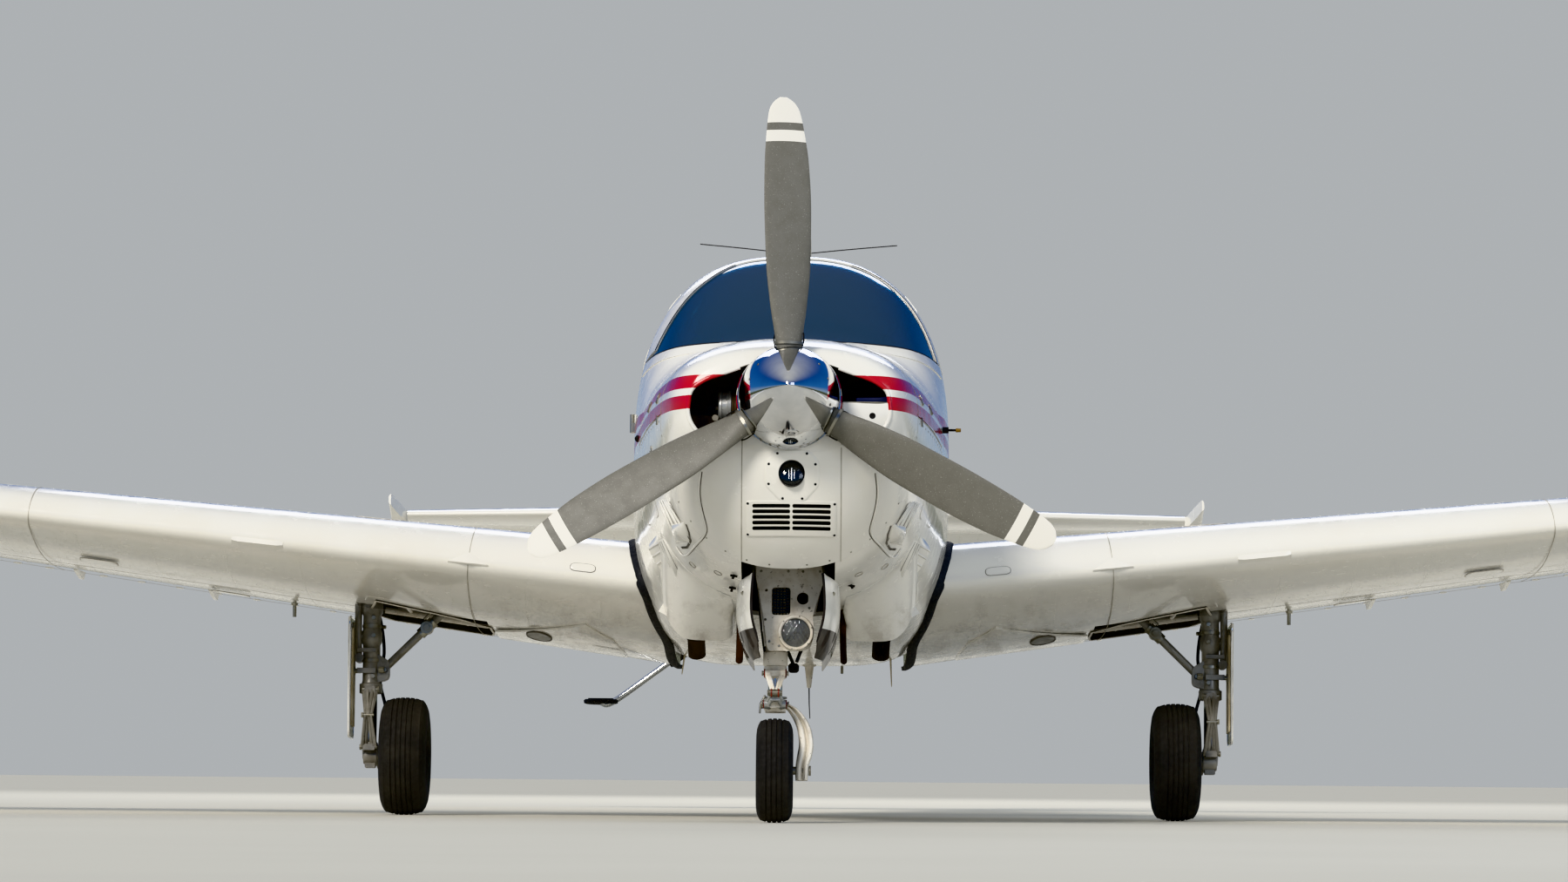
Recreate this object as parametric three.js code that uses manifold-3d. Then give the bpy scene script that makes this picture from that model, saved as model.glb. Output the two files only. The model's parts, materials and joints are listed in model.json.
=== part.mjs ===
// A single-engine low-wing light aircraft with a retractable tricycle gear, parked on its wheels.
// Millimetres, +Z up. The nose points along -Y and the aircraft's left wing along +X.
// Everything is first modelled level, from the propeller's centre, then pitched to its parked attitude.
import * as THREE from "three";
import { mergeVertices } from "three/addons/utils/BufferGeometryUtils.js";
import Module from "manifold-3d";

const wasm = await Module();
wasm.setup();

// Driving dimensions
const HALF_SPAN = 5105;
const WHEEL_TRACK = 2920;
const WHEEL_BASE = 2134;
const PROP_RADIUS = 1016;
const PARKED_PITCH = 3; // degrees, nose up
const HUB_HEIGHT = 1419; // of the propeller's centre above the ground
const MAIN_WHEEL_AFT = 2740; // of the propeller's centre, along the ground
const SEAT_GAP = 0.3; // between two pieces that rest on each other
const RUN_GAP = 6; // between a moving piece and what it passes
const END_GAP = 8; // beside a control surface, which its pivot pins bridge

const deg = THREE.MathUtils.degToRad;
const pitchCos = Math.cos(deg(PARKED_PITCH));
const pitchSin = Math.sin(deg(PARKED_PITCH));
// A point [aft of the propeller along the ground, above the ground] as the level frame's [y, z].
const levelFromGround = (y, z) => [
  y * pitchCos - (z - HUB_HEIGHT) * pitchSin,
  y * pitchSin + (z - HUB_HEIGHT) * pitchCos,
];

const paint = (color, roughness, metalness) =>
  new THREE.MeshStandardMaterial({ color, roughness, metalness });
const MATERIALS = {
  white: paint("#eceae4", 0.25, 0),
  cream: paint("#ddd6c4", 0.3, 0),
  glass: paint("#1b4a55", 0.05, 0),
  chrome: paint("#d8dade", 0.05, 1),
  blade: paint("#8f8d85", 0.45, 0.2),
  tyre: paint("#1d1c1b", 0.85, 0),
  rim: paint("#b9bbb8", 0.35, 0.8),
  gear: paint("#8d8b84", 0.45, 0.6),
  nose_gear: paint("#e6e1d6", 0.35, 0),
  engine: paint("#3b3b3a", 0.6, 0.6),
  exhaust: paint("#5a4636", 0.7, 0.7),
  leather: paint("#8b8378", 0.6, 0),
  panel: paint("#26292b", 0.6, 0),
  carpet: paint("#4a4a48", 0.9, 0),
};

// Solids

const solidOf = (geometry) => {
  const bare = geometry.clone();
  bare.deleteAttribute("normal");
  bare.deleteAttribute("uv");
  const merged = mergeVertices(bare, 1e-3);
  const solid = new wasm.Manifold(
    new wasm.Mesh({
      numProp: 3,
      vertProperties: new Float32Array(merged.attributes.position.array),
      triVerts: new Uint32Array(merged.index.array),
    }),
  );
  return solid;
};

const geometryOf = (solid) => {
  const mesh = solid.getMesh();
  const geometry = new THREE.BufferGeometry();
  geometry.setAttribute("position", new THREE.BufferAttribute(new Float32Array(mesh.vertProperties), 3));
  geometry.setIndex(new THREE.BufferAttribute(new Uint32Array(mesh.triVerts), 1));
  return geometry;
};

const moved = (geometry, matrix) => geometry.clone().applyMatrix4(matrix);
const place = (x, y, z, rx = 0, ry = 0, rz = 0) =>
  new THREE.Matrix4().compose(
    new THREE.Vector3(x, y, z),
    new THREE.Quaternion().setFromEuler(new THREE.Euler(deg(rx), deg(ry), deg(rz))),
    new THREE.Vector3(1, 1, 1),
  );
const join = (...solids) => solids.reduce((all, one) => all.add(one));
const cut = (solid, ...cutters) => cutters.reduce((left, one) => left.subtract(one), solid);
const transformed = (solid, matrix) => solidOf(moved(geometryOf(solid), matrix));

const box = ([x0, x1], [y0, y1], [z0, z1]) =>
  solidOf(
    new THREE.BoxGeometry(x1 - x0, y1 - y0, z1 - z0).translate((x0 + x1) / 2, (y0 + y1) / 2, (z0 + z1) / 2),
  );

// A round bar or cone frustum from point a to point b.
const bar = (a, b, ra, rb = ra, sides = 12) => {
  const start = new THREE.Vector3(...a);
  const along = new THREE.Vector3(...b).sub(start);
  const geometry = new THREE.CylinderGeometry(rb, ra, along.length(), sides);
  const own = new THREE.Vector3(0, 1, 0);
  geometry.applyQuaternion(new THREE.Quaternion().setFromUnitVectors(own, along.clone().normalize()));
  geometry.translate(start.x + along.x / 2, start.y + along.y / 2, start.z + along.z / 2);
  return solidOf(geometry);
};

// A flat bar of width and thickness between two points; its width lies across the given side direction.
const strap = (a, b, width, thickness, side = [0, 1, 0]) => {
  const start = new THREE.Vector3(...a);
  const along = new THREE.Vector3(...b).sub(start);
  const z = along.clone().normalize();
  const y = new THREE.Vector3(...side).projectOnPlane(z).normalize();
  const x = y.clone().cross(z);
  const matrix = new THREE.Matrix4().makeBasis(x, y, z);
  matrix.setPosition(start.addScaledVector(along, 0.5));
  return solidOf(moved(new THREE.BoxGeometry(thickness, width, along.length()), matrix));
};

// A closed skin through rings of equal length, capped at both ends.
const loft = (rings) => {
  const n = rings[0].length;
  const positions = rings.flat().flatMap((p) => [p.x, p.y, p.z]);
  const index = [];
  for (let r = 0; r + 1 < rings.length; r++)
    for (let i = 0; i < n; i++) {
      const j = (i + 1) % n;
      const [a, b, c, d] = [r * n + i, r * n + j, (r + 1) * n + j, (r + 1) * n + i];
      // the quads' diagonals mirror each other across the two halves of a ring
      index.push(...(i < n / 2 ? [a, b, c, a, c, d] : [a, b, d, b, c, d]));
    }
  for (const [start, flip] of [[0, true], [(rings.length - 1) * n, false]]) {
    // like points of the two halves of a ring are joined in strips
    for (let i = 0; i < n / 2 - 1; i++) {
      const [a, b, c, d] = [start + i, start + i + 1, start + n - 2 - i, start + n - 1 - i];
      index.push(...(flip ? [a, c, b, a, d, c] : [a, b, c, a, c, d]));
    }
  }
  const geometry = new THREE.BufferGeometry();
  geometry.setAttribute("position", new THREE.BufferAttribute(new Float32Array(positions), 3));
  geometry.setIndex(index);
  const solid = solidOf(geometry);
  if (solid.volume() > 0) return solid;
  for (let i = 0; i < index.length; i += 3) [index[i + 1], index[i + 2]] = [index[i + 2], index[i + 1]];
  geometry.setIndex(index);
  return solidOf(geometry);
};

// A prism of an outline drawn in side view, [y, z] in metres, from x0 to x1.
const sidePrism = (outline, x0, x1) => {
  const shape = new THREE.Shape(outline.map(([y, z]) => new THREE.Vector2(y * 1000, z * 1000)));
  const geometry = new THREE.ExtrudeGeometry(shape, { depth: x1 - x0, bevelEnabled: false });
  const matrix = new THREE.Matrix4().makeBasis(
    new THREE.Vector3(0, 1, 0),
    new THREE.Vector3(0, 0, 1),
    new THREE.Vector3(1, 0, 0),
  );
  return solidOf(moved(geometry, matrix.setPosition(x0, 0, 0)));
};

// A prism of an outline drawn in front view, [x, z] in metres, from y0 to y1.
const frontPrism = (outline, y0, y1) => {
  const shape = new THREE.Shape(outline.map(([x, z]) => new THREE.Vector2(x * 1000, z * 1000)));
  const geometry = new THREE.ExtrudeGeometry(shape, { depth: y1 - y0, bevelEnabled: false });
  const matrix = new THREE.Matrix4().makeBasis(
    new THREE.Vector3(1, 0, 0),
    new THREE.Vector3(0, 0, 1),
    new THREE.Vector3(0, -1, 0),
  );
  return solidOf(moved(geometry, matrix.setPosition(0, y1, 0)));
};

// An outline whose corners are rounded by the given radius, in metres.
const rounded = (outline, radius) =>
  outline.flatMap((corner, i) => {
    const before = outline[(i + outline.length - 1) % outline.length];
    const after = outline[(i + 1) % outline.length];
    const c = new THREE.Vector2(...corner);
    const a = new THREE.Vector2(...before).sub(c);
    const b = new THREE.Vector2(...after).sub(c);
    const reach = Math.min(radius, a.length() * 0.45, b.length() * 0.45);
    const start = c.clone().addScaledVector(a.normalize(), reach);
    const end = c.clone().addScaledVector(b.normalize(), reach);
    return new THREE.QuadraticBezierCurve(start, c, end).getPoints(3).map((p) => [p.x, p.y]);
  });

// Fuselage: cross sections along the level centre line, in metres
// [aft of propeller, top, bottom, half width, height of the widest point, top exponent, bottom exponent]
const SECTIONS = [
  [0.062, 0.12, -0.185, 0.3, -0.01, 2.5, 2.2],
  [0.072, 0.15, -0.23, 0.34, -0.01, 2.5, 2.2],
  [0.1, 0.173, -0.3, 0.368, -0.01, 2.5, 2.2],
  [0.15, 0.192, -0.385, 0.394, -0.015, 2.5, 2.2],
  [0.25, 0.217, -0.49, 0.42, -0.02, 2.45, 2.25],
  [0.4, 0.243, -0.575, 0.446, -0.03, 2.4, 2.3],
  [0.7, 0.282, -0.61, 0.486, -0.04, 2.35, 2.4],
  [1.0, 0.315, -0.635, 0.515, -0.05, 2.35, 2.5],
  [1.27, 0.346, -0.655, 0.536, -0.05, 2.4, 2.65],
  [1.43, 0.37, -0.662, 0.547, -0.05, 2.45, 2.8],
  [1.6, 0.49, -0.668, 0.56, -0.04, 2.5, 3.0],
  [1.8, 0.628, -0.673, 0.569, -0.02, 2.55, 3.3],
  [2.0, 0.738, -0.677, 0.577, 0.0, 2.6, 3.7],
  [2.2, 0.786, -0.679, 0.581, 0.0, 2.6, 4.1],
  [2.45, 0.8, -0.68, 0.583, 0.0, 2.6, 4.5],
  [2.9, 0.788, -0.676, 0.579, 0.0, 2.6, 4.8],
  [3.3, 0.752, -0.66, 0.565, 0.0, 2.55, 4.8],
  [3.8, 0.676, -0.622, 0.53, 0.01, 2.45, 4.6],
  [4.3, 0.588, -0.562, 0.468, 0.03, 2.35, 4.0],
  [5.0, 0.49, -0.452, 0.365, 0.06, 2.2, 3.2],
  [6.0, 0.395, -0.268, 0.242, 0.1, 2.1, 2.6],
  [7.0, 0.335, -0.075, 0.138, 0.14, 2.0, 2.2],
  [7.5, 0.29, 0.025, 0.082, 0.16, 2.0, 2.0],
  [7.72, 0.235, 0.09, 0.05, 0.165, 2.0, 2.0],
  [7.8, 0.19, 0.14, 0.018, 0.165, 2.0, 2.0],
];
const AROUND = 32;
const FIREWALL = 1.27;
const REAR_BULKHEAD = 4.7;
const BOWL_AFT = 0.33;
const FUSELAGE_END = SECTIONS[SECTIONS.length - 1][0];
const COWL_WALL = 0.014;
const CABIN_WALL = 0.03;
const CONE_WALL = 0.018;

// One column of the table at station y, on a smooth curve that doesn't overshoot.
const column = (y, k) => {
  const last = SECTIONS.length - 1;
  const i = Math.min(Math.max(SECTIONS.findIndex((s) => s[0] > y) - 1, 0), last - 1);
  const at = y >= SECTIONS[last][0] ? last - 1 : i;
  const [a, b] = [SECTIONS[at], SECTIONS[at + 1]];
  const slope = (p, q) => (q[k] - p[k]) / (q[0] - p[0]);
  const mid = slope(a, b);
  const tangent = (p, q) => (p && q && p * q > 0 ? (2 * p * q) / (p + q) : 0);
  const before = at > 0 ? slope(SECTIONS[at - 1], a) : mid;
  const after = at + 2 <= last ? slope(b, SECTIONS[at + 2]) : mid;
  const [ma, mb] = [tangent(before, mid), tangent(mid, after)];
  const h = b[0] - a[0];
  const t = Math.min(Math.max((y - a[0]) / h, 0), 1);
  return (
    (2 * t ** 3 - 3 * t ** 2 + 1) * a[k] +
    (t ** 3 - 2 * t ** 2 + t) * h * ma +
    (3 * t ** 2 - 2 * t ** 3) * b[k] +
    (t ** 3 - t ** 2) * h * mb
  );
};

// A fuselage ring at station y, drawn in by a wall thickness, as points in mm from top round to top.
const ring = (y, wall = 0) => {
  const [top, bottom, half, widest, pt, pb] = [1, 2, 3, 4, 5, 6].map((k) => column(y, k));
  return Array.from({ length: AROUND }, (_, i) => {
    const angle = (2 * Math.PI * (i + 0.5)) / AROUND;
    const [c, s] = [Math.cos(angle), Math.sin(angle)];
    const power = c >= 0 ? pt : pb;
    const reach = c >= 0 ? top - wall - widest : widest - (bottom + wall);
    const x = Math.sign(s) * Math.abs(s) ** (2 / power) * (half - wall);
    const z = widest + Math.sign(c) * Math.abs(c) ** (2 / power) * reach;
    return new THREE.Vector3(x * 1000, y * 1000, z * 1000);
  });
};
const hull = (stations, wall = 0) => loft(stations.map((y) => ring(y, wall)));
const sideName = (side) => (side < 0 ? "right" : "left");
const largest = (solid) => solid.decompose().sort((p, q) => q.volume() - p.volume())[0];

const NOSE_STATIONS = [0.062, 0.066, 0.074, 0.09, 0.12, 0.17, 0.24, 0.33];
const COWL_STATIONS = [0.33, 0.45, 0.62, 0.85, 1.05, 1.27];
const CAVITY_STATIONS = [1.29, 1.43, 1.6, 1.8, 2.0, 2.2, 2.45, 3.1, 3.8, 4.68];
const CABIN_STATIONS = [
  1.27, 1.43, 1.5, 1.6, 1.7, 1.8, 1.9, 2.0, 2.1, 2.25, 2.45, 2.75, 3.1, 3.45, 3.8, 4.2, 4.7,
];
const CONE_STATIONS = [4.7, 5.3, 5.9, 6.5, 7.1, 7.5, 7.65, 7.74, 7.8];
const ALL_STATIONS = [...new Set([...NOSE_STATIONS, ...COWL_STATIONS, ...CABIN_STATIONS, ...CONE_STATIONS])];
// what other pieces are cut to where they meet the fuselage
const wholeHull = hull(ALL_STATIONS, -SEAT_GAP / 1000);

// What is added to the model: each mesh goes into the group of the body that carries it.
const aircraft = new THREE.Group();
const level = new THREE.Group();
aircraft.add(level);
const add = (name, solid, material, parent = level) => {
  const mesh = new THREE.Mesh(geometryOf(solid), MATERIALS[material]);
  mesh.name = name;
  parent.add(mesh);
  return mesh;
};

// Nose and cowling

const RING_RADIUS = 178; // of the cowl's collar behind the spinner
const SHAFT_RADIUS = 45;
const BEYOND = 700; // a distance past every side of the fuselage
// the left and right cooling inlets, seen from the front
const INLET = rounded(
  [
    [-0.06, 0.15], [-0.108, 0.125], [-0.2, 0.09], [-0.28, 0.064],
    [-0.33, 0.03], [-0.34, -0.06], [-0.3, -0.125], [-0.06, -0.125],
  ],
  0.04,
);
const inletCutter = (side) => {
  const prism = frontPrism(INLET.map(([x, z]) => [x * -side, z]), -50, 300);
  return prism.subtract(bar([0, -80, 0], [0, 320, 0], RING_RADIUS, RING_RADIUS, 32));
};

const COWL_HINGE = { x: 52, radius: 7, pin: 5, lift: 2 };
// The hinge line of a cowl door: a straight rolled edge that lies in the skin's thickness.
const cowlHinge = (side) => {
  const at = (y) => [side * COWL_HINGE.x, y, column(y / 1000, 1) * 1000 - COWL_WALL * 500 + COWL_HINGE.lift];
  return [at(BOWL_AFT * 1000), at(FIREWALL * 1000)];
};

const addCowling = () => {
  const SPINE_HALF = 35; // of the fixed strip between the two cowl doors
  const DOOR_SILL = -30; // lower edge of the cowl doors
  const BAY = { half: 158, aft: 1120, roof: -380 }; // the nose gear's bay
  const [front, back] = [BOWL_AFT * 1000, FIREWALL * 1000];
  const bowl = cut(
    hull(NOSE_STATIONS),
    hull([0.09, 0.12, 0.17, 0.24, 0.33, 0.4], COWL_WALL),
    inletCutter(-1),
    inletCutter(1),
    bar([0, -80, 0], [0, 320, 0], SHAFT_RADIUS + RUN_GAP, SHAFT_RADIUS + RUN_GAP, 20),
  );
  const cowlShell = cut(hull(COWL_STATIONS), hull([0.3, ...COWL_STATIONS, 1.3], COWL_WALL));
  const along = [front + SEAT_GAP, back - SEAT_GAP];
  const spine = cowlShell.intersect(box([-SPINE_HALF, SPINE_HALF], along, [0, BEYOND]));
  const lower = cowlShell
    .intersect(box([-BEYOND, BEYOND], along, [-BEYOND, DOOR_SILL - SEAT_GAP]))
    .subtract(box([-BAY.half, BAY.half], [0, BAY.aft], [-BEYOND, BAY.roof]));
  add("nose_bowl", bowl, "white");
  add("cowl_spine", spine, "white");
  add("lower_cowl", lower, "white");
  const doors = {};
  for (const side of [-1, 1]) {
    const across = side < 0 ? [-BEYOND, -COWL_HINGE.x] : [COWL_HINGE.x, BEYOND];
    const zone = box(across, [front + END_GAP, back - END_GAP], [DOOR_SILL + RUN_GAP, BEYOND]);
    const [fore, aft] = cowlHinge(side).map((p) => new THREE.Vector3(...p));
    const axis = aft.clone().sub(fore).normalize();
    const roll = (inset, radius) =>
      bar(fore.clone().addScaledVector(axis, inset), aft.clone().addScaledVector(axis, -inset), radius);
    doors[side] = join(
      cowlShell.intersect(zone),
      roll(END_GAP, COWL_HINGE.radius),
      roll(3 * SEAT_GAP, COWL_HINGE.pin),
    );
  }
  return doors;
};

const ENGINE = { x: [-320, 320], y: [245, 1180], z: [-265, 95] };
const ACCESSORIES = { x: [-150, 150], y: [1170, FIREWALL * 1000 - SEAT_GAP], z: [-180, 60] };
const addEngine = () => {
  const blocks = [ENGINE, ACCESSORIES].map(({ x, y, z }) => box(x, y, z));
  add("engine_block", join(...blocks), "engine");
};

// Cabin

const WINDSHIELD = [[1.2, 0.384], [1.9, 0.345], [2.1, 0.84], [1.2, 0.84]];
const ROOF = [[1.85, 0.31], [4.8, 0.31], [4.8, 1.0], [1.85, 1.0]];
const CABIN_DOOR = rounded(
  [
    [1.985, -0.185], [1.985, 0.335], [2.115, 0.66], [2.6, 0.672],
    [2.65, 0.3], [2.65, -0.1], [2.6, -0.185],
  ],
  0.05,
);
// The door's upper rear corner moves aft as it swings out, so its opening is wider there.
const CABIN_OPENING = rounded(
  [
    [1.979, -0.191], [1.979, 0.336], [2.111, 0.666], [2.632, 0.678],
    [2.666, 0.3], [2.658, -0.1], [2.603, -0.191],
  ],
  0.05,
);
const BAGGAGE_DOOR = rounded([[4.05, -0.27], [4.05, 0.28], [4.52, 0.28], [4.52, -0.27]], 0.05);
const WINDOWS = {
  front: rounded([[2.05, 0.355], [2.155, 0.618], [2.54, 0.63], [2.575, 0.355]], 0.05),
  middle: rounded([[2.735, 0.355], [2.725, 0.632], [3.17, 0.622], [3.225, 0.358]], 0.05),
  rear: rounded([[3.3, 0.362], [3.27, 0.612], [3.6, 0.56], [3.93, 0.44], [3.93, 0.385], [3.88, 0.366]], 0.04),
};
const GLASS = 0.008;
const GLASS_INSET = 0.002;

// The outline moved out by a distance, for a gap round a panel.
const grown = (outline, by) => {
  const n = outline.length;
  const cross = ([a, b], [c, d]) => a * d - c * b;
  const area = outline.reduce((sum, point, i) => sum + cross(point, outline[(i + 1) % n]), 0);
  const out = area > 0 ? 1 : -1;
  return outline.map(([y, z], i) => {
    const [a, b] = [outline[(i + n - 1) % n], outline[(i + 1) % n]];
    const along = new THREE.Vector2(b[0] - a[0], b[1] - a[1]).normalize();
    return [y + along.y * by * out, z - along.x * by * out];
  });
};

// Each side door turns on an upright axis just outside its front edge, on short knuckles at two heights.
const DOOR_HINGES = {
  cabin: { x: -585, y: 1982, heights: [-130, 130], inner: -560 },
  baggage: { x: -508, y: 4047, heights: [-130, 150], inner: -475 },
};
const KNUCKLE = { radius: 8, height: 34, arm: 34 };
// The door's knuckles sit on top of the body's: both sets, and the room each needs in the other panel.
const knuckles = ({ x, y, heights, inner }) => {
  const made = (lift, armSide, more) =>
    heights.map((z) => {
      const [low, high] = [z + lift + SEAT_GAP / 2 - more, z + lift + KNUCKLE.height - SEAT_GAP / 2 + more];
      const round = bar([x, y, low], [x, y, high], KNUCKLE.radius + more);
      const arm = armSide > 0 ? [y - more, y + KNUCKLE.arm] : [y - KNUCKLE.arm, y + more];
      return more ? round : round.add(box([x, inner], arm, [low, high]));
    });
  return {
    door: made(0, 1, 0),
    body: made(-KNUCKLE.height, -1, 0),
    doorRoom: made(0, 1, RUN_GAP),
    bodyRoom: made(-KNUCKLE.height, -1, RUN_GAP),
  };
};

const FLOOR = { y: [1300, 4650], z: [-470, -440] };
const addCabin = () => {
  const gap = SEAT_GAP / 1000;
  const outer = hull(CABIN_STATIONS);
  const cavity = hull(CAVITY_STATIONS, CABIN_WALL);
  const insideWall = hull(CAVITY_STATIONS, CABIN_WALL + gap);
  const floor = box([-BEYOND, BEYOND], FLOOR.y, FLOOR.z).intersect(insideWall);
  const shell = outer.subtract(cavity);
  const windshieldZone = sidePrism(WINDSHIELD, -BEYOND, BEYOND);
  const roofZone = sidePrism(ROOF, -BEYOND, BEYOND);
  const doorHole = sidePrism(CABIN_OPENING, -BEYOND, 0);
  const bagHole = sidePrism(grown(BAGGAGE_DOOR, RUN_GAP / 1000), -BEYOND, 0);
  const sideHoles = Object.entries(WINDOWS).flatMap(([name, outline]) => [
    sidePrism(outline, 0, BEYOND),
    ...(name === "front" ? [] : [sidePrism(outline, -BEYOND, 0)]),
  ]);
  const roof = cut(
    shell.intersect(sidePrism(grown(ROOF, -gap), -BEYOND, BEYOND)),
    sidePrism(grown(WINDSHIELD, gap), -BEYOND, BEYOND),
    doorHole,
    ...sideHoles,
  );
  const hinges = { cabin: knuckles(DOOR_HINGES.cabin), baggage: knuckles(DOOR_HINGES.baggage) };
  const tubShell = cut(shell, windshieldZone, roofZone, doorHole, bagHole);
  const tub = join(
    cut(tubShell, ...hinges.cabin.doorRoom, ...hinges.baggage.doorRoom),
    ...hinges.cabin.body,
    ...hinges.baggage.body,
  );
  const hung = (panel, hinge) => join(cut(panel, ...hinge.bodyRoom), ...hinge.door);
  const glassShell = cut(hull(CABIN_STATIONS, GLASS_INSET), hull(CABIN_STATIONS, GLASS_INSET + GLASS));
  const pane = (outline, side) =>
    glassShell.intersect(sidePrism(grown(outline, -gap), ...(side < 0 ? [-BEYOND, 0] : [0, BEYOND])));
  add("fuselage_tub", tub, "white");
  add("cabin_floor", floor, "carpet");
  add("cabin_roof", roof, "white");
  const screen = sidePrism(grown(WINDSHIELD, -gap), -BEYOND, BEYOND);
  add("windshield", glassShell.intersect(screen), "glass");
  for (const [name, outline] of Object.entries(WINDOWS))
    for (const side of name === "front" ? [1] : [-1, 1])
      add(`window_${sideName(side)}_${name}`, pane(outline, side), "glass");
  return {
    door: hung(
      shell.intersect(sidePrism(CABIN_DOOR, -BEYOND, 0)).subtract(sidePrism(WINDOWS.front, -BEYOND, 0)),
      hinges.cabin,
    ),
    doorGlass: pane(WINDOWS.front, -1),
    baggage: hung(shell.intersect(sidePrism(BAGGAGE_DOOR, -BEYOND, 0)), hinges.baggage),
  };
};

const PANEL = { y: [1760, 1800], z: [-60, 330] };
const PANEL_SHELF = { y: [1520, 1830], z: [300, 330] };
const SEAT = { cushion: [-250, -130], depth: 470, back: 100, inset: 60 };
const SEATS = [
  // name, from x to x, front edge, top of the back
  ["front_seat_left", 45, 480, 2180, 380],
  ["front_seat_right", -480, -45, 2180, 380],
  ["rear_seat", -425, 425, 3060, 300],
];
const addInterior = () => {
  const inside = hull(CAVITY_STATIONS, CABIN_WALL + SEAT_GAP / 1000);
  const boards = [PANEL, PANEL_SHELF].map(({ y, z }) => box([-BEYOND, BEYOND], y, z).intersect(inside));
  add("instrument_panel", join(...boards), "panel");
  for (const [name, x0, x1, y, backTop] of SEATS) {
    const [low, high] = SEAT.cushion;
    const seat = join(
      box([x0, x1], [y, y + SEAT.depth], [low, high]),
      box([x0, x1], [y + SEAT.depth - 30, y + SEAT.depth - 30 + SEAT.back], [low, backTop]),
      box([x0 + SEAT.inset, x1 - SEAT.inset], [y + SEAT.inset, y + 420], [FLOOR.z[1] + SEAT_GAP, low + 10]),
    );
    add(name, seat, "leather");
  }
};

// Tail cone

// the round boss through the cone's end, on which both elevators turn
const CONE_BOSS = { y: 7200, z: 262, reach: 128, radius: 14 };
const addTailCone = () => {
  const { y, z, reach, radius } = CONE_BOSS;
  const cavity = hull([4.6, 4.7, 5.3, 5.9, 6.5, 7.0], CONE_WALL);
  const cabinEnd = box([-BEYOND, BEYOND], [4500, REAR_BULKHEAD * 1000 + SEAT_GAP], [-900, 900]);
  const cone = cut(hull(CONE_STATIONS), cavity, cabinEnd);
  add("tail_cone", cone.add(bar([-reach, y, z], [reach, y, z], radius)), "white");
};

// Wings

const WING = {
  rootChord: 2134,
  tipChord: 1067,
  rootLead: 1928,
  tipLead: 2195,
  rootThick: 0.165,
  tipThick: 0.12,
};
const WING_FRAME = { x: 550, z: -440, dihedral: 6, rootIncidence: 4.8, tipIncidence: 1 };
const FOIL_POINTS = 11;

// Half thickness and camber of a five-digit section with its camber far forward, at a share of the chord.
const halfThickness = (t, s) =>
  5 * t * (0.2969 * Math.sqrt(s) - 0.126 * s - 0.3516 * s ** 2 + 0.2843 * s ** 3 - 0.1036 * s ** 4);
const CAMBER_END = 0.2025;
const CAMBER_GAIN = 15.957 / 6;
const camberAt = (s) =>
  s < CAMBER_END
    ? CAMBER_GAIN * (s ** 3 - 3 * CAMBER_END * s ** 2 + CAMBER_END ** 2 * (3 - CAMBER_END) * s)
    : CAMBER_GAIN * CAMBER_END ** 3 * (1 - s);
const TRAILING_HALF = 1.5; // half thickness of a trailing edge

// An airfoil ring: from the trailing edge over the top to the nose and back underneath.
const foil = (chord, thick, cambered, at, points = FOIL_POINTS) => {
  const half = [];
  for (let i = 0; i < points; i++) half.push((1 + Math.cos((Math.PI * i) / (points - 0.5))) / 2);
  const middle = (s) => (cambered ? camberAt(s) : 0) * chord;
  const deep = (s) => halfThickness(thick, s) * chord + TRAILING_HALF * s;
  const upper = half.map((s) => [s, middle(s) + deep(s)]);
  const lower = half.map((s) => [s, middle(s) - deep(s)]);
  return [...upper, ...lower.reverse()].map(([s, h]) => at(s * chord, h));
};

const wingAt = (x) => {
  const share = x / HALF_SPAN;
  const mix = (a, b) => a + (b - a) * share;
  return {
    chord: mix(WING.rootChord, WING.tipChord),
    lead: mix(WING.rootLead, WING.tipLead),
    thick: mix(WING.rootThick, WING.tipThick),
    incidence: mix(WING_FRAME.rootIncidence, WING_FRAME.tipIncidence),
  };
};

// A wing ring in the wing's own frame: x from the frame's root outwards, y aft, z up from the chord plane.
const wingRing = (x, shrink = 1) => {
  const { chord, lead, thick, incidence } = wingAt(x + WING_FRAME.x);
  const [c, s] = [Math.cos(deg(incidence)), Math.sin(deg(incidence))];
  const trim = (chord * (1 - shrink)) / 2;
  return foil(chord * shrink, thick * (shrink < 1 ? shrink ** 0.6 : 1), true, (along, h) =>
    new THREE.Vector3(x, lead + (along + trim * 0.7) * c + h * s, h * c - (along + trim * 0.7) * s));
};

// Cuts a control surface out of a body along a hinge line from a to b, with nose radii ra and rb.
// Returns what is left of the body, and the surface with a pivot pin at each end.
const splitSurface = (body, a, b, ra, rb, gap, pins) => {
  const A = new THREE.Vector3(...a);
  const along = new THREE.Vector3(...b).sub(A);
  const length = along.length();
  const dir = along.clone().normalize();
  const REACH = 1600; // past the trailing edge
  const PIN = 6;
  const back = new THREE.Vector3(0, 1, 0).projectOnPlane(dir).normalize();
  const thick = dir.clone().cross(back);
  const frame = new THREE.Matrix4().makeBasis(dir, back, thick).setPosition(A);
  const slab = (from, to) =>
    transformed(box([from, to], [0, REACH], [-450, 450]), frame);
  const at = (d) => A.clone().addScaledVector(dir, d);
  const nose = (from, to, more) => {
    const r = (d) => ra + ((rb - ra) * d) / length + more;
    return bar(at(from), at(to), r(from), r(to), 18);
  };
  const hole = slab(0, length).add(nose(0, length, gap));
  const [start, end] = [END_GAP, length - END_GAP];
  let moving = body.intersect(slab(start, end).add(nose(start, end, 0)));
  if (pins[0]) moving = moving.add(bar(at(SEAT_GAP), at(start + 2), PIN));
  if (pins[1]) moving = moving.add(bar(at(end - 2), at(length - SEAT_GAP), PIN));
  return [body.subtract(hole), moving, { point: A, dir }];
};

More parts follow.
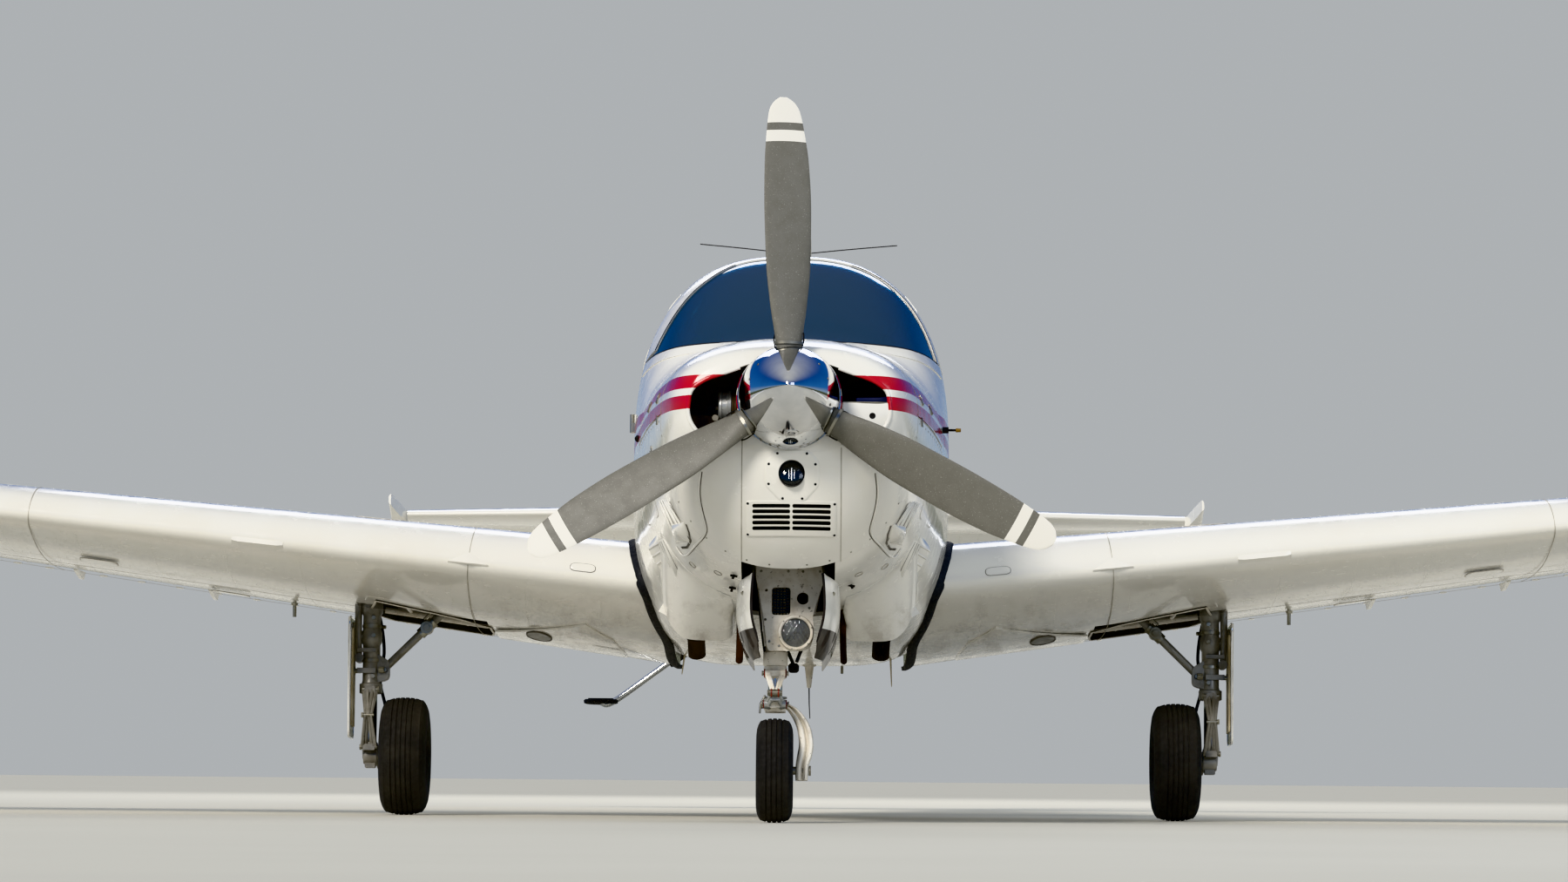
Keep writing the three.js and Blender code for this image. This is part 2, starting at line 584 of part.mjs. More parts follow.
// The wing is straight between these two stations of its own frame.
const WING_SPAN = HALF_SPAN - WING_FRAME.x;
const STRAIGHT = { from: -120, to: WING_SPAN - 220 };

// Where a hinge line at a share of the chord lies at x in the wing's frame, and the half thickness there.
const hingeAt = (x, share) => {
  const [a, b] = [STRAIGHT.from, STRAIGHT.to].map((end) => {
    const { chord, lead, thick, incidence } = wingAt(end + WING_FRAME.x);
    const along = chord * share;
    const h = camberAt(share) * chord;
    const [c, s] = [Math.cos(deg(incidence)), Math.sin(deg(incidence))];
    return [end, lead + along * c + h * s, h * c - along * s, halfThickness(thick, share) * chord];
  });
  const t = (x - a[0]) / (b[0] - a[0]);
  const [, y, z, half] = a.map((v, i) => v + (b[i] - v) * t);
  return { point: [x, y, z], half };
};

const FLAP = { from: 90, to: 2250, share: 0.76, gap: 12 };
const AILERON = { from: 2290, to: 4180, share: 0.76, gap: RUN_GAP };
const WELL = { out: 1645, in: 1150, fore: 2700, aft: 2925, mouth: -483, deep: 125 };

const WING_TIP = [
  // inset from the tip, share of the chord
  [120, 0.93],
  [60, 0.84],
  [18, 0.68],
  [0, 0.45],
];
const addWing = (side) => {
  const name = sideName(side);
  const rings = [
    wingRing(STRAIGHT.from),
    wingRing(STRAIGHT.to),
    ...WING_TIP.map(([inset, shrink]) => wingRing(WING_SPAN - inset, shrink)),
  ];
  const frame = place(WING_FRAME.x, 0, WING_FRAME.z, 0, -WING_FRAME.dihedral, 0);
  const back = frame.clone().invert();
  let body = cut(loft(rings), transformed(wholeHull, back));
  body = largest(body);
  const well = transformed(
    box([WELL.in, WELL.out], [WELL.fore, WELL.aft], [-700, WELL.mouth + WELL.deep]),
    back,
  );
  body = body.subtract(well);
  const split = (solid, { from, to, share, gap }, pins) => {
    const [inner, outer] = [hingeAt(from, share), hingeAt(to, share)];
    return splitSurface(solid, inner.point, outer.point, inner.half, outer.half, gap, pins);
  };
  const flap = split(body, FLAP, [false, true]);
  const aileron = split(flap[0], AILERON, [true, true]);
  const group = new THREE.Group();
  group.applyMatrix4(frame);
  const mirror = new THREE.Group();
  mirror.scale.x = side;
  mirror.add(group);
  level.add(mirror);
  add(`wing_${name}`, aileron[0], "white", group);
  add(`flap_${name}`, flap[1], "white", group);
  add(`aileron_${name}`, aileron[1], "white", group);
  const axisOf = ({ point, dir }) => ({
    point: point.clone().applyMatrix4(frame),
    dir: dir.clone().transformDirection(frame),
  });
  return { flap: axisOf(flap[2]), aileron: axisOf(aileron[2]) };
};

// Tail surfaces

const STABILIZER = { half: 1855, z: 262, lead: [6475, 6815], trail: [7617, 7467], thick: 0.09 };
const ELEVATOR = { y: 7200, droop: 18, gap: 5 };
// the balance horn's plan at the elevator's outer end, and the corner cut away for the rudder's swing
const HORN = [[1763, 7130], [1785, 7130], [1843, 6935], [1853, 6935], [1853, 7230], [1763, 7230]];
const RUDDER_ROOM = [[118, 7222], [228, 7680], [118, 7680]];
const stabilizerAt = (x) => {
  const share = x / STABILIZER.half;
  const [lead, trail] = [STABILIZER.lead, STABILIZER.trail].map(([root, tip]) => root + (tip - root) * share);
  return { lead, chord: trail - lead };
};
const stabilizerRing = (x, shrink = 1) => {
  const { lead, chord } = stabilizerAt(x);
  const start = lead + (chord * (1 - shrink)) / 2;
  return foil(chord * shrink, STABILIZER.thick, false, (s, h) => new THREE.Vector3(x, start + s, h), 10);
};
// An upright prism of a plan outline, [x, y].
const planPrism = (outline, z0, z1) => {
  const shape = new THREE.Shape(outline.map(([x, y]) => new THREE.Vector2(x, y)));
  const geometry = new THREE.ExtrudeGeometry(shape, { depth: z1 - z0, bevelEnabled: false });
  return solidOf(geometry.translate(0, 0, z0));
};

const addStabilizer = (side) => {
  const name = sideName(side);
  const { half, thick, z } = STABILIZER;
  const plain = loft([stabilizerRing(20), stabilizerRing(half - 30), stabilizerRing(half, 0.93)]);
  const halfAtHinge = (x) => {
    const { lead, chord } = stabilizerAt(x);
    return halfThickness(thick, (ELEVATOR.y - lead) / chord) * chord;
  };
  const ends = [CONE_BOSS.reach, half + 20];
  const [a, b] = ends.map((x) => [x, ELEVATOR.y, 0]);
  const radii = ends.map(halfAtHinge);
  const [fixed, moving] = splitSurface(plain, a, b, ...radii, ELEVATOR.gap, [true, false]);
  const horn = plain.intersect(planPrism(HORN, -200, 200));
  const elevator = moving.subtract(planPrism(RUDDER_ROOM, -100, 100)).add(horn);
  const hornRoom = box([HORN[0][0] - RUN_GAP, half + 50], [6500, ELEVATOR.y + ELEVATOR.gap], [-200, 200]);
  const bossRoom = box([0, CONE_BOSS.reach], [ELEVATOR.y - CONE_BOSS.radius - SEAT_GAP, 7700], [-100, 100]);
  const coneHere = transformed(wholeHull, place(0, 0, -z));
  const tailGroup = new THREE.Group();
  tailGroup.position.z = z;
  const swing = new THREE.Group();
  swing.position.y = ELEVATOR.y;
  swing.rotation.x = deg(-ELEVATOR.droop);
  const mirror = new THREE.Group();
  mirror.scale.x = side;
  level.add(mirror);
  mirror.add(tailGroup);
  tailGroup.add(swing);
  add(`stabilizer_${name}`, cut(fixed, hornRoom, coneHere, bossRoom), "white", tailGroup);
  add(`elevator_${name}`, transformed(elevator, place(0, -ELEVATOR.y, 0)), "white", swing);
};

const FIN = { base: 0.2, top: 1.5, lead: [6.36, 7.13], trail: [7.66, 7.7], thick: 0.085 };
const RUDDER = { bottom: [0, 7235, 360], top: [0, 7440, 1545], radii: [37, 21], gap: 5 };
const DORSAL = [
  // aft of propeller, height of the crest, half width
  [5450, 425, 20],
  [6200, 470, 32],
  [6620, 640, 40],
];
const finRing = (z, shrink = 1) => {
  const share = (z - FIN.base) / (FIN.top - FIN.base);
  const [lead, trail] = [FIN.lead, FIN.trail].map(([base, top]) => (base + (top - base) * share) * 1000);
  const chord = (trail - lead) * shrink;
  const start = lead + ((trail - lead) * (1 - shrink)) / 2;
  return foil(chord, FIN.thick, false, (s, h) => new THREE.Vector3(h, start + s, z * 1000), 10);
};

const addFin = () => {
  const plain = loft([finRing(FIN.base), finRing(FIN.top - 0.03), finRing(FIN.top, 0.86)]);
  const dorsalRing = ([y, crest, half]) => {
    const right = [[half, 0], [half / 2, crest * 0.6], [2, crest]];
    const left = right.map(([x, z]) => [-x, z]).reverse();
    return [...right, ...left].map(([x, z]) => new THREE.Vector3(x, y, z));
  };
  const { bottom, top, radii, gap } = RUDDER;
  const [fixed, moving, axis] = splitSurface(plain, bottom, top, ...radii, gap, [true, false]);
  add("fin", join(fixed, loft(DORSAL.map(dorsalRing))).subtract(wholeHull), "white");
  add("rudder", moving, "white");
  return axis;
};

// Propeller: built about its own axis, which is the level frame's Y through the origin

const BLADE = [
  // radius, chord, angle to the disc in degrees, thickness
  [0.1, 0.078, 32, 0.07],
  [0.19, 0.1, 32, 0.062],
  [0.3, 0.138, 30, 0.036],
  [0.45, 0.163, 25, 0.024],
  [0.62, 0.167, 20, 0.017],
  [0.78, 0.16, 16, 0.013],
  [0.9, 0.144, 14, 0.01],
  [0.96, 0.122, 13, 0.008],
  [0.995, 0.086, 12.5, 0.007],
  [1.012, 0.036, 12.5, 0.006],
];
const BLADE_TURN = 0.8; // degrees that the propeller stands off its upright
const bladeRing = ([r, chord, angle, thick]) =>
  Array.from({ length: 14 }, (_, i) => {
    const a = (2 * Math.PI * (i + 0.5)) / 14;
    const [u, v] = [(Math.cos(a) * chord) / 2, (Math.sin(a) * thick) / 2];
    const [c, s] = [Math.cos(deg(angle)), Math.sin(deg(angle))];
    return new THREE.Vector3((u * c - v * s) * 1000, (u * s + v * c) * 1000, (r * PROP_RADIUS) / 1.016);
  });

const SPINNER_PROFILE = [
  // aft of the propeller's plane, radius
  [-330, 0], [-326, 14], [-310, 34], [-270, 66], [-215, 98], [-150, 128],
  [-80, 152], [-20, 166], [34, 169], [44, 169], [44, 0],
];
const addPropeller = () => {
  const spin = new THREE.Group();
  spin.rotation.y = deg(-BLADE_TURN);
  level.add(spin);
  const profile = SPINNER_PROFILE.map(([y, r]) => new THREE.Vector2(r, -y)).reverse();
  const cone = solidOf(new THREE.LatheGeometry(profile, 28).rotateX(Math.PI));
  const shaft = bar([0, 40, 0], [0, ENGINE.y[0] - SEAT_GAP, 0], SHAFT_RADIUS, SHAFT_RADIUS, 20);
  const blade = loft(BLADE.map(bladeRing));
  const sleeve = loft(
    [[0.098, ...BLADE[0].slice(1)], ...BLADE.slice(1, 3)].map(([r, chord, angle, thick]) =>
      bladeRing([r, chord + 2 * 0.0004, angle, thick + 2 * 0.0004])),
  );
  const turned = (solid, k) => transformed(solid, place(0, 0, 0, 0, 120 * k, 0));
  const pieces = [0, 1, 2];
  add("spinner", cut(join(cone, shaft), ...pieces.map((k) => turned(sleeve, k))), "chrome", spin);
  for (const k of pieces) add(`propeller_blade_${k + 1}`, turned(blade, k), "blade", spin);
};

// Wheels: each lathe turns about X

const MAIN_TYRE = { radius: 222, half: 90, bead: 80 };
const NOSE_TYRE = { radius: 178, half: 63, bead: 65 };
const AXLE = { main: 19, nose: 14 };
const WHEEL_SIDES = 24;
const latheX = (profile) => {
  const points = profile.map(([r, x]) => new THREE.Vector2(r, x));
  return solidOf(new THREE.LatheGeometry(points, WHEEL_SIDES).rotateZ(-Math.PI / 2));
};

// One side of a tyre's section, from the bead to the tread: share of the depth, share of the half width
const TYRE_SIDE = [[0, 0.72], [0.2, 0.92], [0.52, 1], [0.84, 0.86]];
const SHOULDER = { drop: 5, reach: 0.6, flat: 0.3 };
const tyre = ({ radius, half, bead }) => {
  const sideWall = [
    ...TYRE_SIDE.map(([share, out]) => [bead + (radius - bead) * share, half * out]),
    [radius - SHOULDER.drop, half * SHOULDER.reach],
    [radius, half * SHOULDER.flat],
  ];
  const far = sideWall.map(([r, x]) => [r, -x]);
  return latheX([...far, ...sideWall.reverse(), far[0]]);
};
const rim = ({ half, bead }, axle) => {
  const [hole, edge] = [axle + SEAT_GAP, bead - SEAT_GAP];
  const face = [[hole, 0.5], [bead * 0.62, 0.5], [bead * 0.72, 0.68], [edge, 0.72]];
  const far = face.map(([r, out]) => [r, -half * out]);
  return latheX([...far, ...face.map(([r, out]) => [r, half * out]).reverse(), far[0]]);
};

const addWheel = (name, size, axle, [x, y, z]) => {
  const group = new THREE.Group();
  group.position.set(x, y, z);
  level.add(group);
  add(`${name}_tyre`, tyre(size), "tyre", group);
  add(`${name}_wheel`, rim(size, axle), "rim", group);
};

// Main gear, built for the left side in the level frame and mirrored

const [MAIN_Y, MAIN_Z] = levelFromGround(MAIN_WHEEL_AFT, MAIN_TYRE.radius);
const LEG = { x: 1592, radius: 38, strut: 24, collar: 44, knuckle: 34 };
const WELL_ROOF = WELL.mouth + WELL.deep;
const JACK_FOOT = { half: 20, high: -20, low: -46 }; // a flat pad under the axle knuckle
const SCISSORS = { width: 46, thick: 14, knee: 118 };
// The leg's door, in side view about the leg, hangs outboard of the leg on two lugs.
const LEG_DOOR = {
  x: [1664, 1672],
  outline: [[-130, -530], [120, -530], [85, -985], [-85, -985]],
  lugs: [-560, -730],
};
const BRACE = { foot: 320, head: 40, radius: [15, 17], lug: [30, 22, 50] };
const addMainGear = (side) => {
  const name = sideName(side);
  const mirror = new THREE.Group();
  mirror.scale.x = side;
  level.add(mirror);
  const [x, y, z] = [LEG.x, MAIN_Y, MAIN_Z];
  const wheelX = WHEEL_TRACK / 2;
  const roof = WELL_ROOF - SEAT_GAP;
  const { width, thick, knee } = SCISSORS;
  const link = (from, to) => strap([x, y + from[0], z + from[1]], [x, y + to[0], z + to[1]], thick, width);
  const leg = join(
    bar([x, y, roof], [x, y, z + 235], LEG.radius),
    bar([x, y, z + 240], [x, y, z - 10], LEG.strut),
    bar([x, y, z + 275], [x, y, z + 235], LEG.collar),
    bar([x + 24, y, z], [wheelX - 50, y, z], AXLE.main),
    bar([x - 28, y, z], [x + 22, y, z], LEG.knuckle),
    box([x - 22, x + 18], [y - JACK_FOOT.half, y + JACK_FOOT.half], [z + JACK_FOOT.low, z + JACK_FOOT.high]),
    box([x - 20, x + 20], [y - 62, y - 20], [z + 235, z + 262]),
    box([x - 22, x + 22], [y - 66, y], [z + 18, z + 42]),
    link([-52, 250], [-knee, 145]),
    link([-knee, 150], [-52, 30]),
    bar([x - 60, y, WELL_ROOF - 60], [x + 30, y, WELL_ROOF - 60], 22, 22, 10),
  );
  add(`main_leg_${name}`, leg, "gear", mirror);
  const foot = [x - LEG.radius - SEAT_GAP, y, z + BRACE.foot];
  const head = [WELL.in + BRACE.head, y, roof - 16];
  const [lugX, lugY, lugDeep] = BRACE.lug;
  const brace = join(
    bar(foot, head, ...BRACE.radius),
    box([head[0] - lugX, head[0] + lugX], [y - lugY, y + lugY], [roof - lugDeep, roof]),
  ).subtract(bar([x, y, WELL_ROOF], [x, y, z + 200], LEG.radius + SEAT_GAP));
  add(`main_brace_${name}`, largest(brace), "gear", mirror);
  const outline = rounded(LEG_DOOR.outline.map(([along, up]) => [(y + along) / 1000, up / 1000]), 0.03);
  const lugs = LEG_DOOR.lugs.map((up) =>
    bar([x + LEG.radius + SEAT_GAP + 0.4, y, up], [LEG_DOOR.x[0] + 2, y, up], 12));
  add(`gear_door_${name}`, join(sidePrism(outline, ...LEG_DOOR.x), ...lugs), "white", mirror);
  addWheel(`main_${name}`, MAIN_TYRE, AXLE.main, [side * wheelX, y, z]);
};

// Nose gear

const [NOSE_Y, NOSE_Z] = levelFromGround(MAIN_WHEEL_AFT - WHEEL_BASE, NOSE_TYRE.radius);
const NOSE_X = -42;
const STEER_Y = NOSE_Y - 22; // the steering axis is upright in the level frame
const COLLAR = 355; // the leg's lower end above the axle
const CROWN = NOSE_TYRE.radius + 26; // the fork's crown above the axle
const PLATE = {
  fore: 95,
  thick: 16,
  outline: [[-0.11, -0.43], [0.115, -0.43], [0.1, -0.6], [0.095, -0.79], [-0.085, -0.79], [-0.1, -0.6]],
  lugs: [[-620, -560], [-780, -740]],
};
// One of the bay's two doors, which hang open beside the leg, in front view.
const NOSE_DOOR = {
  y: [380, 1080],
  outline: [
    [0.166, -0.52], [0.176, -0.6], [0.176, -0.7], [0.15, -0.79], [0.112, -0.85],
    [0.105, -0.846], [0.14, -0.786], [0.166, -0.7], [0.166, -0.6], [0.158, -0.52],
  ],
};
const addNoseLeg = () => {
  const [x, y] = [NOSE_X, STEER_Y];
  const top = ENGINE.z[0] - SEAT_GAP;
  const collar = NOSE_Z + COLLAR;
  const plateFront = y - PLATE.fore;
  const leg = join(
    bar([x, y, top], [x, y, collar], 36),
    bar([x, y, collar + 50], [x, y, collar], 42),
    ...PLATE.lugs.map((height) => box([x - 30, x + 30], [plateFront + 8, y], height)),
    frontPrism(rounded(PLATE.outline, 0.03), plateFront, plateFront + PLATE.thick),
    bar([x, y + 20, -700], [x + 20, 1090, -490], 16), // drag brace
    bar([-110, y, -470], [110, y, -470], 20, 20, 10), // trunnion
  );
  add("nose_leg", leg.subtract(box([-400, 400], [0, 1400], [top, 0])), "nose_gear");
};
// A fork with a single arm on the left of the wheel.
const addNoseFork = () => {
  const [x, y, z] = [NOSE_X, STEER_Y, NOSE_Z];
  const top = z + COLLAR - SEAT_GAP;
  const armX = x + NOSE_TYRE.half + 34;
  const arm = [
    // inner or upper end, outer or lower end, width, thickness
    [[x + 20, y + 18, z + CROWN + 4], [armX + 4, y + 20, z + CROWN - 58], 70, 24],
    [[armX, y + 20, z + CROWN - 48], [armX + 10, y + 22, z + 60], 66, 20],
    [[armX + 10, y + 22, z + 74], [armX - 8, y + 22, z - 32], 60, 20],
  ];
  const fork = join(
    bar([x, y, top], [x, y, z + CROWN + 6], 24),
    bar([x, y, top], [x, y, z + COLLAR - 42], 40),
    bar([x, y, z + CROWN + 36], [x, y, z + CROWN], 38),
    box([x - 34, x + 34], [y - 30, y + 60], [z + CROWN - 6, z + CROWN + 22]),
    ...arm.map(([from, to, width, thick]) => strap(from, to, width, thick)),
    bar([armX + 4, NOSE_Y, z], [x - 32, NOSE_Y, z], AXLE.nose),
  );
  add("nose_fork", fork, "nose_gear");
};
const addTorqueLink = () => {
  const [x, y] = [NOSE_X, STEER_Y];
  const [upper, lower] = [NOSE_Z + COLLAR, NOSE_Z + CROWN];
  const knee = [y - 121, upper - 99];
  const halves = [-1, 1].flatMap((side) => [
    strap([x + side * 26, y - 56, upper - 28], [x, ...knee], 12, 14),
    strap([x, ...knee], [x + side * 26, y - 52, lower + 18], 12, 14),
  ]);
  const link = join(
    box([x - 34, x + 34], [y - 64, y - 40 - SEAT_GAP], [upper - 40, upper - 16]),
    box([x - 14, x + 14], [y - 130, y - 108], [upper - 112, upper - 90]),
    box([x - 34, x + 34], [y - 62, y - 38 - SEAT_GAP], [lower + 4, lower + 30]),
    ...halves,
  );
  add("nose_torque_link", link, "nose_gear");
};
const addNoseDoors = () => {
  for (const side of [-1, 1]) {
    const panel = frontPrism(NOSE_DOOR.outline.map(([x, z]) => [x * side, z]), ...NOSE_DOOR.y);
    add(`nose_door_${sideName(side)}`, largest(panel.subtract(wholeHull)), "white");
  }
};

// Small outside pieces

const EXHAUST = { x: 330, from: [1080, -470], to: [1260, -715], open: 1180, radius: 30, bore: 25 };
const addExhausts = () => {
  const { x, from, to, open, radius, bore } = EXHAUST;
  const fall = (to[1] - from[1]) / (to[0] - from[0]);
  const at = (y) => [y, from[1] + (y - from[0]) * fall];
  for (const side of [-1, 1]) {
    const hole = bar([side * x, ...at(open)], [side * x, ...at(to[0] + 15)], bore);
    const pipe = bar([side * x, ...from], [side * x, ...to], radius).subtract(hole);
    add(`exhaust_${sideName(side)}`, largest(pipe.subtract(wholeHull)), "exhaust");
  }
};

const STEP = {
  x: -770,
  y: 4150,
  z: -752,
  half: [70, 75, 8],
  strut: { from: [-230, -400], width: 44, thick: 18 },
};
const addStep = () => {
  const { x, y, z, half, strut } = STEP;
  const step = join(
    strap([strut.from[0], y, strut.from[1]], [x + 50, y, z], strut.width, strut.thick),
    box([x - half[0], x + half[0]], [y - half[1], y + half[1]], [z - half[2], z + half[2]]),
  );
  add("boarding_step", largest(step.subtract(wholeHull)), "gear");
};

// Doors

const addDoors = ({ door, doorGlass, baggage }, cowlDoors) => {
  add("cabin_door", door, "white");
  add("window_right_front", doorGlass, "glass");
  add("baggage_door", baggage, "white");
  for (const side of [-1, 1]) add(`cowl_door_${sideName(side)}`, cowlDoors[side], "white");
};

const cowlDoors = addCowling();
addEngine();
const panels = addCabin();
addInterior();
addTailCone();
const wingAxes = {};
for (const side of [-1, 1]) wingAxes[side] = addWing(side);
for (const side of [-1, 1]) addStabilizer(side);
const rudderAxis = addFin();
addPropeller();
for (const side of [-1, 1]) addMainGear(side);
addNoseLeg();
addNoseFork();
addTorqueLink();
addWheel("nose", NOSE_TYRE, AXLE.nose, [NOSE_X, NOSE_Y, NOSE_Z]);
addNoseDoors();
addExhausts();
addStep();
addDoors(panels, cowlDoors);

// Where each moving body turns: a point and a direction in the level frame
const mirrored = ({ point, dir }) => ({ point: [-point.x, point.y, point.z], dir: [-dir.x, dir.y, dir.z] });
const outward = ({ point, dir }) => ({ point: point.toArray(), dir: dir.toArray() });
const turned = ({ point, dir }) => ({ point, dir: dir.map((d) => -d) });
const cowlAxis = (side) => {
  const [front, back] = cowlHinge(side).map((p) => new THREE.Vector3(...p));
  return { point: front.toArray(), dir: back.sub(front).normalize().toArray() };
};
const upright = (x, y, z = 0) => ({ point: [x, y, z], dir: [0, 0, 1] });
aircraft.userData.pivots = {
  propeller: { point: [0, 0, 0], dir: [0, 1, 0] },
  nose_steering: upright(NOSE_X, STEER_Y, NOSE_Z),
  nose_wheel: { point: [NOSE_X, NOSE_Y, NOSE_Z], dir: [1, 0, 0] },
  main_wheel_left: { point: [WHEEL_TRACK / 2, MAIN_Y, MAIN_Z], dir: [1, 0, 0] },
  main_wheel_right: { point: [-WHEEL_TRACK / 2, MAIN_Y, MAIN_Z], dir: [1, 0, 0] },
  cabin_door: upright(DOOR_HINGES.cabin.x, DOOR_HINGES.cabin.y),
  baggage_door: upright(DOOR_HINGES.baggage.x, DOOR_HINGES.baggage.y),
  cowl_door_left: turned(cowlAxis(1)),
  cowl_door_right: cowlAxis(-1),
  flap_left: turned(outward(wingAxes[1].flap)),
  flap_right: mirrored(wingAxes[-1].flap),
  aileron_left: turned(outward(wingAxes[1].aileron)),
  aileron_right: mirrored(wingAxes[-1].aileron),
  elevator: { point: [0, ELEVATOR.y, STABILIZER.z], dir: [1, 0, 0] },
  rudder: outward(rudderAxis),
};

// Parked: nose up, on its wheels, and centred over the origin
level.rotation.x = deg(-PARKED_PITCH);
level.position.z = HUB_HEIGHT;
aircraft.updateMatrixWorld(true);
const bounds = new THREE.Box3().setFromObject(aircraft, true);
level.position.y = -(bounds.min.y + bounds.max.y) / 2;

export default aircraft;
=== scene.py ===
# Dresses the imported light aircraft: skins, gear, cabin, small fittings, studio floor, lights and camera.
import json
import math
import bmesh
import bpy
import numpy as np
from mathutils import Matrix, Vector

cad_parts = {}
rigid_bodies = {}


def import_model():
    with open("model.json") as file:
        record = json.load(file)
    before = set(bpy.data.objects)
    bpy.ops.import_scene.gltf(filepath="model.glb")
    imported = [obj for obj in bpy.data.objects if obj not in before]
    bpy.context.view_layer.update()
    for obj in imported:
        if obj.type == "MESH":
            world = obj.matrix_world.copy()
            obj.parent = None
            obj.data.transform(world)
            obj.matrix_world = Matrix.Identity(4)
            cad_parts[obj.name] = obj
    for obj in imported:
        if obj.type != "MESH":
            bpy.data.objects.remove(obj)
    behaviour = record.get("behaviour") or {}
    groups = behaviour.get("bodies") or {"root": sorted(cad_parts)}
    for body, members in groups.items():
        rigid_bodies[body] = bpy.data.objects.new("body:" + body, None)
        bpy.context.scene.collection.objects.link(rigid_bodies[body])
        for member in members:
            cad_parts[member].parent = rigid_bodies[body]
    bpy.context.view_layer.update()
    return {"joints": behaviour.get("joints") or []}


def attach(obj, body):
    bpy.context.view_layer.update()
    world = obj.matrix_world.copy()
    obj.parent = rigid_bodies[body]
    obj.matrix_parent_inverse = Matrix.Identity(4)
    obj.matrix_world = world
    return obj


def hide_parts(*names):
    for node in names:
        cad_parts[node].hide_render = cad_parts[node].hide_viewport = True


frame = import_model()
print("stage: frame loaded")

# The parts below are drawn level, in metres from the propeller's centre (x to the left wing, y aft, z up),
# and this matrix sets them down at the parked attitude.
hubPoint = Vector(next(j for j in frame["joints"] if j["name"] == "propeller_spin")["pos_m"])
parkedPitch = math.radians(3)
toGround = Matrix.Translation(hubPoint) @ Matrix.Rotation(-parkedPitch, 4, "X")

# small tools

bothSides = ((-1, "right"), (1, "left"))


def merged(*shapes):
    verts, faces, start = [], [], 0
    for v, f in shapes:
        verts.append(np.asarray(v, float).reshape(-1, 3))
        faces += [tuple(i + start for i in face) for face in f]
        start += len(v)
    return np.concatenate(verts), faces


def moved(shape, matrix):
    v = np.asarray(shape[0], float)
    m = np.array(matrix)
    return v @ m[:3, :3].T + m[:3, 3], shape[1]


def at(x, y, z, rx=0, ry=0, rz=0):
    turn = Matrix.Rotation(math.radians(rz), 4, "Z") @ Matrix.Rotation(math.radians(ry), 4, "Y")
    return Matrix.Translation((x, y, z)) @ turn @ Matrix.Rotation(math.radians(rx), 4, "X")


def mirrored(shape):
    return np.asarray(shape[0]) * [-1, 1, 1], [tuple(reversed(f)) for f in shape[1]]


def onSide(shape, side):
    return shape if side > 0 else mirrored(shape)


def both(shape):
    return merged(shape, mirrored(shape))


def loft(rings, wrap=False, caps=True):
    # a skin through rings of equal length; wrap joins the last ring to the first
    rings = np.asarray(rings, float)
    m, n = rings.shape[:2]
    faces = []
    for r in range(m if wrap else m - 1):
        a, b = r * n, (r + 1) % m * n
        faces += [(a + i, a + (i + 1) % n, b + (i + 1) % n, b + i) for i in range(n)]
    if caps and not wrap:
        faces += [tuple(reversed(range(n))), tuple(range((m - 1) * n, m * n))]
    return rings.reshape(-1, 3), faces


def prism(outline, axis, low, high):
    # the outline is drawn in side view (y, z), front view (x, z) or plan (x, y)
    put = {
        "x": lambda p, d: (d, p[0], p[1]), "y": lambda p, d: (p[0], d, p[1]), "z": lambda p, d: (p[0], p[1], d)
    }[axis]
    return loft([[put(p, low) for p in outline], [put(p, high) for p in outline]])


def box(x, y, z):
    return prism(rect(y, z), "x", *x)


def rect(a, b):
    # the four corners between two values of each of two measures
    return [(a[0], b[0]), (a[1], b[0]), (a[1], b[1]), (a[0], b[1])]


def rounded(outline, radius, steps=6):
    made = []
    n = len(outline)
    for i, corner in enumerate(outline):
        c = np.array(corner, float)
        a, b = np.array(outline[i - 1]) - c, np.array(outline[(i + 1) % n]) - c
        la, lb = np.linalg.norm(a), np.linalg.norm(b)
        reach = min(radius, la * 0.45, lb * 0.45)
        start, end = c + a / la * reach, c + b / lb * reach
        for t in np.linspace(0, 1, steps + 1):
            made.append(tuple((1 - t) ** 2 * start + 2 * t * (1 - t) * c + t * t * end))
    return made


def grown(outline, by):
    p = np.array(outline, float)
    before, after = np.roll(p, 1, 0), np.roll(p, -1, 0)
    area = np.sum(p[:, 0] * after[:, 1] - after[:, 0] * p[:, 1])
    along = after - before
    along /= np.linalg.norm(along, axis=1)[:, None] + 1e-12
    return [tuple(q) for q in p + np.stack([along[:, 1], -along[:, 0]], 1) * by * np.sign(area)]


def sweep(points, radius, sides=10):
    # a tube along a path; radius may be a list, one value a point
    p = np.array(points, float)
    radii = np.broadcast_to(np.asarray(radius, float), (len(p),))
    tangent = np.gradient(p, axis=0)
    tangent /= np.linalg.norm(tangent, axis=1)[:, None]
    side = np.cross(tangent[0], (0, 0, 1) if abs(tangent[0][2]) < 0.9 else (0, 1, 0))
    angles = [2 * math.pi * i / sides for i in range(sides)]
    profile = [(math.cos(a), math.sin(a)) for a in angles]
    rings = []
    for q, t, r in zip(p, tangent, radii):
        side = side - t * np.dot(side, t)
        side /= np.linalg.norm(side)
        up = np.cross(side, t)
        rings.append([q + side * u * r + up * v * r for u, v in profile])
    return loft(rings)


def smoothPath(points, count=40):
    # a Catmull-Rom curve through the points
    p = np.array(points, float)
    p = np.vstack([2 * p[0] - p[1], p, 2 * p[-1] - p[-2]])
    made = []
    for i in range(1, len(p) - 2):
        for t in np.linspace(0, 1, max(2, count // (len(p) - 3)), endpoint=False):
            a, b, c, d = p[i - 1], p[i], p[i + 1], p[i + 2]
            made.append(
                0.5 * (2 * b + (c - a) * t + (2 * a - 5 * b + 4 * c - d) * t * t + (3 * b - a - 3 * c + d) * t**3)
            )
    made.append(p[-2])
    return np.array(made)


def bar(a, b, ra, rb=None, sides=20):
    return sweep([a, b], [ra, ra if rb is None else rb], sides)


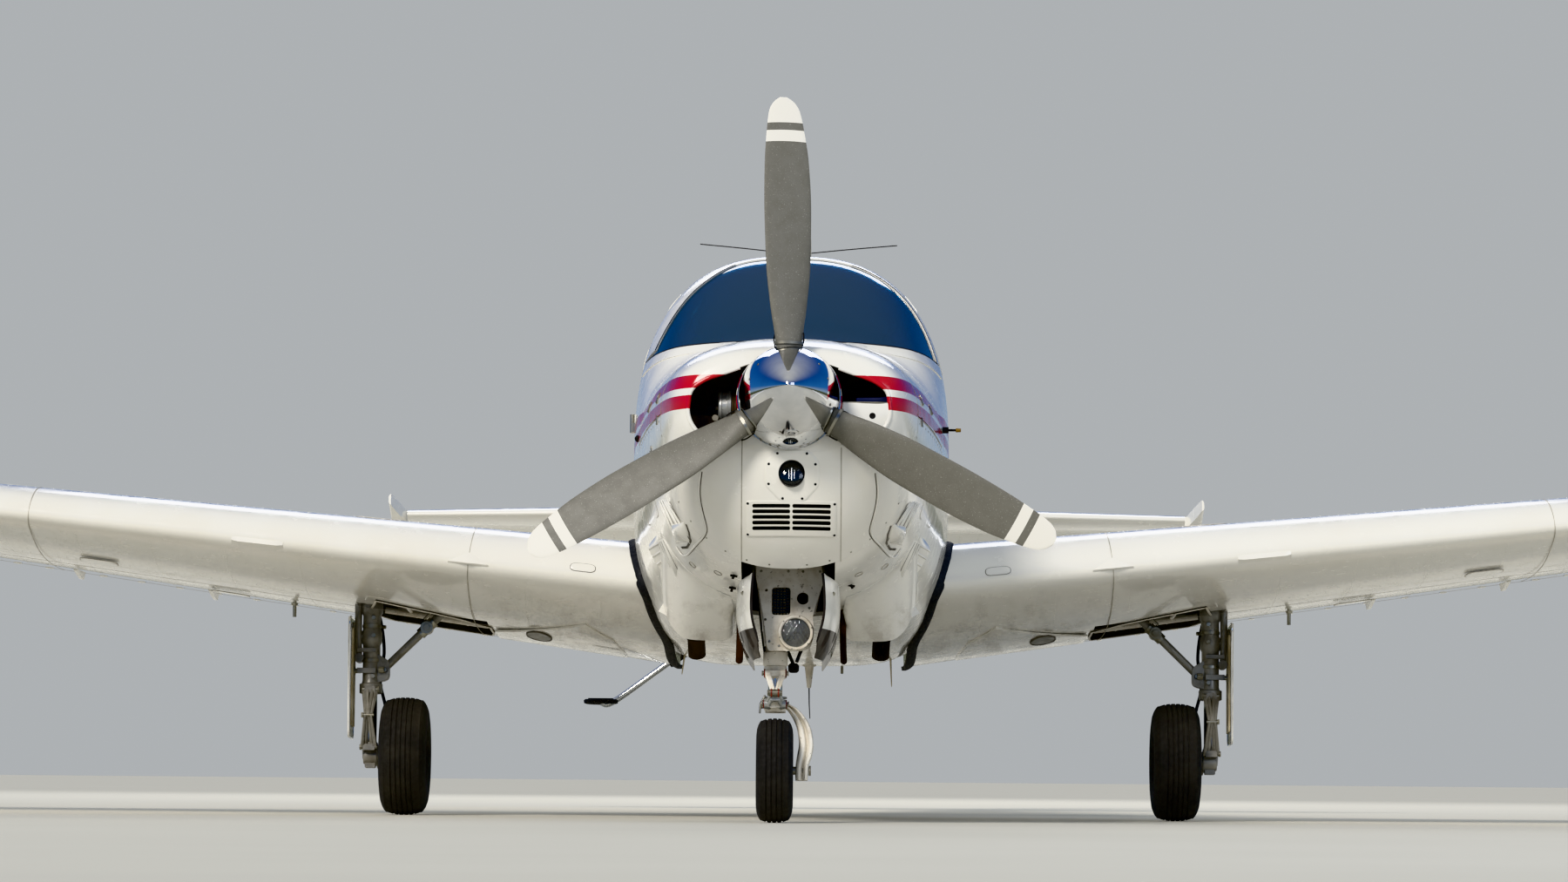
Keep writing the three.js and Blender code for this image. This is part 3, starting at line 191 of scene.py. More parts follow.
def lathe(profile, axis="y", segments=64):
    # profile of (along, radius); points on the axis are drawn as a tiny ring
    rings = []
    for along, r in profile:
        r = max(r, 1e-4)
        ring = [(r * math.cos(a), r * math.sin(a)) for a in np.linspace(0, 2 * math.pi, segments, endpoint=False)]
        put = {"x": lambda u, v: (along, u, v), "y": lambda u, v: (u, along, v), "z": lambda u, v: (u, v, along)}[axis]
        rings.append([put(u, v) for u, v in ring])
    return loft(rings)


def spinLoop(profile, axis="x", segments=96):
    # a closed profile that stays off the axis, such as a tyre's section
    v, f = lathe(profile, axis, segments)
    n = segments
    last = (len(profile) - 1) * n
    f = f[:-2] + [(last + i, last + (i + 1) % n, (i + 1) % n, i) for i in range(n)]
    return v, f


def cleaned(shape, weld=1e-6):
    mesh = bpy.data.meshes.new("work")
    mesh.from_pydata([tuple(v) for v in shape[0]], [], shape[1])
    bm = bmesh.new()
    bm.from_mesh(mesh)
    bmesh.ops.remove_doubles(bm, verts=bm.verts, dist=weld)
    bmesh.ops.recalc_face_normals(bm, faces=bm.faces)
    bm.to_mesh(mesh)
    bm.free()
    return mesh


def shapeOf(mesh):
    co = np.zeros(len(mesh.vertices) * 3)
    mesh.vertices.foreach_get("co", co)
    return co.reshape(-1, 3), [tuple(p.vertices) for p in mesh.polygons]


def carved(base, cutters, operation="DIFFERENCE"):
    # each cutter is taken from the base, met with it or joined to it, in turn
    made = []
    for part in [base, *cutters]:
        obj = bpy.data.objects.new("work", cleaned(part))
        bpy.context.scene.collection.objects.link(obj)
        made.append(obj)
    for solver in ("MANIFOLD", "EXACT"):
        made[0].modifiers.clear()
        for cutter in made[1:]:
            step = made[0].modifiers.new("cut", "BOOLEAN")
            step.operation, step.solver, step.object = operation, solver, cutter
        graph = bpy.context.evaluated_depsgraph_get()
        result = bpy.data.meshes.new_from_object(made[0].evaluated_get(graph))
        if len(result.polygons):
            break
    shape = shapeOf(result)
    for obj in made:
        mesh = obj.data
        bpy.data.objects.remove(obj)
        bpy.data.meshes.remove(mesh)
    bpy.data.meshes.remove(result)
    return shape


def addPiece(name, parts, body="airframe", replaces=(), smooth=38, bevel=0, segments=2):
    # parts is a list of (shape, material), drawn level
    verts, faces, chosen, materials = [], [], [], []
    start = 0
    for shape, material in parts:
        if material not in materials:
            materials.append(material)
        verts.append(np.asarray(shape[0], float).reshape(-1, 3))
        faces += [tuple(i + start for i in f) for f in shape[1]]
        chosen += [materials.index(material)] * len(shape[1])
        start += len(shape[0])
    m = np.array(toGround)
    verts = np.concatenate(verts) @ m[:3, :3].T + m[:3, 3]
    mesh = bpy.data.meshes.new(name)
    mesh.from_pydata([tuple(v) for v in verts], [], faces)
    mesh.polygons.foreach_set("material_index", chosen)
    for material in materials:
        mesh.materials.append(material)
    bm = bmesh.new()
    bm.from_mesh(mesh)
    bmesh.ops.remove_doubles(bm, verts=bm.verts, dist=1e-6)
    bmesh.ops.dissolve_degenerate(bm, dist=1e-6, edges=bm.edges)
    bmesh.ops.recalc_face_normals(bm, faces=bm.faces)
    bm.to_mesh(mesh)
    bm.free()
    mesh.polygons.foreach_set("use_smooth", [True] * len(mesh.polygons))
    mesh.set_sharp_from_angle(angle=math.radians(smooth))
    obj = bpy.data.objects.new(name, mesh)
    bpy.context.scene.collection.objects.link(obj)
    if bevel:
        edge = obj.modifiers.new("edges", "BEVEL")
        edge.width, edge.segments, edge.limit_method = bevel, segments, "ANGLE"
        edge.angle_limit = math.radians(38)
        edge.harden_normals = True
    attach(obj, body)
    if replaces:
        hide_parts(*replaces)
    return obj


# materials


def linear(hexColor):
    rgb = [int(hexColor[i : i + 2], 16) / 255 for i in (1, 3, 5)]
    return (*[c / 12.92 if c <= 0.04045 else ((c + 0.055) / 1.055) ** 2.4 for c in rgb], 1)


def addNode(tree, kind, inputs=None, **settings):
    # inputs maps a socket's name or number to a value or to another node's output
    node = tree.nodes.new(kind if "Node" in kind else "ShaderNode" + kind)
    for key, value in settings.items():
        setattr(node, key, value)
    for key, value in (inputs or {}).items():
        if isinstance(value, bpy.types.NodeSocket):
            tree.links.new(value, node.inputs[key])
        else:
            node.inputs[key].default_value = value
    return node


def newMaterial(name, **sockets):
    # a bare Principled surface; sockets are its own constant values
    material = bpy.data.materials.new(name)
    material.use_nodes = True
    tree = material.node_tree
    shader = tree.nodes["Principled BSDF"]
    for key, value in sockets.items():
        shader.inputs[key.replace("_", " ")].default_value = value
    place = addNode(tree, "TexCoord").outputs["Object"]
    return material, tree, shader, place


def blendColors(tree, factor, a, b):
    mix = addNode(tree, "Mix", data_type="RGBA")
    for key, value in ((0, factor), (6, a), (7, b)):
        if isinstance(value, bpy.types.NodeSocket):
            tree.links.new(value, mix.inputs[key])
        else:
            mix.inputs[key].default_value = value
    return mix.outputs[2]


def noise(tree, place, scale, detail=4, rough=0.55, stretch=None):
    if stretch:
        place = addNode(tree, "Mapping", {"Vector": place, "Scale": stretch}).outputs[0]
    return addNode(tree, "TexNoise", {"Vector": place, "Scale": scale, "Detail": detail, "Roughness": rough}).outputs[0]


def between(tree, value, low, high, outLow=0.0, outHigh=1.0, smooth=True):
    kind = "SMOOTHSTEP" if smooth else "LINEAR"
    ends = {"Value": value, "From Min": low, "From Max": high, "To Min": outLow, "To Max": outHigh}
    return addNode(tree, "MapRange", ends, interpolation_type=kind).outputs[0]


def calc(tree, operation, a, b=0.0):
    return addNode(tree, "Math", {0: a, 1: b}, operation=operation).outputs[0]


def addBump(tree, shader, height, distance, strength=0.5):
    bump = addNode(tree, "Bump", {"Height": height, "Distance": distance, "Strength": strength})
    tree.links.new(bump.outputs[0], shader.inputs["Normal"])


def levelPlace(tree, place):
    # the surface's own coordinates turned back to the level drawing
    turned = Matrix.Rotation(parkedPitch, 3, "X") @ hubPoint
    spots = {"Vector": place, "Location": -turned, "Rotation": (parkedPitch, 0, 0)}
    node = addNode(tree, "Mapping", spots)
    return addNode(tree, "SeparateXYZ", {0: node.outputs[0]}).outputs


paint = {
    "white": "#e9e7e0", "shade": "#dcd6c8", "grime": "#6d5f49", "primer": "#2a2119", "red": "#b3121c",
    "redWorn": "#8e0f18",
    "roughness": (0.14, 0.3), "orangePeel": 0.0012,
    # the two red stripes: half the gap plus half a stripe, and half a stripe's width
    "stripeOut": 0.0345, "stripeHalf": 0.0225,
}


def makePaint(name, stripes=False, grimeBelow=-0.5, grimeStrength=0.55, primedBelow=None):
    # two-pack polyurethane enamel, sprayed over riveted aluminium: a hard gloss, faintly uneven,
    # chalky and oil-streaked underneath
    material, tree, shader, place = newMaterial(name, Coat_Weight=0.5, Coat_Roughness=0.05, IOR=1.5)
    x, y, z = levelPlace(tree, place)
    patches = noise(tree, place, 1.7, 5, 0.6)
    color = blendColors(
        tree, between(tree, patches, 0.42, 0.68, 0, 0.35), linear(paint["white"]), linear(paint["shade"])
    )
    # streaks of oil and exhaust run aft along the underside; 40 mm wide and drawn out along y
    streaks = noise(tree, place, 9, 6, 0.65, (1.6, 0.18, 1.6))
    low = between(tree, z, grimeBelow, grimeBelow - 0.16)
    aft = between(tree, y, 0.5, 1.6, 0.25, 1)
    dirt = calc(
        tree, "MULTIPLY", calc(tree, "MULTIPLY", low, aft), between(tree, streaks, 0.42, 0.72, 0, grimeStrength)
    )
    color = blendColors(tree, dirt, color, linear(paint["grime"]))
    if stripes:
        rise = calc(
            tree, "ADD", between(tree, y, 0.1, 1.3, 0.0215, 0.052, False), between(tree, y, 1.3, 7.4, 0, 0.1, False)
        )
        off = calc(tree, "ABSOLUTE", calc(tree, "SUBTRACT", z, rise))
        edge = calc(tree, "ABSOLUTE", calc(tree, "SUBTRACT", off, paint["stripeOut"]))
        inStripe = calc(tree, "LESS_THAN", edge, paint["stripeHalf"])
        outboard = calc(tree, "GREATER_THAN", calc(tree, "ABSOLUTE", x), 0.02)
        mask = calc(tree, "MULTIPLY", inStripe, outboard)
        red = blendColors(
            tree, between(tree, patches, 0.4, 0.7, 0, 0.25), linear(paint["red"]), linear(paint["redWorn"])
        )
        color = blendColors(tree, mask, color, red)
    if primedBelow is not None:
        primed = calc(tree, "LESS_THAN", z, primedBelow)
        color = blendColors(tree, primed, color, linear(paint["primer"]))
        dirt = calc(tree, "MAXIMUM", dirt, primed)
    tree.links.new(color, shader.inputs["Base Color"])
    rough = between(tree, noise(tree, place, 14, 4), 0.3, 0.75, *paint["roughness"])
    tree.links.new(calc(tree, "ADD", rough, calc(tree, "MULTIPLY", dirt, 0.4)), shader.inputs["Roughness"])
    # sheet between the rivets is never quite flat: waves of about 150 mm
    waves = noise(tree, place, 6, 2, 0.4)
    addBump(tree, shader, waves, paint["orangePeel"], 0.35)
    return material


fuselagePaint = makePaint("sprayed_enamel_striped", stripes=True)
wingPaint = makePaint("sprayed_enamel_wing", grimeBelow=-0.44, grimeStrength=0.35)
tailPaint = makePaint("sprayed_enamel_tail", grimeBelow=-5)
noseDoorPaint = makePaint("sprayed_enamel_nose_door", grimeStrength=0.3, primedBelow=-0.742)


def makeGearPaint(name, base, worn, metal=0.0):
    # brushed-on epoxy over steel castings, chipped and greasy in random patches
    material, tree, shader, place = newMaterial(name, Metallic=metal, IOR=1.5)
    chips = between(tree, noise(tree, place, 55, 6, 0.7), 0.6, 0.66)
    grease = between(tree, noise(tree, place, 11, 5, 0.6), 0.45, 0.7, 0, 0.6)
    color = blendColors(tree, grease, linear(base), linear(worn))
    color = blendColors(tree, calc(tree, "MULTIPLY", chips, 0.7), color, linear("#5b5348"))
    tree.links.new(color, shader.inputs["Base Color"])
    tree.links.new(between(tree, noise(tree, place, 30, 4), 0.3, 0.7, 0.3, 0.55), shader.inputs["Roughness"])
    addBump(tree, shader, noise(tree, place, 160, 3), 0.0006, 0.4)
    return material


gearWhite = makeGearPaint("brushed_epoxy_white", "#e6e1d6", "#b8ab94")
gearGrey = makeGearPaint("cast_alloy_painted_grey", "#8d8b84", "#5c564a", 0.35)
wheelAlloy = makeGearPaint("cast_magnesium_wheel", "#b4b6b3", "#7b766b", 0.6)


def makeMetal(name, color, rough, swirl=0.0, dark=None):
    # metal with fine polishing lines and finger-wide cloudy patches
    material, tree, shader, place = newMaterial(name, Metallic=1.0)
    cloud = between(tree, noise(tree, place, 8, 4), 0.35, 0.7)
    tree.links.new(blendColors(tree, cloud, linear(color), linear(dark or color)), shader.inputs["Base Color"])
    tree.links.new(between(tree, cloud, 0, 1, rough, rough * 1.8 + 0.01), shader.inputs["Roughness"])
    if swirl:
        addBump(tree, shader, noise(tree, place, 240, 2, 0.5, (1, 6, 1)), 0.0004, swirl)
    return material


polishedAluminium = makeMetal("polished_aluminium", "#e6e7e8", 0.035, 0.05, "#d3d5d8")
chromedSteel = makeMetal("chromed_steel", "#e2e4e6", 0.06, 0.0, "#cfd2d4")
zincSteel = makeMetal("zinc_plated_steel", "#a9a79c", 0.32, 0.3, "#837f72")
brassFitting = makeMetal("brass_fitting", "#b08d4a", 0.35, 0.2, "#7c6234")
castCrankcase = makeMetal("sand_cast_aluminium", "#6c6b67", 0.5, 0.8, "#4c4a46")
heatSteel = makeMetal("heat_tinted_steel", "#3c3129", 0.55, 0.5, "#1d1815")
heatBrown = makeMetal("rusted_breather_tube", "#4a2e22", 0.6, 0.5, "#241812")


def makeRubber(name, color, dust, scale=60, rough=0.75):
    # vulcanised rubber: dull black that greys where it wears and holds dust
    material, tree, shader, place = newMaterial(name, IOR=1.52)
    worn = between(tree, noise(tree, place, 5, 6, 0.65), 0.4, 0.7, 0, 0.55)
    tree.links.new(blendColors(tree, worn, linear(color), linear(dust)), shader.inputs["Base Color"])
    tree.links.new(between(tree, noise(tree, place, scale, 4), 0.3, 0.7, rough, 0.95), shader.inputs["Roughness"])
    addBump(tree, shader, noise(tree, place, scale * 6, 3), 0.0005, 0.6)
    return material


tyreRubber = makeRubber("tyre_rubber", "#1d1c1a", "#3a3731")
sealRubber = makeRubber("extruded_rubber_seal", "#15161a", "#2a2c31", 90, 0.55)
walkGrip = makeRubber("grit_walkway", "#26262a", "#3d3c3b", 220, 0.9)


def makePlain(name, color, second, rough, scale, bumpDepth, metal=0.0):
    # a moulded or painted surface whose tone and grain both wander
    material, tree, shader, place = newMaterial(name, Metallic=metal, IOR=1.5)
    tone = between(tree, noise(tree, place, scale * 0.2, 4), 0.35, 0.7)
    tree.links.new(blendColors(tree, tone, linear(color), linear(second)), shader.inputs["Base Color"])
    tree.links.new(
        between(tree, noise(tree, place, scale, 3), 0.3, 0.7, rough * 0.8, rough * 1.2), shader.inputs["Roughness"]
    )
    addBump(tree, shader, noise(tree, place, scale * 3, 3, 0.5), bumpDepth, 0.5)
    return material


# near-black: the real colour of small black fittings, and painted shade where it lines mouths, gaps, holes and recesses
blackFinishAndPaintedShade = makePlain("matt_black_primer", "#100f0e", "#1c1a17", 0.8, 40, 0.001)
blackAlloy = makePlain("black_anodised_aluminium", "#1b1c1e", "#262729", 0.4, 120, 0.0003, 0.5)
panelPlastic = makePlain("moulded_abs_charcoal", "#232527", "#2f3133", 0.6, 500, 0.0006)
creamBaffle = makePlain("cream_painted_baffle", "#d9cfb4", "#b5a786", 0.45, 50, 0.0008)
carpetPile = makePlain("nylon_loop_carpet", "#45433f", "#5b5852", 0.95, 900, 0.002)
headliner = makePlain("wool_headliner", "#b9b2a2", "#a59d8c", 0.9, 700, 0.001)
sparkLead = makePlain("ignition_lead_silicone", "#30261c", "#4a3c2b", 0.6, 200, 0.0003)
seamGrey = makePlain("skin_joint_shadow", "#b3aea2", "#8f8a7e", 0.6, 60, 0.0002)
gapShadow = makePlain("panel_gap_shadow", "#6f6b62", "#4d4a43", 0.7, 60, 0.0002)
brownPrimer = makePlain("zinc_chromate_primer_brown", "#1a130d", "#0d0a07", 0.7, 30, 0.0006)
greaseRed = makePlain("hydraulic_grease_red", "#7d2a1b", "#4b1d15", 0.35, 90, 0.0008)
wireWhip = makePlain("lacquered_spring_wire", "#1a1a1b", "#2b2b2b", 0.4, 300, 0.0002)


# radii at which the blades' white tip band starts and its grey line starts and ends
bladeBands = {"white": 0.8565, "grey": (0.8945, 0.92)}


def makeBladePaint(name, face):
    # matt grey erosion paint with white tip bands and pale specks where grit has sanded it to bare metal
    material, tree, shader, place = newMaterial(name, IOR=1.5)
    x, _, z = levelPlace(tree, place)
    radius = calc(tree, "SQRT", calc(tree, "ADD", calc(tree, "MULTIPLY", x, x), calc(tree, "MULTIPLY", z, z)))
    grain = noise(tree, place, 25, 5, 0.6)
    color = blendColors(tree, between(tree, grain, 0.35, 0.7), linear(face[0]), linear(face[1]))
    tip = calc(tree, "GREATER_THAN", radius, bladeBands["white"])
    grey = calc(
        tree, "MULTIPLY",
        *[calc(tree, kind, radius, at) for kind, at in zip(("GREATER_THAN", "LESS_THAN"), bladeBands["grey"])]
    )
    white = calc(tree, "SUBTRACT", tip, grey)
    color = blendColors(tree, white, color, linear("#e7e4dc"))
    specks = between(tree, noise(tree, place, 320, 2), 0.66, 0.7, 0, 0.5)
    color = blendColors(tree, specks, color, linear("#c9c7c0"))
    tree.links.new(color, shader.inputs["Base Color"])
    tree.links.new(between(tree, grain, 0.3, 0.7, 0.5, 0.56), shader.inputs["Roughness"])
    addBump(tree, shader, noise(tree, place, 500, 2), 0.0003, 0.4)
    return material


bladeGrey = makeBladePaint("erosion_paint_warm_grey", ("#6f6d65", "#6a6860"))
bladeBlack = makeBladePaint("erosion_paint_black", ("#222223", "#2c2b2a"))


def makeGlass(name, color, rough=0.015, through=1.0):
    # cast acrylic tinted right through, with hair-fine polishing scratches
    material, tree, shader, place = newMaterial(name, Base_Color=linear(color), Transmission_Weight=through, IOR=1.49)
    scratch = noise(tree, place, 300, 2, 0.5, (1, 0.1, 1))
    tree.links.new(between(tree, scratch, 0.55, 0.75, rough, rough * 4), shader.inputs["Roughness"])
    return material


# the glass is really tinted, but the 18 per cent of it that is not clear is lit like paint, a painted reflection of the
# blue sky
tintedAcrylicAndPaintedSky = makeGlass("tinted_acrylic", "#0f6396", through=0.82)
clearLens = makeGlass("pressed_lens_glass", "#f4f6f6")
redLens = makeGlass("red_lens_glass", "#d3141b", 0.05)
greenLens = makeGlass("green_lens_glass", "#0c9a4c", 0.05)
lampMirror = makeMetal("silvered_reflector", "#f2f2f0", 0.08)


def makeLeather(name, color, crease):
    # aniline-dyed hide: 2 mm pebble grain, paler where it is rubbed
    material, tree, shader, place = newMaterial(name, IOR=1.48, Sheen_Weight=0.15)
    cells = addNode(tree, "TexVoronoi", {"Vector": place, "Scale": 420.0}).outputs["Distance"]
    rubbed = between(tree, noise(tree, place, 6, 4), 0.4, 0.7)
    tree.links.new(blendColors(tree, rubbed, linear(color), linear(crease)), shader.inputs["Base Color"])
    tree.links.new(between(tree, rubbed, 0, 1, 0.55, 0.42), shader.inputs["Roughness"])
    addBump(tree, shader, cells, 0.0008, 0.5)
    return material


seatLeather = makeLeather("grained_seat_leather", "#8a8175", "#a0968a")
print("stage: materials")

# fuselage skins

# aft of propeller, top, bottom, half width, height of the widest point, top exponent, bottom exponent
hullSections = np.array([
    [0.062, 0.12, -0.185, 0.3, -0.01, 2.5, 2.2], [0.072, 0.15, -0.23, 0.34, -0.01, 2.5, 2.2],
    [0.1, 0.173, -0.3, 0.368, -0.01, 2.5, 2.2], [0.15, 0.192, -0.385, 0.394, -0.015, 2.5, 2.2],
    [0.25, 0.217, -0.49, 0.42, -0.02, 2.45, 2.25], [0.4, 0.243, -0.575, 0.446, -0.03, 2.4, 2.3],
    [0.7, 0.282, -0.61, 0.486, -0.04, 2.35, 2.4], [1.0, 0.315, -0.635, 0.515, -0.05, 2.35, 2.5],
    [1.27, 0.346, -0.655, 0.536, -0.05, 2.4, 2.65], [1.43, 0.37, -0.662, 0.547, -0.05, 2.45, 2.8],
    [1.6, 0.49, -0.668, 0.56, -0.04, 2.5, 3.0], [1.8, 0.628, -0.673, 0.569, -0.02, 2.55, 3.3],
    [2.0, 0.738, -0.677, 0.577, 0.0, 2.6, 3.7], [2.2, 0.786, -0.679, 0.581, 0.0, 2.6, 4.1],
    [2.45, 0.8, -0.68, 0.583, 0.0, 2.6, 4.5], [2.9, 0.788, -0.676, 0.579, 0.0, 2.6, 4.8],
    [3.3, 0.752, -0.66, 0.565, 0.0, 2.55, 4.8], [3.8, 0.676, -0.622, 0.53, 0.01, 2.45, 4.6],
    [4.3, 0.588, -0.562, 0.468, 0.03, 2.35, 4.0], [5.0, 0.49, -0.452, 0.365, 0.06, 2.2, 3.2],
    [6.0, 0.395, -0.268, 0.242, 0.1, 2.1, 2.6], [7.0, 0.335, -0.075, 0.138, 0.14, 2.0, 2.2],
    [7.5, 0.29, 0.025, 0.082, 0.16, 2.0, 2.0], [7.72, 0.235, 0.09, 0.05, 0.165, 2.0, 2.0],
    [7.8, 0.19, 0.14, 0.018, 0.165, 2.0, 2.0],
])


def smoothTable(table, y):
    # a monotone cubic through each column of a table whose first column rises
    x, v = table[:, 0], table[:, 1:]
    h = np.diff(x)
    slope = np.diff(v, axis=0) / h[:, None]
    inner = slope[:-1] * slope[1:]
    tangent = np.zeros_like(v)
    with np.errstate(all="ignore"):
        tangent[1:-1] = np.where(inner > 0, 2 * inner / (slope[:-1] + slope[1:]), 0)
    tangent[0], tangent[-1] = slope[0], slope[-1]
    i = int(np.clip(np.searchsorted(x, y, "right") - 1, 0, len(h) - 1))
    t = min(max((y - x[i]) / h[i], 0), 1)
    a = (2 * t**3 - 3 * t**2 + 1) * v[i] + (t**3 - 2 * t**2 + t) * h[i] * tangent[i]
    return a + (3 * t**2 - 2 * t**3) * v[i + 1] + (t**3 - t**2) * h[i] * tangent[i + 1]


quarterCount = 30


def hullRing(y, wall=0.0, count=quarterCount):
    # one section, its points spread evenly along the outline, from the top round by the left side
    top, bottom, half, widest, pTop, pBottom = smoothTable(hullSections, y)
    fine = np.linspace(0, math.pi / 2, 300)
    quarters = []
    for power, reach, sign in ((pTop, top - wall - widest, 1), (pBottom, widest - bottom - wall, -1)):
        x = np.sin(fine) ** (2 / power) * (half - wall)
        z = np.cos(fine) ** (2 / power) * reach
        run = np.concatenate([[0], np.cumsum(np.hypot(np.diff(x), np.diff(z)))])
        share = np.linspace(0, run[-1], count + 1)
        quarters.append((np.interp(share, run, x), widest + sign * np.interp(share, run, z)))
    (xa, za), (xb, zb) = quarters
    x = np.concatenate([xa, xb[::-1][1:], -xb[1:], -xa[::-1][1:-1]])
    z = np.concatenate([za, zb[::-1][1:], zb[1:], za[::-1][1:-1]])
    return np.stack([x, np.full_like(x, y), z], 1)


def hull(stations, wall=0.0):
    return loft([hullRing(y, wall) for y in stations])


def steps(low, high, size):
    return list(np.linspace(low, high, max(2, int(round((high - low) / size)) + 1)))


def hullShell(stations, wall):
    outer = [hullRing(y) for y in stations]
    inner = [hullRing(y, wall) for y in reversed(stations)]
    return loft(outer + inner, wrap=True)


def insideHull(x, y, z, wall=0.0):
    # under 1 inside the skin, over 1 outside
    top, bottom, half, widest, pTop, pBottom = smoothTable(hullSections, y)
    reach, power = (top - widest, pTop) if z >= widest else (widest - bottom, pBottom)
    return (abs(x) / (half - wall)) ** power + (abs(z - widest) / (reach - wall)) ** power


def skinNormal(p, e=1e-4):
    g = np.array([insideHull(*(np.array(p) + d)) - insideHull(*(np.array(p) - d)) for d in np.eye(3) * e])
    return g / (np.linalg.norm(g) + 1e-12)


def normalsOf(line):
    return [skinNormal(p) for p in line]


def sideSkin(y, z, side=1):
    top, bottom, half, widest, pTop, pBottom = smoothTable(hullSections, y)
    reach, power = (top - widest, pTop) if z >= widest else (widest - bottom, pBottom)
    return np.array([side * half * max(0, 1 - abs((z - widest) / reach) ** power) ** (1 / power), y, z])


def topSkin(x, y, up=1):
    top, bottom, half, widest, pTop, pBottom = smoothTable(hullSections, y)
    reach, power = (top - widest, pTop) if up > 0 else (bottom - widest, pBottom)
    return np.array([x, y, widest + reach * max(0, 1 - abs(x / half) ** power) ** (1 / power)])


def frontSkin(x, z):
    # how far aft the nose lies at a place seen from the front
    low, high = 0.0621, 1.2
    if insideHull(x, low, z) <= 1:
        return np.array([x, 0.062, z])
    for _ in range(30):
        mid = (low + high) / 2
        low, high = (mid, high) if insideHull(x, mid, z) > 1 else (low, mid)
    return np.array([x, high, z])


def ribbon(points, normals, width, lift=0.0006, thick=0.0012):
    # a flat strip laid on a surface along a path
    p, n = np.array(points, float), np.array(normals, float)
    tangent = np.gradient(p, axis=0)
    tangent /= np.linalg.norm(tangent, axis=1)[:, None] + 1e-12
    across = np.cross(tangent, n)
    across /= np.linalg.norm(across, axis=1)[:, None] + 1e-12
    corners = rect((-1, 1), (lift, lift - thick))
    return loft([[q + a * s * width / 2 + m * h for s, h in corners] for q, a, m in zip(p, across, n)])


def skinRibbon(points, width, **settings):
    return ribbon(points, normalsOf(points), width, **settings)


def bead(points, normals, radius, sink=0.4, sides=8):
    p, n = np.array(points, float), np.array(normals, float)
    radii = np.broadcast_to(np.asarray(radius, float), (len(p),))
    return sweep(p - n * radii[:, None] * sink, radii, sides)


windshieldLine = [(1.2, 0.384), (1.9, 0.345), (2.1, 0.84), (1.2, 0.84)]
roofLine = rect((1.85, 4.8), (0.31, 1.0))
cabinDoorLine = rounded(
    [(1.985, -0.185), (1.985, 0.335), (2.115, 0.66), (2.6, 0.672), (2.65, 0.3), (2.65, -0.1), (2.6, -0.185)], 0.05
)
cabinOpeningLine = rounded(
    [(1.979, -0.191), (1.979, 0.336), (2.111, 0.666), (2.632, 0.678), (2.666, 0.3), (2.658, -0.1), (2.603, -0.191)],
    0.05
)
baggageDoorLine = rounded([(4.05, -0.27), (4.05, 0.28), (4.52, 0.28), (4.52, -0.27)], 0.05)
windowLines = {
    "front": rounded([(2.05, 0.355), (2.155, 0.618), (2.54, 0.63), (2.575, 0.355)], 0.05),
    "middle": rounded([(2.735, 0.355), (2.725, 0.632), (3.17, 0.622), (3.225, 0.358)], 0.05),
    "rear": rounded([(3.3, 0.362), (3.27, 0.612), (3.6, 0.56), (3.93, 0.44), (3.93, 0.385), (3.88, 0.366)], 0.04),
}
inletLine = rounded(
    [
        (0.06, 0.15), (0.108, 0.125), (0.2, 0.09), (0.28, 0.064), (0.33, 0.03), (0.34, -0.06), (0.3, -0.125),
        (0.06, -0.125)
    ],
    0.04
)
shell = {
    "cowlWall": 0.014, "cabinWall": 0.03, "coneWall": 0.018, "glass": 0.008, "glassInset": 0.002, "seat": 0.0003,
    "run": 0.006, "end": 0.008
}
noseStations = [
    0.062, 0.063, 0.065, 0.068, 0.072, 0.078, 0.085, 0.093, 0.102, 0.113, 0.126, 0.14, 0.158, 0.178, 0.2, 0.225, 0.25,
    0.275, 0.3, 0.33
]
wide = 0.8  # past every side of the fuselage

def lined(shape, outside, inside, depth=0.97):
    # the same shell in finishes of its own: outer skin, inner wall, and the bare hinge knuckles that stand proud of it
    verts, faces = shape
    outer, inner, proud = [], [], []
    for f in faces:
        middle = np.mean([verts[i] for i in f], axis=0)
        where = insideHull(*middle)
        byHinge = middle[0] < -0.47 and abs(middle[2]) < 0.2
        (inner if where < depth else proud if where > 1.003 and byHinge else outer).append(f)
    return [((verts, outer), outside), ((verts, inner), inside), *([((verts, proud), zincSteel)] if proud else [])]


# nose bowl: two inlets with rolled lips, the grille's slots and the landing lamp's hole
noseFront = {
    "middle": 0.01, "seam": 0.165, "lamp": (0.0105, -0.249, 0.044),
    "slotRows": (-0.353, -0.423, 5), "slotHigh": 0.0118, "slots": ((-0.1198, 0.0062), (0.0138, 0.1418)),
    "grille": ((-0.141, 0.1605), (-0.449, -0.337)),
}
collar = bar((0, -0.1, 0), (0, 0.35, 0), 0.176, sides=96)
inletHoles = [carved(onSide(prism(inletLine, "y", -0.05, 0.3), side), [collar]) for side in (-1, 1)]
shaftHole = bar((0, -0.1, 0), (0, 0.35, 0), 0.051, sides=48)
slots = []
for z in np.linspace(*noseFront["slotRows"]):
    h = noseFront["slotHigh"] / 2
    slots += [prism(rounded(rect((x0, x1), (z - h, z + h)), h, 4), "y", -0.05, 0.3) for x0, x1 in noseFront["slots"]]
lampX, lampZ, lampR = noseFront["lamp"]
lampHole = bar((lampX, -0.1, lampZ), (lampX, 0.3, lampZ), lampR, sides=48)
bowl = carved(
    hull(noseStations),
    [hull([0.09, 0.1, 0.12, 0.16, 0.21, 0.27, 0.34, 0.4], shell["cowlWall"]), *inletHoles, shaftHole, lampHole, *slots]
)
lipPath = [frontSkin(x, z) for x, z in inletLine if math.hypot(x, z) > 0.176]
lip = sweep(np.array(lipPath) + [0, 0.003, 0], 0.0075, 10)
addPiece("nose_bowl_skin", [(bowl, fuselagePaint), (both(lip), fuselagePaint)], replaces=["nose_bowl"])

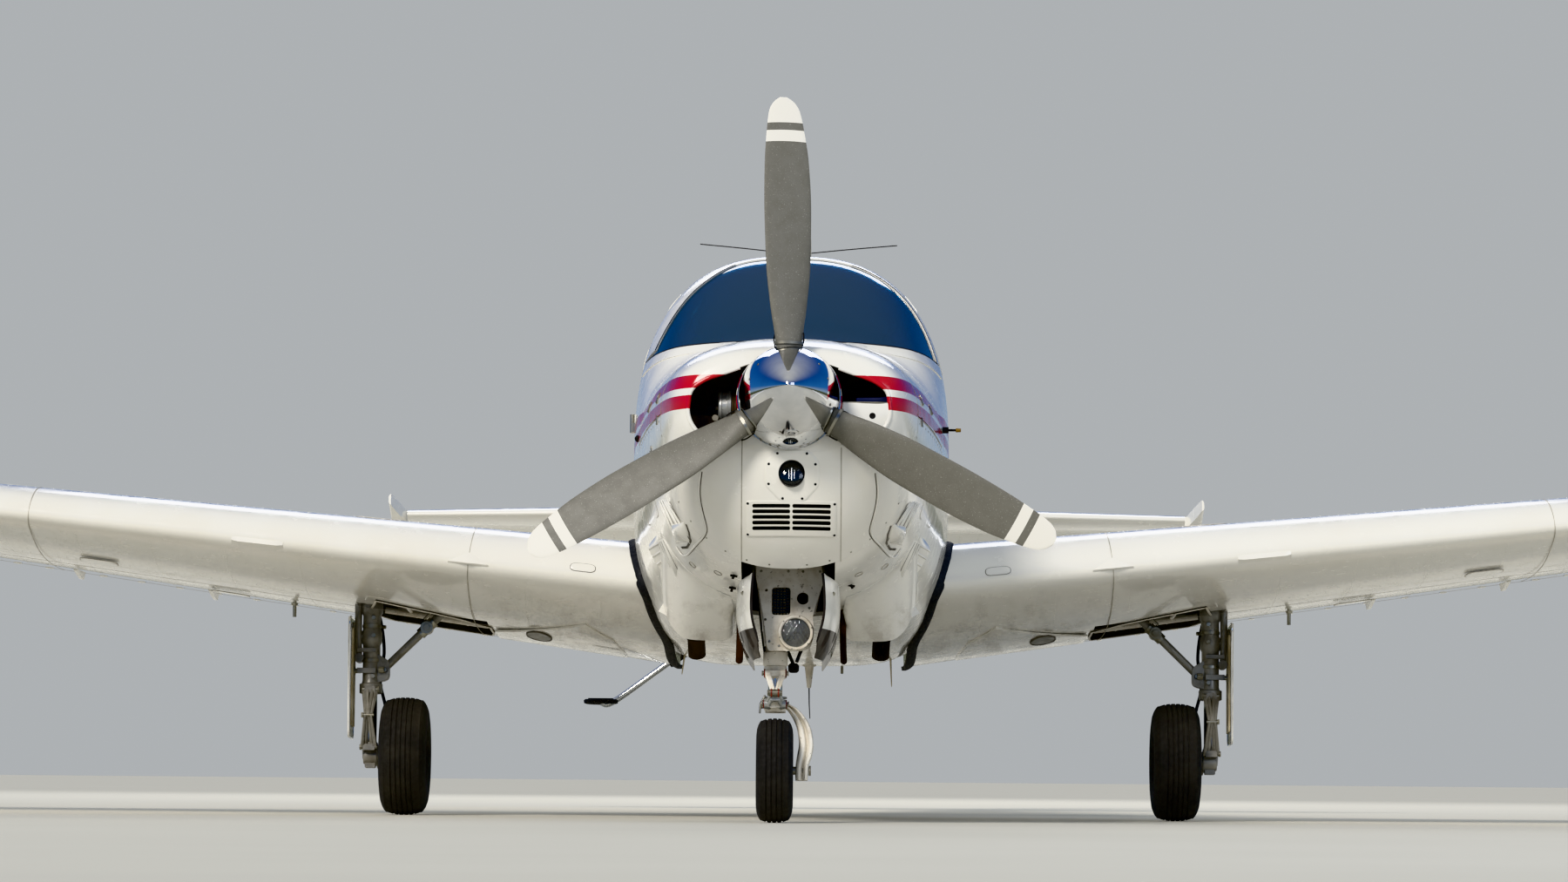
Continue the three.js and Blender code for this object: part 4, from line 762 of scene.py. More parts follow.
# cowling: a fixed spine, the lower cowl with the nose gear's bay, and two doors on rolled hinges
cowl = hullShell(steps(0.33, 1.27, 0.035), shell["cowlWall"])
gap, end = shell["seat"], shell["end"]
spine = carved(cowl, [box((-0.035, 0.035), (0.33 + gap, 1.27 - gap), (0, wide))], "INTERSECT")
lower = carved(cowl, [box((-wide, wide), (0.33 + gap, 1.27 - gap), (-wide, -0.03 - gap))], "INTERSECT")
lower = carved(lower, [box((-0.158, 0.158), (0, 1.12), (-wide, -0.38))])
addPiece("cowl_spine_skin", [(spine, fuselagePaint)], replaces=["cowl_spine"])
hingeEnds = [(0.052, y, float(smoothTable(hullSections, y)[0]) - shell["cowlWall"] / 2 + 0.002) for y in (0.33, 1.27)]
hingeDir = np.array(hingeEnds[1]) - hingeEnds[0]
hingeDir /= np.linalg.norm(hingeDir)
cowlDoor = carved(cowl, [box((0.052, wide), (0.33 + end, 1.27 - end), (-0.03 + shell["run"], wide))], "INTERSECT")
roll = merged(
    bar(hingeEnds[0] + hingeDir * end, hingeEnds[1] - hingeDir * end, 0.007, sides=16),
    bar(hingeEnds[0] + hingeDir * 0.001, hingeEnds[1] - hingeDir * 0.001, 0.005, sides=12),
)
print("stage: nose and cowling")

# cabin: tub, roof, two doors, windshield and side windows, all cut from one wall
cabinStations = steps(1.27, 4.7, 0.045)
cabin = hullShell(cabinStations, shell["cabinWall"])
glassSkin = loft([hullRing(y, shell["glassInset"]) for y in cabinStations]
                 + [hullRing(y, shell["glassInset"] + shell["glass"]) for y in reversed(cabinStations)], wrap=True)
doorHole = prism(cabinOpeningLine, "x", -wide, 0)
bagHole = prism(grown(baggageDoorLine, shell["run"]), "x", -wide, 0)
windowHoles = [prism(line, "x", 0, wide) for line in windowLines.values()]
windowHoles += [prism(line, "x", -wide, 0) for name, line in windowLines.items() if name != "front"]
roofCut = prism(grown(roofLine, -gap), "x", -wide, wide)
roof = carved(
    carved(cabin, [roofCut], "INTERSECT"), [prism(grown(windshieldLine, gap), "x", -wide, wide), doorHole, *windowHoles]
)
hinges = {
    "cabin": {"x": -0.585, "y": 1.982, "heights": (-0.13, 0.13), "inner": -0.56},
    "baggage": {"x": -0.508, "y": 4.047, "heights": (-0.13, 0.15), "inner": -0.475},
}
knuckle = {"radius": 0.008, "height": 0.034, "arm": 0.034}


def knuckles(which, forDoor, room=0.0):
    h = hinges[which]
    made = []
    for z in h["heights"]:
        lift = 0 if forDoor else -knuckle["height"]
        low, high = z + lift + gap / 2 - room, z + lift + knuckle["height"] - gap / 2 + room
        made.append(bar((h["x"], h["y"], low), (h["x"], h["y"], high), knuckle["radius"] + room, sides=24))
        if not room:
            arm = (h["y"], h["y"] + knuckle["arm"]) if forDoor else (h["y"] - knuckle["arm"], h["y"])
            made.append(box((h["x"], h["inner"]), arm, (low, high)))
    return made


tub = carved(cabin, [prism(windshieldLine, "x", -wide, wide), prism(roofLine, "x", -wide, wide), doorHole, bagHole,
                     *knuckles("cabin", True, shell["run"]), *knuckles("baggage", True, shell["run"])])
tub = carved(tub, [*knuckles("cabin", False), *knuckles("baggage", False)], "UNION")
addPiece("fuselage_tub_skin", [*lined(tub, fuselagePaint, headliner)], replaces=["fuselage_tub"])
addPiece("cabin_roof_skin", [*lined(roof, fuselagePaint, headliner)], replaces=["cabin_roof"])
screenCut = prism(grown(windshieldLine, -gap), "x", -wide, wide)
addPiece("windshield_pane", [(carved(glassSkin, [screenCut], "INTERSECT"), tintedAcrylicAndPaintedSky)], replaces=["windshield"])
for name, line in windowLines.items():
    for side in (-1, 1):
        pane = carved(glassSkin, [prism(grown(line, -gap), "x", *((-wide, 0) if side < 0 else (0, wide)))], "INTERSECT")
        node = f"window_{'right' if side < 0 else 'left'}_{name}"
        addPiece(
            node + "_pane", [(pane, tintedAcrylicAndPaintedSky)], "cabin_door" if node == "window_right_front" else "airframe",
            [node]
        )
door = carved(carved(cabin, [prism(cabinDoorLine, "x", -wide, 0)], "INTERSECT"),
              [prism(windowLines["front"], "x", -wide, 0), *knuckles("cabin", False, shell["run"])])
door = carved(door, knuckles("cabin", True), "UNION")
bagDoor = carved(
    carved(cabin, [prism(baggageDoorLine, "x", -wide, 0)], "INTERSECT"), knuckles("baggage", False, shell["run"])
)
bagDoor = carved(bagDoor, knuckles("baggage", True), "UNION")
print("stage: cabin")

# tail cone
coneStations = steps(4.7, 7.5, 0.06) + [7.56, 7.62, 7.67, 7.71, 7.74, 7.765, 7.785, 7.8]
cone = carved(
    hull(coneStations),
    [hull(steps(4.6, 7.0, 0.1), shell["coneWall"]), box((-wide, wide), (4.5, 4.7003), (-wide, wide))]
)
cone = carved(cone, [bar((-0.128, 7.2, 0.262), (0.128, 7.2, 0.262), 0.014, sides=32)], "UNION")
addPiece("tail_cone_skin", [(cone, fuselagePaint)], replaces=["tail_cone"])
addPiece("lower_cowl_skin", [(lower, fuselagePaint)], replaces=["lower_cowl"])
for side, name in bothSides:
    addPiece(
        f"cowl_door_{name}_skin", [(onSide(cowlDoor, side), fuselagePaint), (onSide(roll, side), fuselagePaint)],
        f"cowl_door_{name}", [f"cowl_door_{name}"]
    )
addPiece("cabin_door_skin", [*lined(door, fuselagePaint, headliner)], "cabin_door", ["cabin_door"])
addPiece("baggage_door_skin", [*lined(bagDoor, fuselagePaint, headliner)], "baggage_door", ["baggage_door"])
print("stage: tail cone and doors")

# wings

halfSpan = 5.105
wingPlan = {
    "rootChord": 2.134, "tipChord": 1.067, "rootLead": 1.928, "tipLead": 2.195, "rootThick": 0.165, "tipThick": 0.12
}
wingFrame = {"x": 0.55, "z": -0.44, "dihedral": 6, "rootIncidence": 4.8, "tipIncidence": 1}
straight = {"from": -0.12, "to": halfSpan - 0.55 - 0.22}
wingPlace = at(wingFrame["x"], 0, wingFrame["z"], 0, -wingFrame["dihedral"], 0)
wingBack = wingPlace.inverted()
camberEnd, camberGain = 0.2025, 15.957 / 6


def halfThickness(t, s):
    return 5 * t * (0.2969 * math.sqrt(s) - 0.126 * s - 0.3516 * s**2 + 0.2843 * s**3 - 0.1036 * s**4)


def camberAt(s):
    if s < camberEnd:
        return camberGain * (s**3 - 3 * camberEnd * s**2 + camberEnd**2 * (3 - camberEnd) * s)
    return camberGain * camberEnd**3 * (1 - s)


def foilShares(count):
    return [(1 + math.cos(math.pi * i / (count - 0.5))) / 2 for i in range(count)]


def foil(chord, thick, cambered, put, count=40):
    # from the trailing edge over the top to the nose and back underneath
    made = []
    for up, shares in ((1, foilShares(count)), (-1, foilShares(count)[::-1])):
        for s in shares:
            mid = camberAt(s) * chord if cambered else 0
            made.append(put(s * chord, mid + up * (halfThickness(thick, s) * chord + 0.0015 * s)))
    return made


def wingAt(x):
    share = (x + wingFrame["x"]) / halfSpan
    mix = lambda a, b: a + (b - a) * share
    incidence = math.radians(mix(wingFrame["rootIncidence"], wingFrame["tipIncidence"]))
    return mix(
        wingPlan["rootChord"], wingPlan["tipChord"]
    ), mix(wingPlan["rootLead"], wingPlan["tipLead"]), mix(wingPlan["rootThick"], wingPlan["tipThick"]), incidence


def wingRing(x, shrink=1, flat=1, count=40):
    chord, lead, thick, incidence = wingAt(x)
    c, s = math.cos(incidence), math.sin(incidence)
    trim = chord * (1 - shrink) / 2 * 0.7
    put = lambda along, h: (x, lead + (along + trim) * c + h * s, h * c - (along + trim) * s)
    return foil(chord * shrink, thick * shrink**0.6 * flat, True, put, count)


def wingPoint(x, s, up=1):
    # a place on the wing's skin in the level frame, from the station and the share of the chord
    a, b = straight["from"], straight["to"]
    ends = []
    for end in (a, b):
        chord, lead, thick, incidence = wingAt(end)
        h = camberAt(s) * chord + up * (halfThickness(thick, s) * chord + 0.0015 * s)
        c, n = math.cos(incidence), math.sin(incidence)
        ends.append(np.array([end, lead + s * chord * c + h * n, h * c - s * chord * n]))
    p = ends[0] + (ends[1] - ends[0]) * (x - a) / (b - a)
    return np.array(wingPlace @ Vector(p))


def wingNormal(x, s, up=1):
    e = 1e-3
    along = wingPoint(x + e, s, up) - wingPoint(x - e, s, up)
    back = wingPoint(x, min(s + e, 1), up) - wingPoint(x, max(s - e, 0), up)
    n = np.cross(along, back) * up
    return n / np.linalg.norm(n)


def splitSurface(body, a, b, ra, rb, gap, pins):
    # cuts a control surface out along a hinge line, with a round nose and pivot pins
    a, b = Vector(a), Vector(b)
    along = b - a
    length = along.length
    direction = along.normalized()
    back = Vector((0, 1, 0)) - direction * direction.y
    back.normalize()
    thick = direction.cross(back)
    hinge = Matrix.Translation(a) @ Matrix((direction, back, thick)).transposed().to_4x4()
    slab = lambda low, high: moved(box((low, high), (0, 1.6), (-0.45, 0.45)), hinge)
    spot = lambda d: tuple(a + direction * d)
    nose = lambda low, high, more: bar(
        spot(low), spot(high), *[ra + (rb - ra) * d / length + more for d in (low, high)], sides=40
    )
    start, stop = shell["end"], length - shell["end"]
    fixed = carved(body, [slab(0, length), nose(0, length, gap)])
    zone = carved(slab(start, stop), [nose(start, stop, 0)], "UNION")
    moving = carved(body, [zone], "INTERSECT")
    if pins[0]:
        moving = carved(moving, [bar(spot(0.0003), spot(start + 0.002), 0.006)], "UNION")
    if pins[1]:
        moving = carved(moving, [bar(spot(stop - 0.002), spot(length - 0.0003), 0.006)], "UNION")
    return fixed, moving


def hingeAt(x, share):
    ends = []
    for end in (straight["from"], straight["to"]):
        chord, lead, thick, incidence = wingAt(end)
        h, c, s = camberAt(share) * chord, math.cos(incidence), math.sin(incidence)
        ends.append(
            np.array(
                [end, lead + chord * share * c + h * s, h * c - chord * share * s, halfThickness(thick, share) * chord]
            )
        )
    p = ends[0] + (ends[1] - ends[0]) * (x - straight["from"]) / (straight["to"] - straight["from"])
    return tuple(p[:3]), p[3]


flapSpan = {"from": 0.09, "to": 2.25, "gap": 0.012}
aileronSpan = {"from": 2.29, "to": 4.18, "gap": 0.006}
hingeShare = 0.76
well = {"in": 1.15, "out": 1.645, "fore": 2.7, "aft": 2.925, "roof": -0.358}
wingSpan = halfSpan - wingFrame["x"]
wingRings = [wingRing(x) for x in np.linspace(straight["from"], straight["to"], 30)]
for u in (0.2, 0.4, 0.55, 0.68, 0.79, 0.87, 0.93, 0.97, 0.99, 1.0):
    wingRings.append(
        wingRing(wingSpan - 0.22 * (1 - u), 0.45 + 0.55 * math.sqrt(1 - u * u), max(0.12, math.sqrt(1 - u**8)))
    )
wholeStations = noseStations[:-1] + steps(0.33, 1.27, 0.07) + steps(1.27, 4.7, 0.07)[1:] + coneStations[1:]
wholeHull = hull(wholeStations, -0.0003)
wing = carved(
    loft(wingRings),
    [
        moved(wholeHull, wingBack),
        moved(box((well["in"], well["out"]), (well["fore"], well["aft"]), (-0.7, well["roof"])), wingBack)
    ]
)
(fa, fra), (fb, frb) = hingeAt(flapSpan["from"], hingeShare), hingeAt(flapSpan["to"], hingeShare)
wing, flap = splitSurface(wing, fa, fb, fra, frb, flapSpan["gap"], (False, True))
(aa, ara), (ab, arb) = hingeAt(aileronSpan["from"], hingeShare), hingeAt(aileronSpan["to"], hingeShare)
wing, aileron = splitSurface(wing, aa, ab, ara, arb, aileronSpan["gap"], (True, True))
print("stage: wings cut")


def wingBeads(low, high, count, s0, s1, up):
    # raised stiffening beads that run fore and aft on a control surface
    made = []
    for x in np.linspace(low, high, count):
        line = [(x, s) for s in np.linspace(s0, s1, 9)]
        made.append(
            bead(
                [wingPoint(*q, up) for q in line], [wingNormal(*q, up) for q in line],
                [0.0005, 0.003, 0.0038, 0.004, 0.004, 0.004, 0.0038, 0.003, 0.0005], 0.35, 6
            )
        )
    return merged(*made)


def surfaceRibbon(path, up, width, **settings):
    # a flat strip on the wing along a path of (station, share of the chord)
    return ribbon([wingPoint(x, s, up) for x, s in path], [wingNormal(x, s, up) for x, s in path], width, **settings)


def dense(path, count=24):
    p = np.array(path, float)
    t = np.linspace(0, len(p) - 1, count)
    return [tuple(np.array([np.interp(v, range(len(p)), p[:, k]) for k in range(p.shape[1])])) for v in t]


def coverEdge(line, parts=5):
    # an outline with more corners, so that a plate drawn with it follows the skin
    made = []
    for i, p in enumerate(line):
        q = line[(i + 1) % len(line)]
        made += [(p[0] + (q[0] - p[0]) * k / parts, p[1] + (q[1] - p[1]) * k / parts) for k in range(parts)]
    return made


# what lies on the wing: skin joints and access covers
joints = []
for x in (0.633, 2.27, 4.3):
    joints += [
        surfaceRibbon(
            dense([(x, 0.0), (x, 0.004), (x, 0.02), (x, 0.1), (x, 0.745)], 60), up, 0.0028, lift=0.0002, thick=0.0008
        )
        for up in (1, -1)
    ]
for s in (0.42, 0.735):
    joints += [
        surfaceRibbon(dense([(0.1, s), (straight["to"] - 0.01, s)], 40), up, 0.0028, lift=0.0002, thick=0.0008)
        for up in (1, -1)
    ]
wingJoints = merged(*joints)


def coverOutline(x, s, halfX, halfS, corner, steps=5):
    return rounded(rect((x - halfX, x + halfX), (s - halfS, s + halfS)), corner, steps)


def wingPatch(outline, up, thick=0.0016, rings=4):
    # a thin raised cover that follows the skin
    p = np.array(outline)
    mid = p.mean(0)
    layers = []
    for share, lift in (
        (1, -0.002), (1, thick * 0.5), (0.985, thick), *[(k, thick) for k in np.linspace(0.75, 0.02, rings)]
    ):
        layers.append(
            [wingPoint(*(mid + (q - mid) * share), up) + wingNormal(*(mid + (q - mid) * share), up) * lift for q in p]
        )
    return loft(layers)


coverSpecs = [
    (2.05, 0.3, 0.07, 0.03, -1), (2.7, 0.3, 0.07, 0.04, -1), (3.3, 0.3, 0.06, 0.04, -1), (1.6, 0.6, 0.07, 0.03, -1),
    (1.0, 0.18, 0.09, 0.04, 1)
]
wingCovers = merged(*[wingPatch(coverOutline(x, s, hx, hs, min(hx, hs) * 0.95), up) for x, s, hx, hs, up in coverSpecs])
coverRims = []
for x, s, hx, hs, up in coverSpecs:
    outline = coverOutline(x, s, hx, hs, min(hx, hs) * 0.95)
    loop = outline + outline[:1]
    coverRims.append(surfaceRibbon(loop, up, 0.006, lift=0.001, thick=0.002))


def roundNose(x, v, lift=0.0):
    # a place on the rounded leading edge: v runs smoothly from below the nose (negative) to above it
    up = 1 if v > 0 else -1
    return wingPoint(x, max(v * v, 1e-5), up) + wingNormal(x, max(v * v, 4e-4), up) * lift


# on the leading edge: an oval cover near the root and a low wedge over the joint outboard of it
squarish = lambda v, power: math.copysign(abs(v) ** power, v)
ovalCover = [
    (0.212 + 0.046 * squarish(math.cos(a), 0.5), 0.032 + 0.031 * squarish(math.sin(a), 0.7))
    for a in np.linspace(0, 2 * math.pi, 44, endpoint=False)
]
ovalLoop = ovalCover + ovalCover[:2]
ovalRim = sweep([roundNose(x, v, 0.0002) for x, v in ovalLoop], 0.0016, 8)
ovalPlate = loft(
    [
        [roundNose(0.212 + (x - 0.212) * k, 0.032 + (v - 0.032) * k, lift) for x, v in ovalCover]
        for k, lift in ((1, -0.003), (1, 0.0008), (0.96, 0.0016), (0.7, 0.0016), (0.4, 0.0016), (0.05, 0.0016))
    ]
)
noseWedge = loft(
    [
        [
            roundNose(x, -0.03 + 0.1 * k, -0.002), roundNose(x, -0.035 + 0.09 * k, 0.0006),
            roundNose(x, -0.028, 0.003 + 0.012 * k), roundNose(x, -0.034, 0.002 + 0.011 * k),
            roundNose(x, -0.046, 0.0005), roundNose(x, -0.055, -0.002)
        ]
        for x, k in zip(np.linspace(0.558, 0.708, 9), (0.03, 0.26, 0.5, 0.76, 1, 0.76, 0.5, 0.26, 0.03))
    ]
)

# the open gear well: cut 50 mm up into the underside and lined near-black, which is painted shade, with two ribs and
# the leg's strut across it
wellLine = [
    (0.58, 0.47), (0.68, 0.395), (0.78, 0.36), (1.0, 0.3), (1.03, 0.42), (1.02, 0.6), (0.98, 0.73), (0.6, 0.73),
    (0.58, 0.6)
]
wellEdge = coverEdge(wellLine, 6)
wellMid = (0.8, 0.56)


def wellRing(share, lift):
    return [
        wingPoint(
            wellMid[0] + (a - wellMid[0]) * share, wellMid[1] + (b - wellMid[1]) * share, -1
        ) + wingNormal(a, b, -1) * lift
        for a, b in wellEdge
    ]


wing = carved(wing, [moved(loft([wellRing(1, lift) for lift in (0.02, -0.05)]), wingBack)])
wellTrayPaintedShade = loft(
    [
        wellRing(0.04, -0.0495), wellRing(0.99, -0.0495), wellRing(0.99, -0.0015), wellRing(0.998, -0.001),
        wellRing(0.998, -0.051), wellRing(0.04, -0.051)
    ]
)
wellRibs = merged(
    *[
        sweep([wingPoint(x, s, -1) - wingNormal(x, s, -1) * 0.03 for s in np.linspace(0.4, 0.72, 8)], 0.008, 12)
        for x in (0.7, 0.9)
    ],
    sweep([wingPoint(x, 0.56, -1) - wingNormal(x, 0.56, -1) * 0.022 for x in np.linspace(0.6, 1.0, 8)], 0.012, 16)
)
wellLip = surfaceRibbon(wellEdge + wellEdge[:2], -1, 0.008, lift=0.0012, thick=0.003)
# inboard of it the inner door, proud of the skin, with a round cover
doorEdge = [
    (0.2, 0.23), (0.34, 0.33), (0.46, 0.42), (0.565, 0.5), (0.57, 0.62), (0.57, 0.73), (0.3, 0.73), (0.07, 0.73),
    (0.07, 0.55), (0.1, 0.36)
]
innerDoor = wingPatch(coverEdge(doorEdge), -1, 0.006, 8)
doorDisc = wingPatch(
    [(0.39 + 0.045 * math.cos(a), 0.45 + 0.075 * math.sin(a)) for a in np.linspace(0, 2 * math.pi, 32, endpoint=False)],
    -1, 0.0095, 3
)
discRim = sweep(
    [
        wingPoint(0.39 + 0.047 * math.cos(a), 0.45 + 0.078 * math.sin(a), -1) + wingNormal(0.39, 0.45, -1) * 0.009
        for a in np.linspace(0, 2 * math.pi, 37)
    ],
    0.003, 8
)
ventTube = merged(
    bar(wingPoint(1.36, 0.64, -1) + [0, 0, 0.01], wingPoint(1.36, 0.64, -1) + [0, 0.004, -0.05], 0.0075, 0.007, 18),
    bar(wingPoint(1.36, 0.64, -1) + [0, 0, 0.004], wingPoint(1.36, 0.64, -1) + [0, 0, -0.005], 0.014, 0.012, 20)
)
hingeArms = merged(
    *[
        loft(
            [
                [
                    wingPoint(x - 0.009, s, -1) - wingNormal(x, s, -1) * 0.004,
                    wingPoint(x + 0.009, s, -1) - wingNormal(x, s, -1) * 0.004,
                    wingPoint(x + 0.007, s, -1) + wingNormal(x, s, -1) * h,
                    wingPoint(x - 0.007, s, -1) + wingNormal(x, s, -1) * h
                ]
                for s, h in ((0.6, 0.002), (0.66, 0.014), (0.71, 0.024), (0.742, 0.026))
            ]
        )
        for x in (1.68, 2.2, 2.6, 3.9)
    ]
)
print("stage: wing details")

for side, name in bothSides:
    level = lambda shape: onSide(moved(shape, wingPlace), side)
    extras = [
        (onSide(wingCovers, side), wingPaint), (onSide(merged(*coverRims), side), seamGrey),
        (onSide(wingJoints, side), seamGrey),
        (onSide(merged(noseWedge, innerDoor, hingeArms, ovalPlate), side), wingPaint),
        (onSide(merged(doorDisc, ovalRim), side), gearGrey), (onSide(discRim, side), gapShadow),
        (onSide(wellTrayPaintedShade, side), blackFinishAndPaintedShade), (onSide(merged(wellRibs, wellLip), side), gearWhite),
        (onSide(ventTube, side), zincSteel)
    ]
    addPiece(f"wing_{name}_skin", [(level(wing), wingPaint)], replaces=[f"wing_{name}"])
    addPiece(f"wing_{name}_details", extras)
    addPiece(
        f"flap_{name}_skin",
        [
            (level(flap), wingPaint),
            (onSide(merged(*[wingBeads(0.2, 2.15, 14, 0.8, 0.975, up) for up in (1, -1)]), side), wingPaint)
        ],
        f"flap_{name}", [f"flap_{name}"]
    )
    addPiece(
        f"aileron_{name}_skin",
        [
            (level(aileron), wingPaint),
            (onSide(merged(*[wingBeads(2.36, 4.1, 15, 0.8, 0.975, up) for up in (1, -1)]), side), wingPaint)
        ],
        f"aileron_{name}", [f"aileron_{name}"]
    )
print("stage: wings")

# tail surfaces

stabilizer = {"half": 1.855, "z": 0.262, "lead": (6.475, 6.815), "trail": (7.617, 7.467), "thick": 0.09}
elevatorHinge = {"y": 7.2, "droop": 18, "gap": 0.005}
horn = [(1.763, 7.13), (1.785, 7.13), (1.843, 6.935), (1.853, 6.935), (1.853, 7.23), (1.763, 7.23)]
rudderRoom = [(0.118, 7.222), (0.228, 7.68), (0.118, 7.68)]
boss = {"reach": 0.128, "radius": 0.014}


def stabilizerAt(x):
    share = x / stabilizer["half"]
    lead, trail = [a + (b - a) * share for a, b in (stabilizer["lead"], stabilizer["trail"])]
    return lead, trail - lead


def stabilizerRing(x, shrink=1, flat=1):
    lead, chord = stabilizerAt(x)
    start = lead + chord * (1 - shrink) / 2
    return foil(chord * shrink, stabilizer["thick"] * flat, False, lambda s, h: (x, start + s, h), 36)


def stabilizerPoint(x, s, up):
    lead, chord = stabilizerAt(x)
    return np.array([x, lead + s * chord, up * (halfThickness(stabilizer["thick"], s) * chord + 0.0015 * s)])


half = stabilizer["half"]
tipRings = [
    stabilizerRing(half - 0.03 * (1 - u), 0.93 + 0.07 * math.sqrt(1 - u * u), max(0.35, math.sqrt(1 - u**5)))
    for u in (0.3, 0.6, 0.8, 0.93, 1)
]
plain = loft([stabilizerRing(x) for x in np.linspace(0.02, half - 0.03, 20)] + tipRings)
ends = (boss["reach"], half + 0.02)
radii = [
    halfThickness(
        stabilizer["thick"], (elevatorHinge["y"] - stabilizerAt(x)[0]) / stabilizerAt(x)[1]
    ) * stabilizerAt(x)[1]
    for x in ends
]
tailFixed, tailMoving = splitSurface(
    plain, (ends[0], 7.2, 0), (ends[1], 7.2, 0), *radii, elevatorHinge["gap"], (True, False)
)
hornSolid = carved(plain, [prism(horn, "z", -0.2, 0.2)], "INTERSECT")
elevator = carved(carved(tailMoving, [prism(rudderRoom, "z", -0.1, 0.1)]), [hornSolid], "UNION")
tailBack = Matrix.Translation((0, 0, -stabilizer["z"]))
tailFixed = carved(tailFixed, [
    box((horn[0][0] - shell["run"], half + 0.05), (6.5, 7.2 + elevatorHinge["gap"]), (-0.2, 0.2)),
    moved(wholeHull, tailBack),
    box((0, boss["reach"]), (7.2 - boss["radius"] - gap, 7.7), (-0.1, 0.1)),
])
beads = []
for x in np.linspace(0.32, 1.7, 17):
    lead, chord = stabilizerAt(x)
    s0, s1 = (7.235 - lead) / chord, (
        stabilizer["trail"][0] + (stabilizer["trail"][1] - stabilizer["trail"][0]) * x / half - 0.035 - lead
    ) / chord
    for up in (1, -1):
        line = [stabilizerPoint(x, s, up) for s in np.linspace(s0, s1, 8)]
        beads.append(
            bead(line, [(0, 0, up)] * 8, [0.0005, 0.003, 0.0038, 0.004, 0.004, 0.0038, 0.003, 0.0005], 0.35, 6)
        )
swing = at(0, 7.2, stabilizer["z"], -elevatorHinge["droop"]) @ Matrix.Translation((0, -7.2, 0))
for side, name in bothSides:
    raised = moved(tailFixed, Matrix.Translation((0, 0, stabilizer["z"])))
    addPiece(f"stabilizer_{name}_skin", [(onSide(raised, side), tailPaint)], replaces=[f"stabilizer_{name}"])
    addPiece(
        f"elevator_{name}_skin",
        [(onSide(moved(elevator, swing), side), tailPaint), (onSide(moved(merged(*beads), swing), side), tailPaint)],
        "elevator", [f"elevator_{name}"]
    )

finPlan = {"base": 0.2, "top": 1.5, "lead": (6.36, 7.13), "trail": (7.66, 7.7), "thick": 0.085}
rudderHinge = {"bottom": (0, 7.235, 0.36), "top": (0, 7.44, 1.545), "radii": (0.037, 0.021), "gap": 0.005}


def finAt(z):
    share = (z - finPlan["base"]) / (finPlan["top"] - finPlan["base"])
    lead, trail = [a + (b - a) * share for a, b in (finPlan["lead"], finPlan["trail"])]
    return lead, trail - lead


def finRing(z, shrink=1, flat=1):
    lead, chord = finAt(z)
    start = lead + chord * (1 - shrink) / 2
    return foil(chord * shrink, finPlan["thick"] * flat, False, lambda s, h: (h, start + s, z), 36)


def finPoint(z, s, side):
    lead, chord = finAt(z)
    return np.array([side * (halfThickness(finPlan["thick"], s) * chord + 0.0015 * s), lead + s * chord, z])


capRings = [
    finRing(finPlan["top"] - 0.03 * (1 - u), 0.86 + 0.14 * math.sqrt(1 - u * u), max(0.3, math.sqrt(1 - u**5)))
    for u in (0.3, 0.6, 0.8, 0.93, 1)
]
finBody = loft([finRing(z) for z in np.linspace(finPlan["base"], finPlan["top"] - 0.03, 20)] + capRings)
finFixed, rudder = splitSurface(
    finBody, rudderHinge["bottom"], rudderHinge["top"], *rudderHinge["radii"], rudderHinge["gap"], (True, False)
)
dorsalRows = [(5.45, 0.425, 0.02), (5.8, 0.447, 0.026), (6.2, 0.47, 0.032), (6.4, 0.545, 0.036), (6.62, 0.64, 0.04)]
dorsalRings = []
for y, crest, half in dorsalRows:
    right = [(half, 0), (half * 0.8, crest * 0.4), (half / 2, crest * 0.7), (half * 0.25, crest * 0.93), (0.004, crest)]
    dorsalRings.append([(x, y, z) for x, z in right] + [(-x, y, z) for x, z in reversed(right)])
finFixed = carved(carved(finFixed, [loft(dorsalRings)], "UNION"), [wholeHull])
rudderBeads = []
for z in np.linspace(0.5, 1.4, 11):
    lead, chord = finAt(z)
    hingeY = 7.235 + (z - 0.36) / (1.545 - 0.36) * (7.44 - 7.235)
    s0, s1 = (hingeY + 0.03 - lead) / chord, 1 - 0.03 / chord
    for side in (1, -1):
        line = [finPoint(z, s, side) for s in np.linspace(s0, s1, 8)]
        rudderBeads.append(
            bead(line, [(side, 0, 0)] * 8, [0.0005, 0.003, 0.0038, 0.004, 0.004, 0.0038, 0.003, 0.0005], 0.35, 6)
        )
addPiece("fin_skin", [(finFixed, tailPaint)], replaces=["fin"])
addPiece("rudder_skin", [(rudder, tailPaint), (merged(*rudderBeads), tailPaint)], "rudder", ["rudder"])
print("stage: tail surfaces")

# propeller

propeller = {"turn": -0.8, "shaft": 0.045}
bladeTable = np.array([
    # radius, chord, angle to the disc, thickness, lean towards the leading edge
    [0.1, 0.078, 32, 0.07, 0], [0.19, 0.1, 32, 0.062, 0], [0.3, 0.138, 30, 0.036, 0], [0.45, 0.163, 25, 0.024, 0],
    [0.62, 0.166, 20, 0.017, -0.0005],
    [0.78, 0.154, 16, 0.013, -0.003], [0.9, 0.127, 14, 0.01, -0.0075], [0.96, 0.104, 13, 0.008, -0.01],
    [0.99, 0.068, 12.5, 0.007, -0.012], [1.005, 0.024, 12.5, 0.006, -0.013],
])
spinnerTable = np.array(
    [
        [-0.33, 0.0], [-0.326, 0.014], [-0.31, 0.034], [-0.27, 0.066], [-0.215, 0.098], [-0.15, 0.128], [-0.08, 0.152],
        [-0.02, 0.166], [0.034, 0.169], [0.044, 0.169]
    ]
)


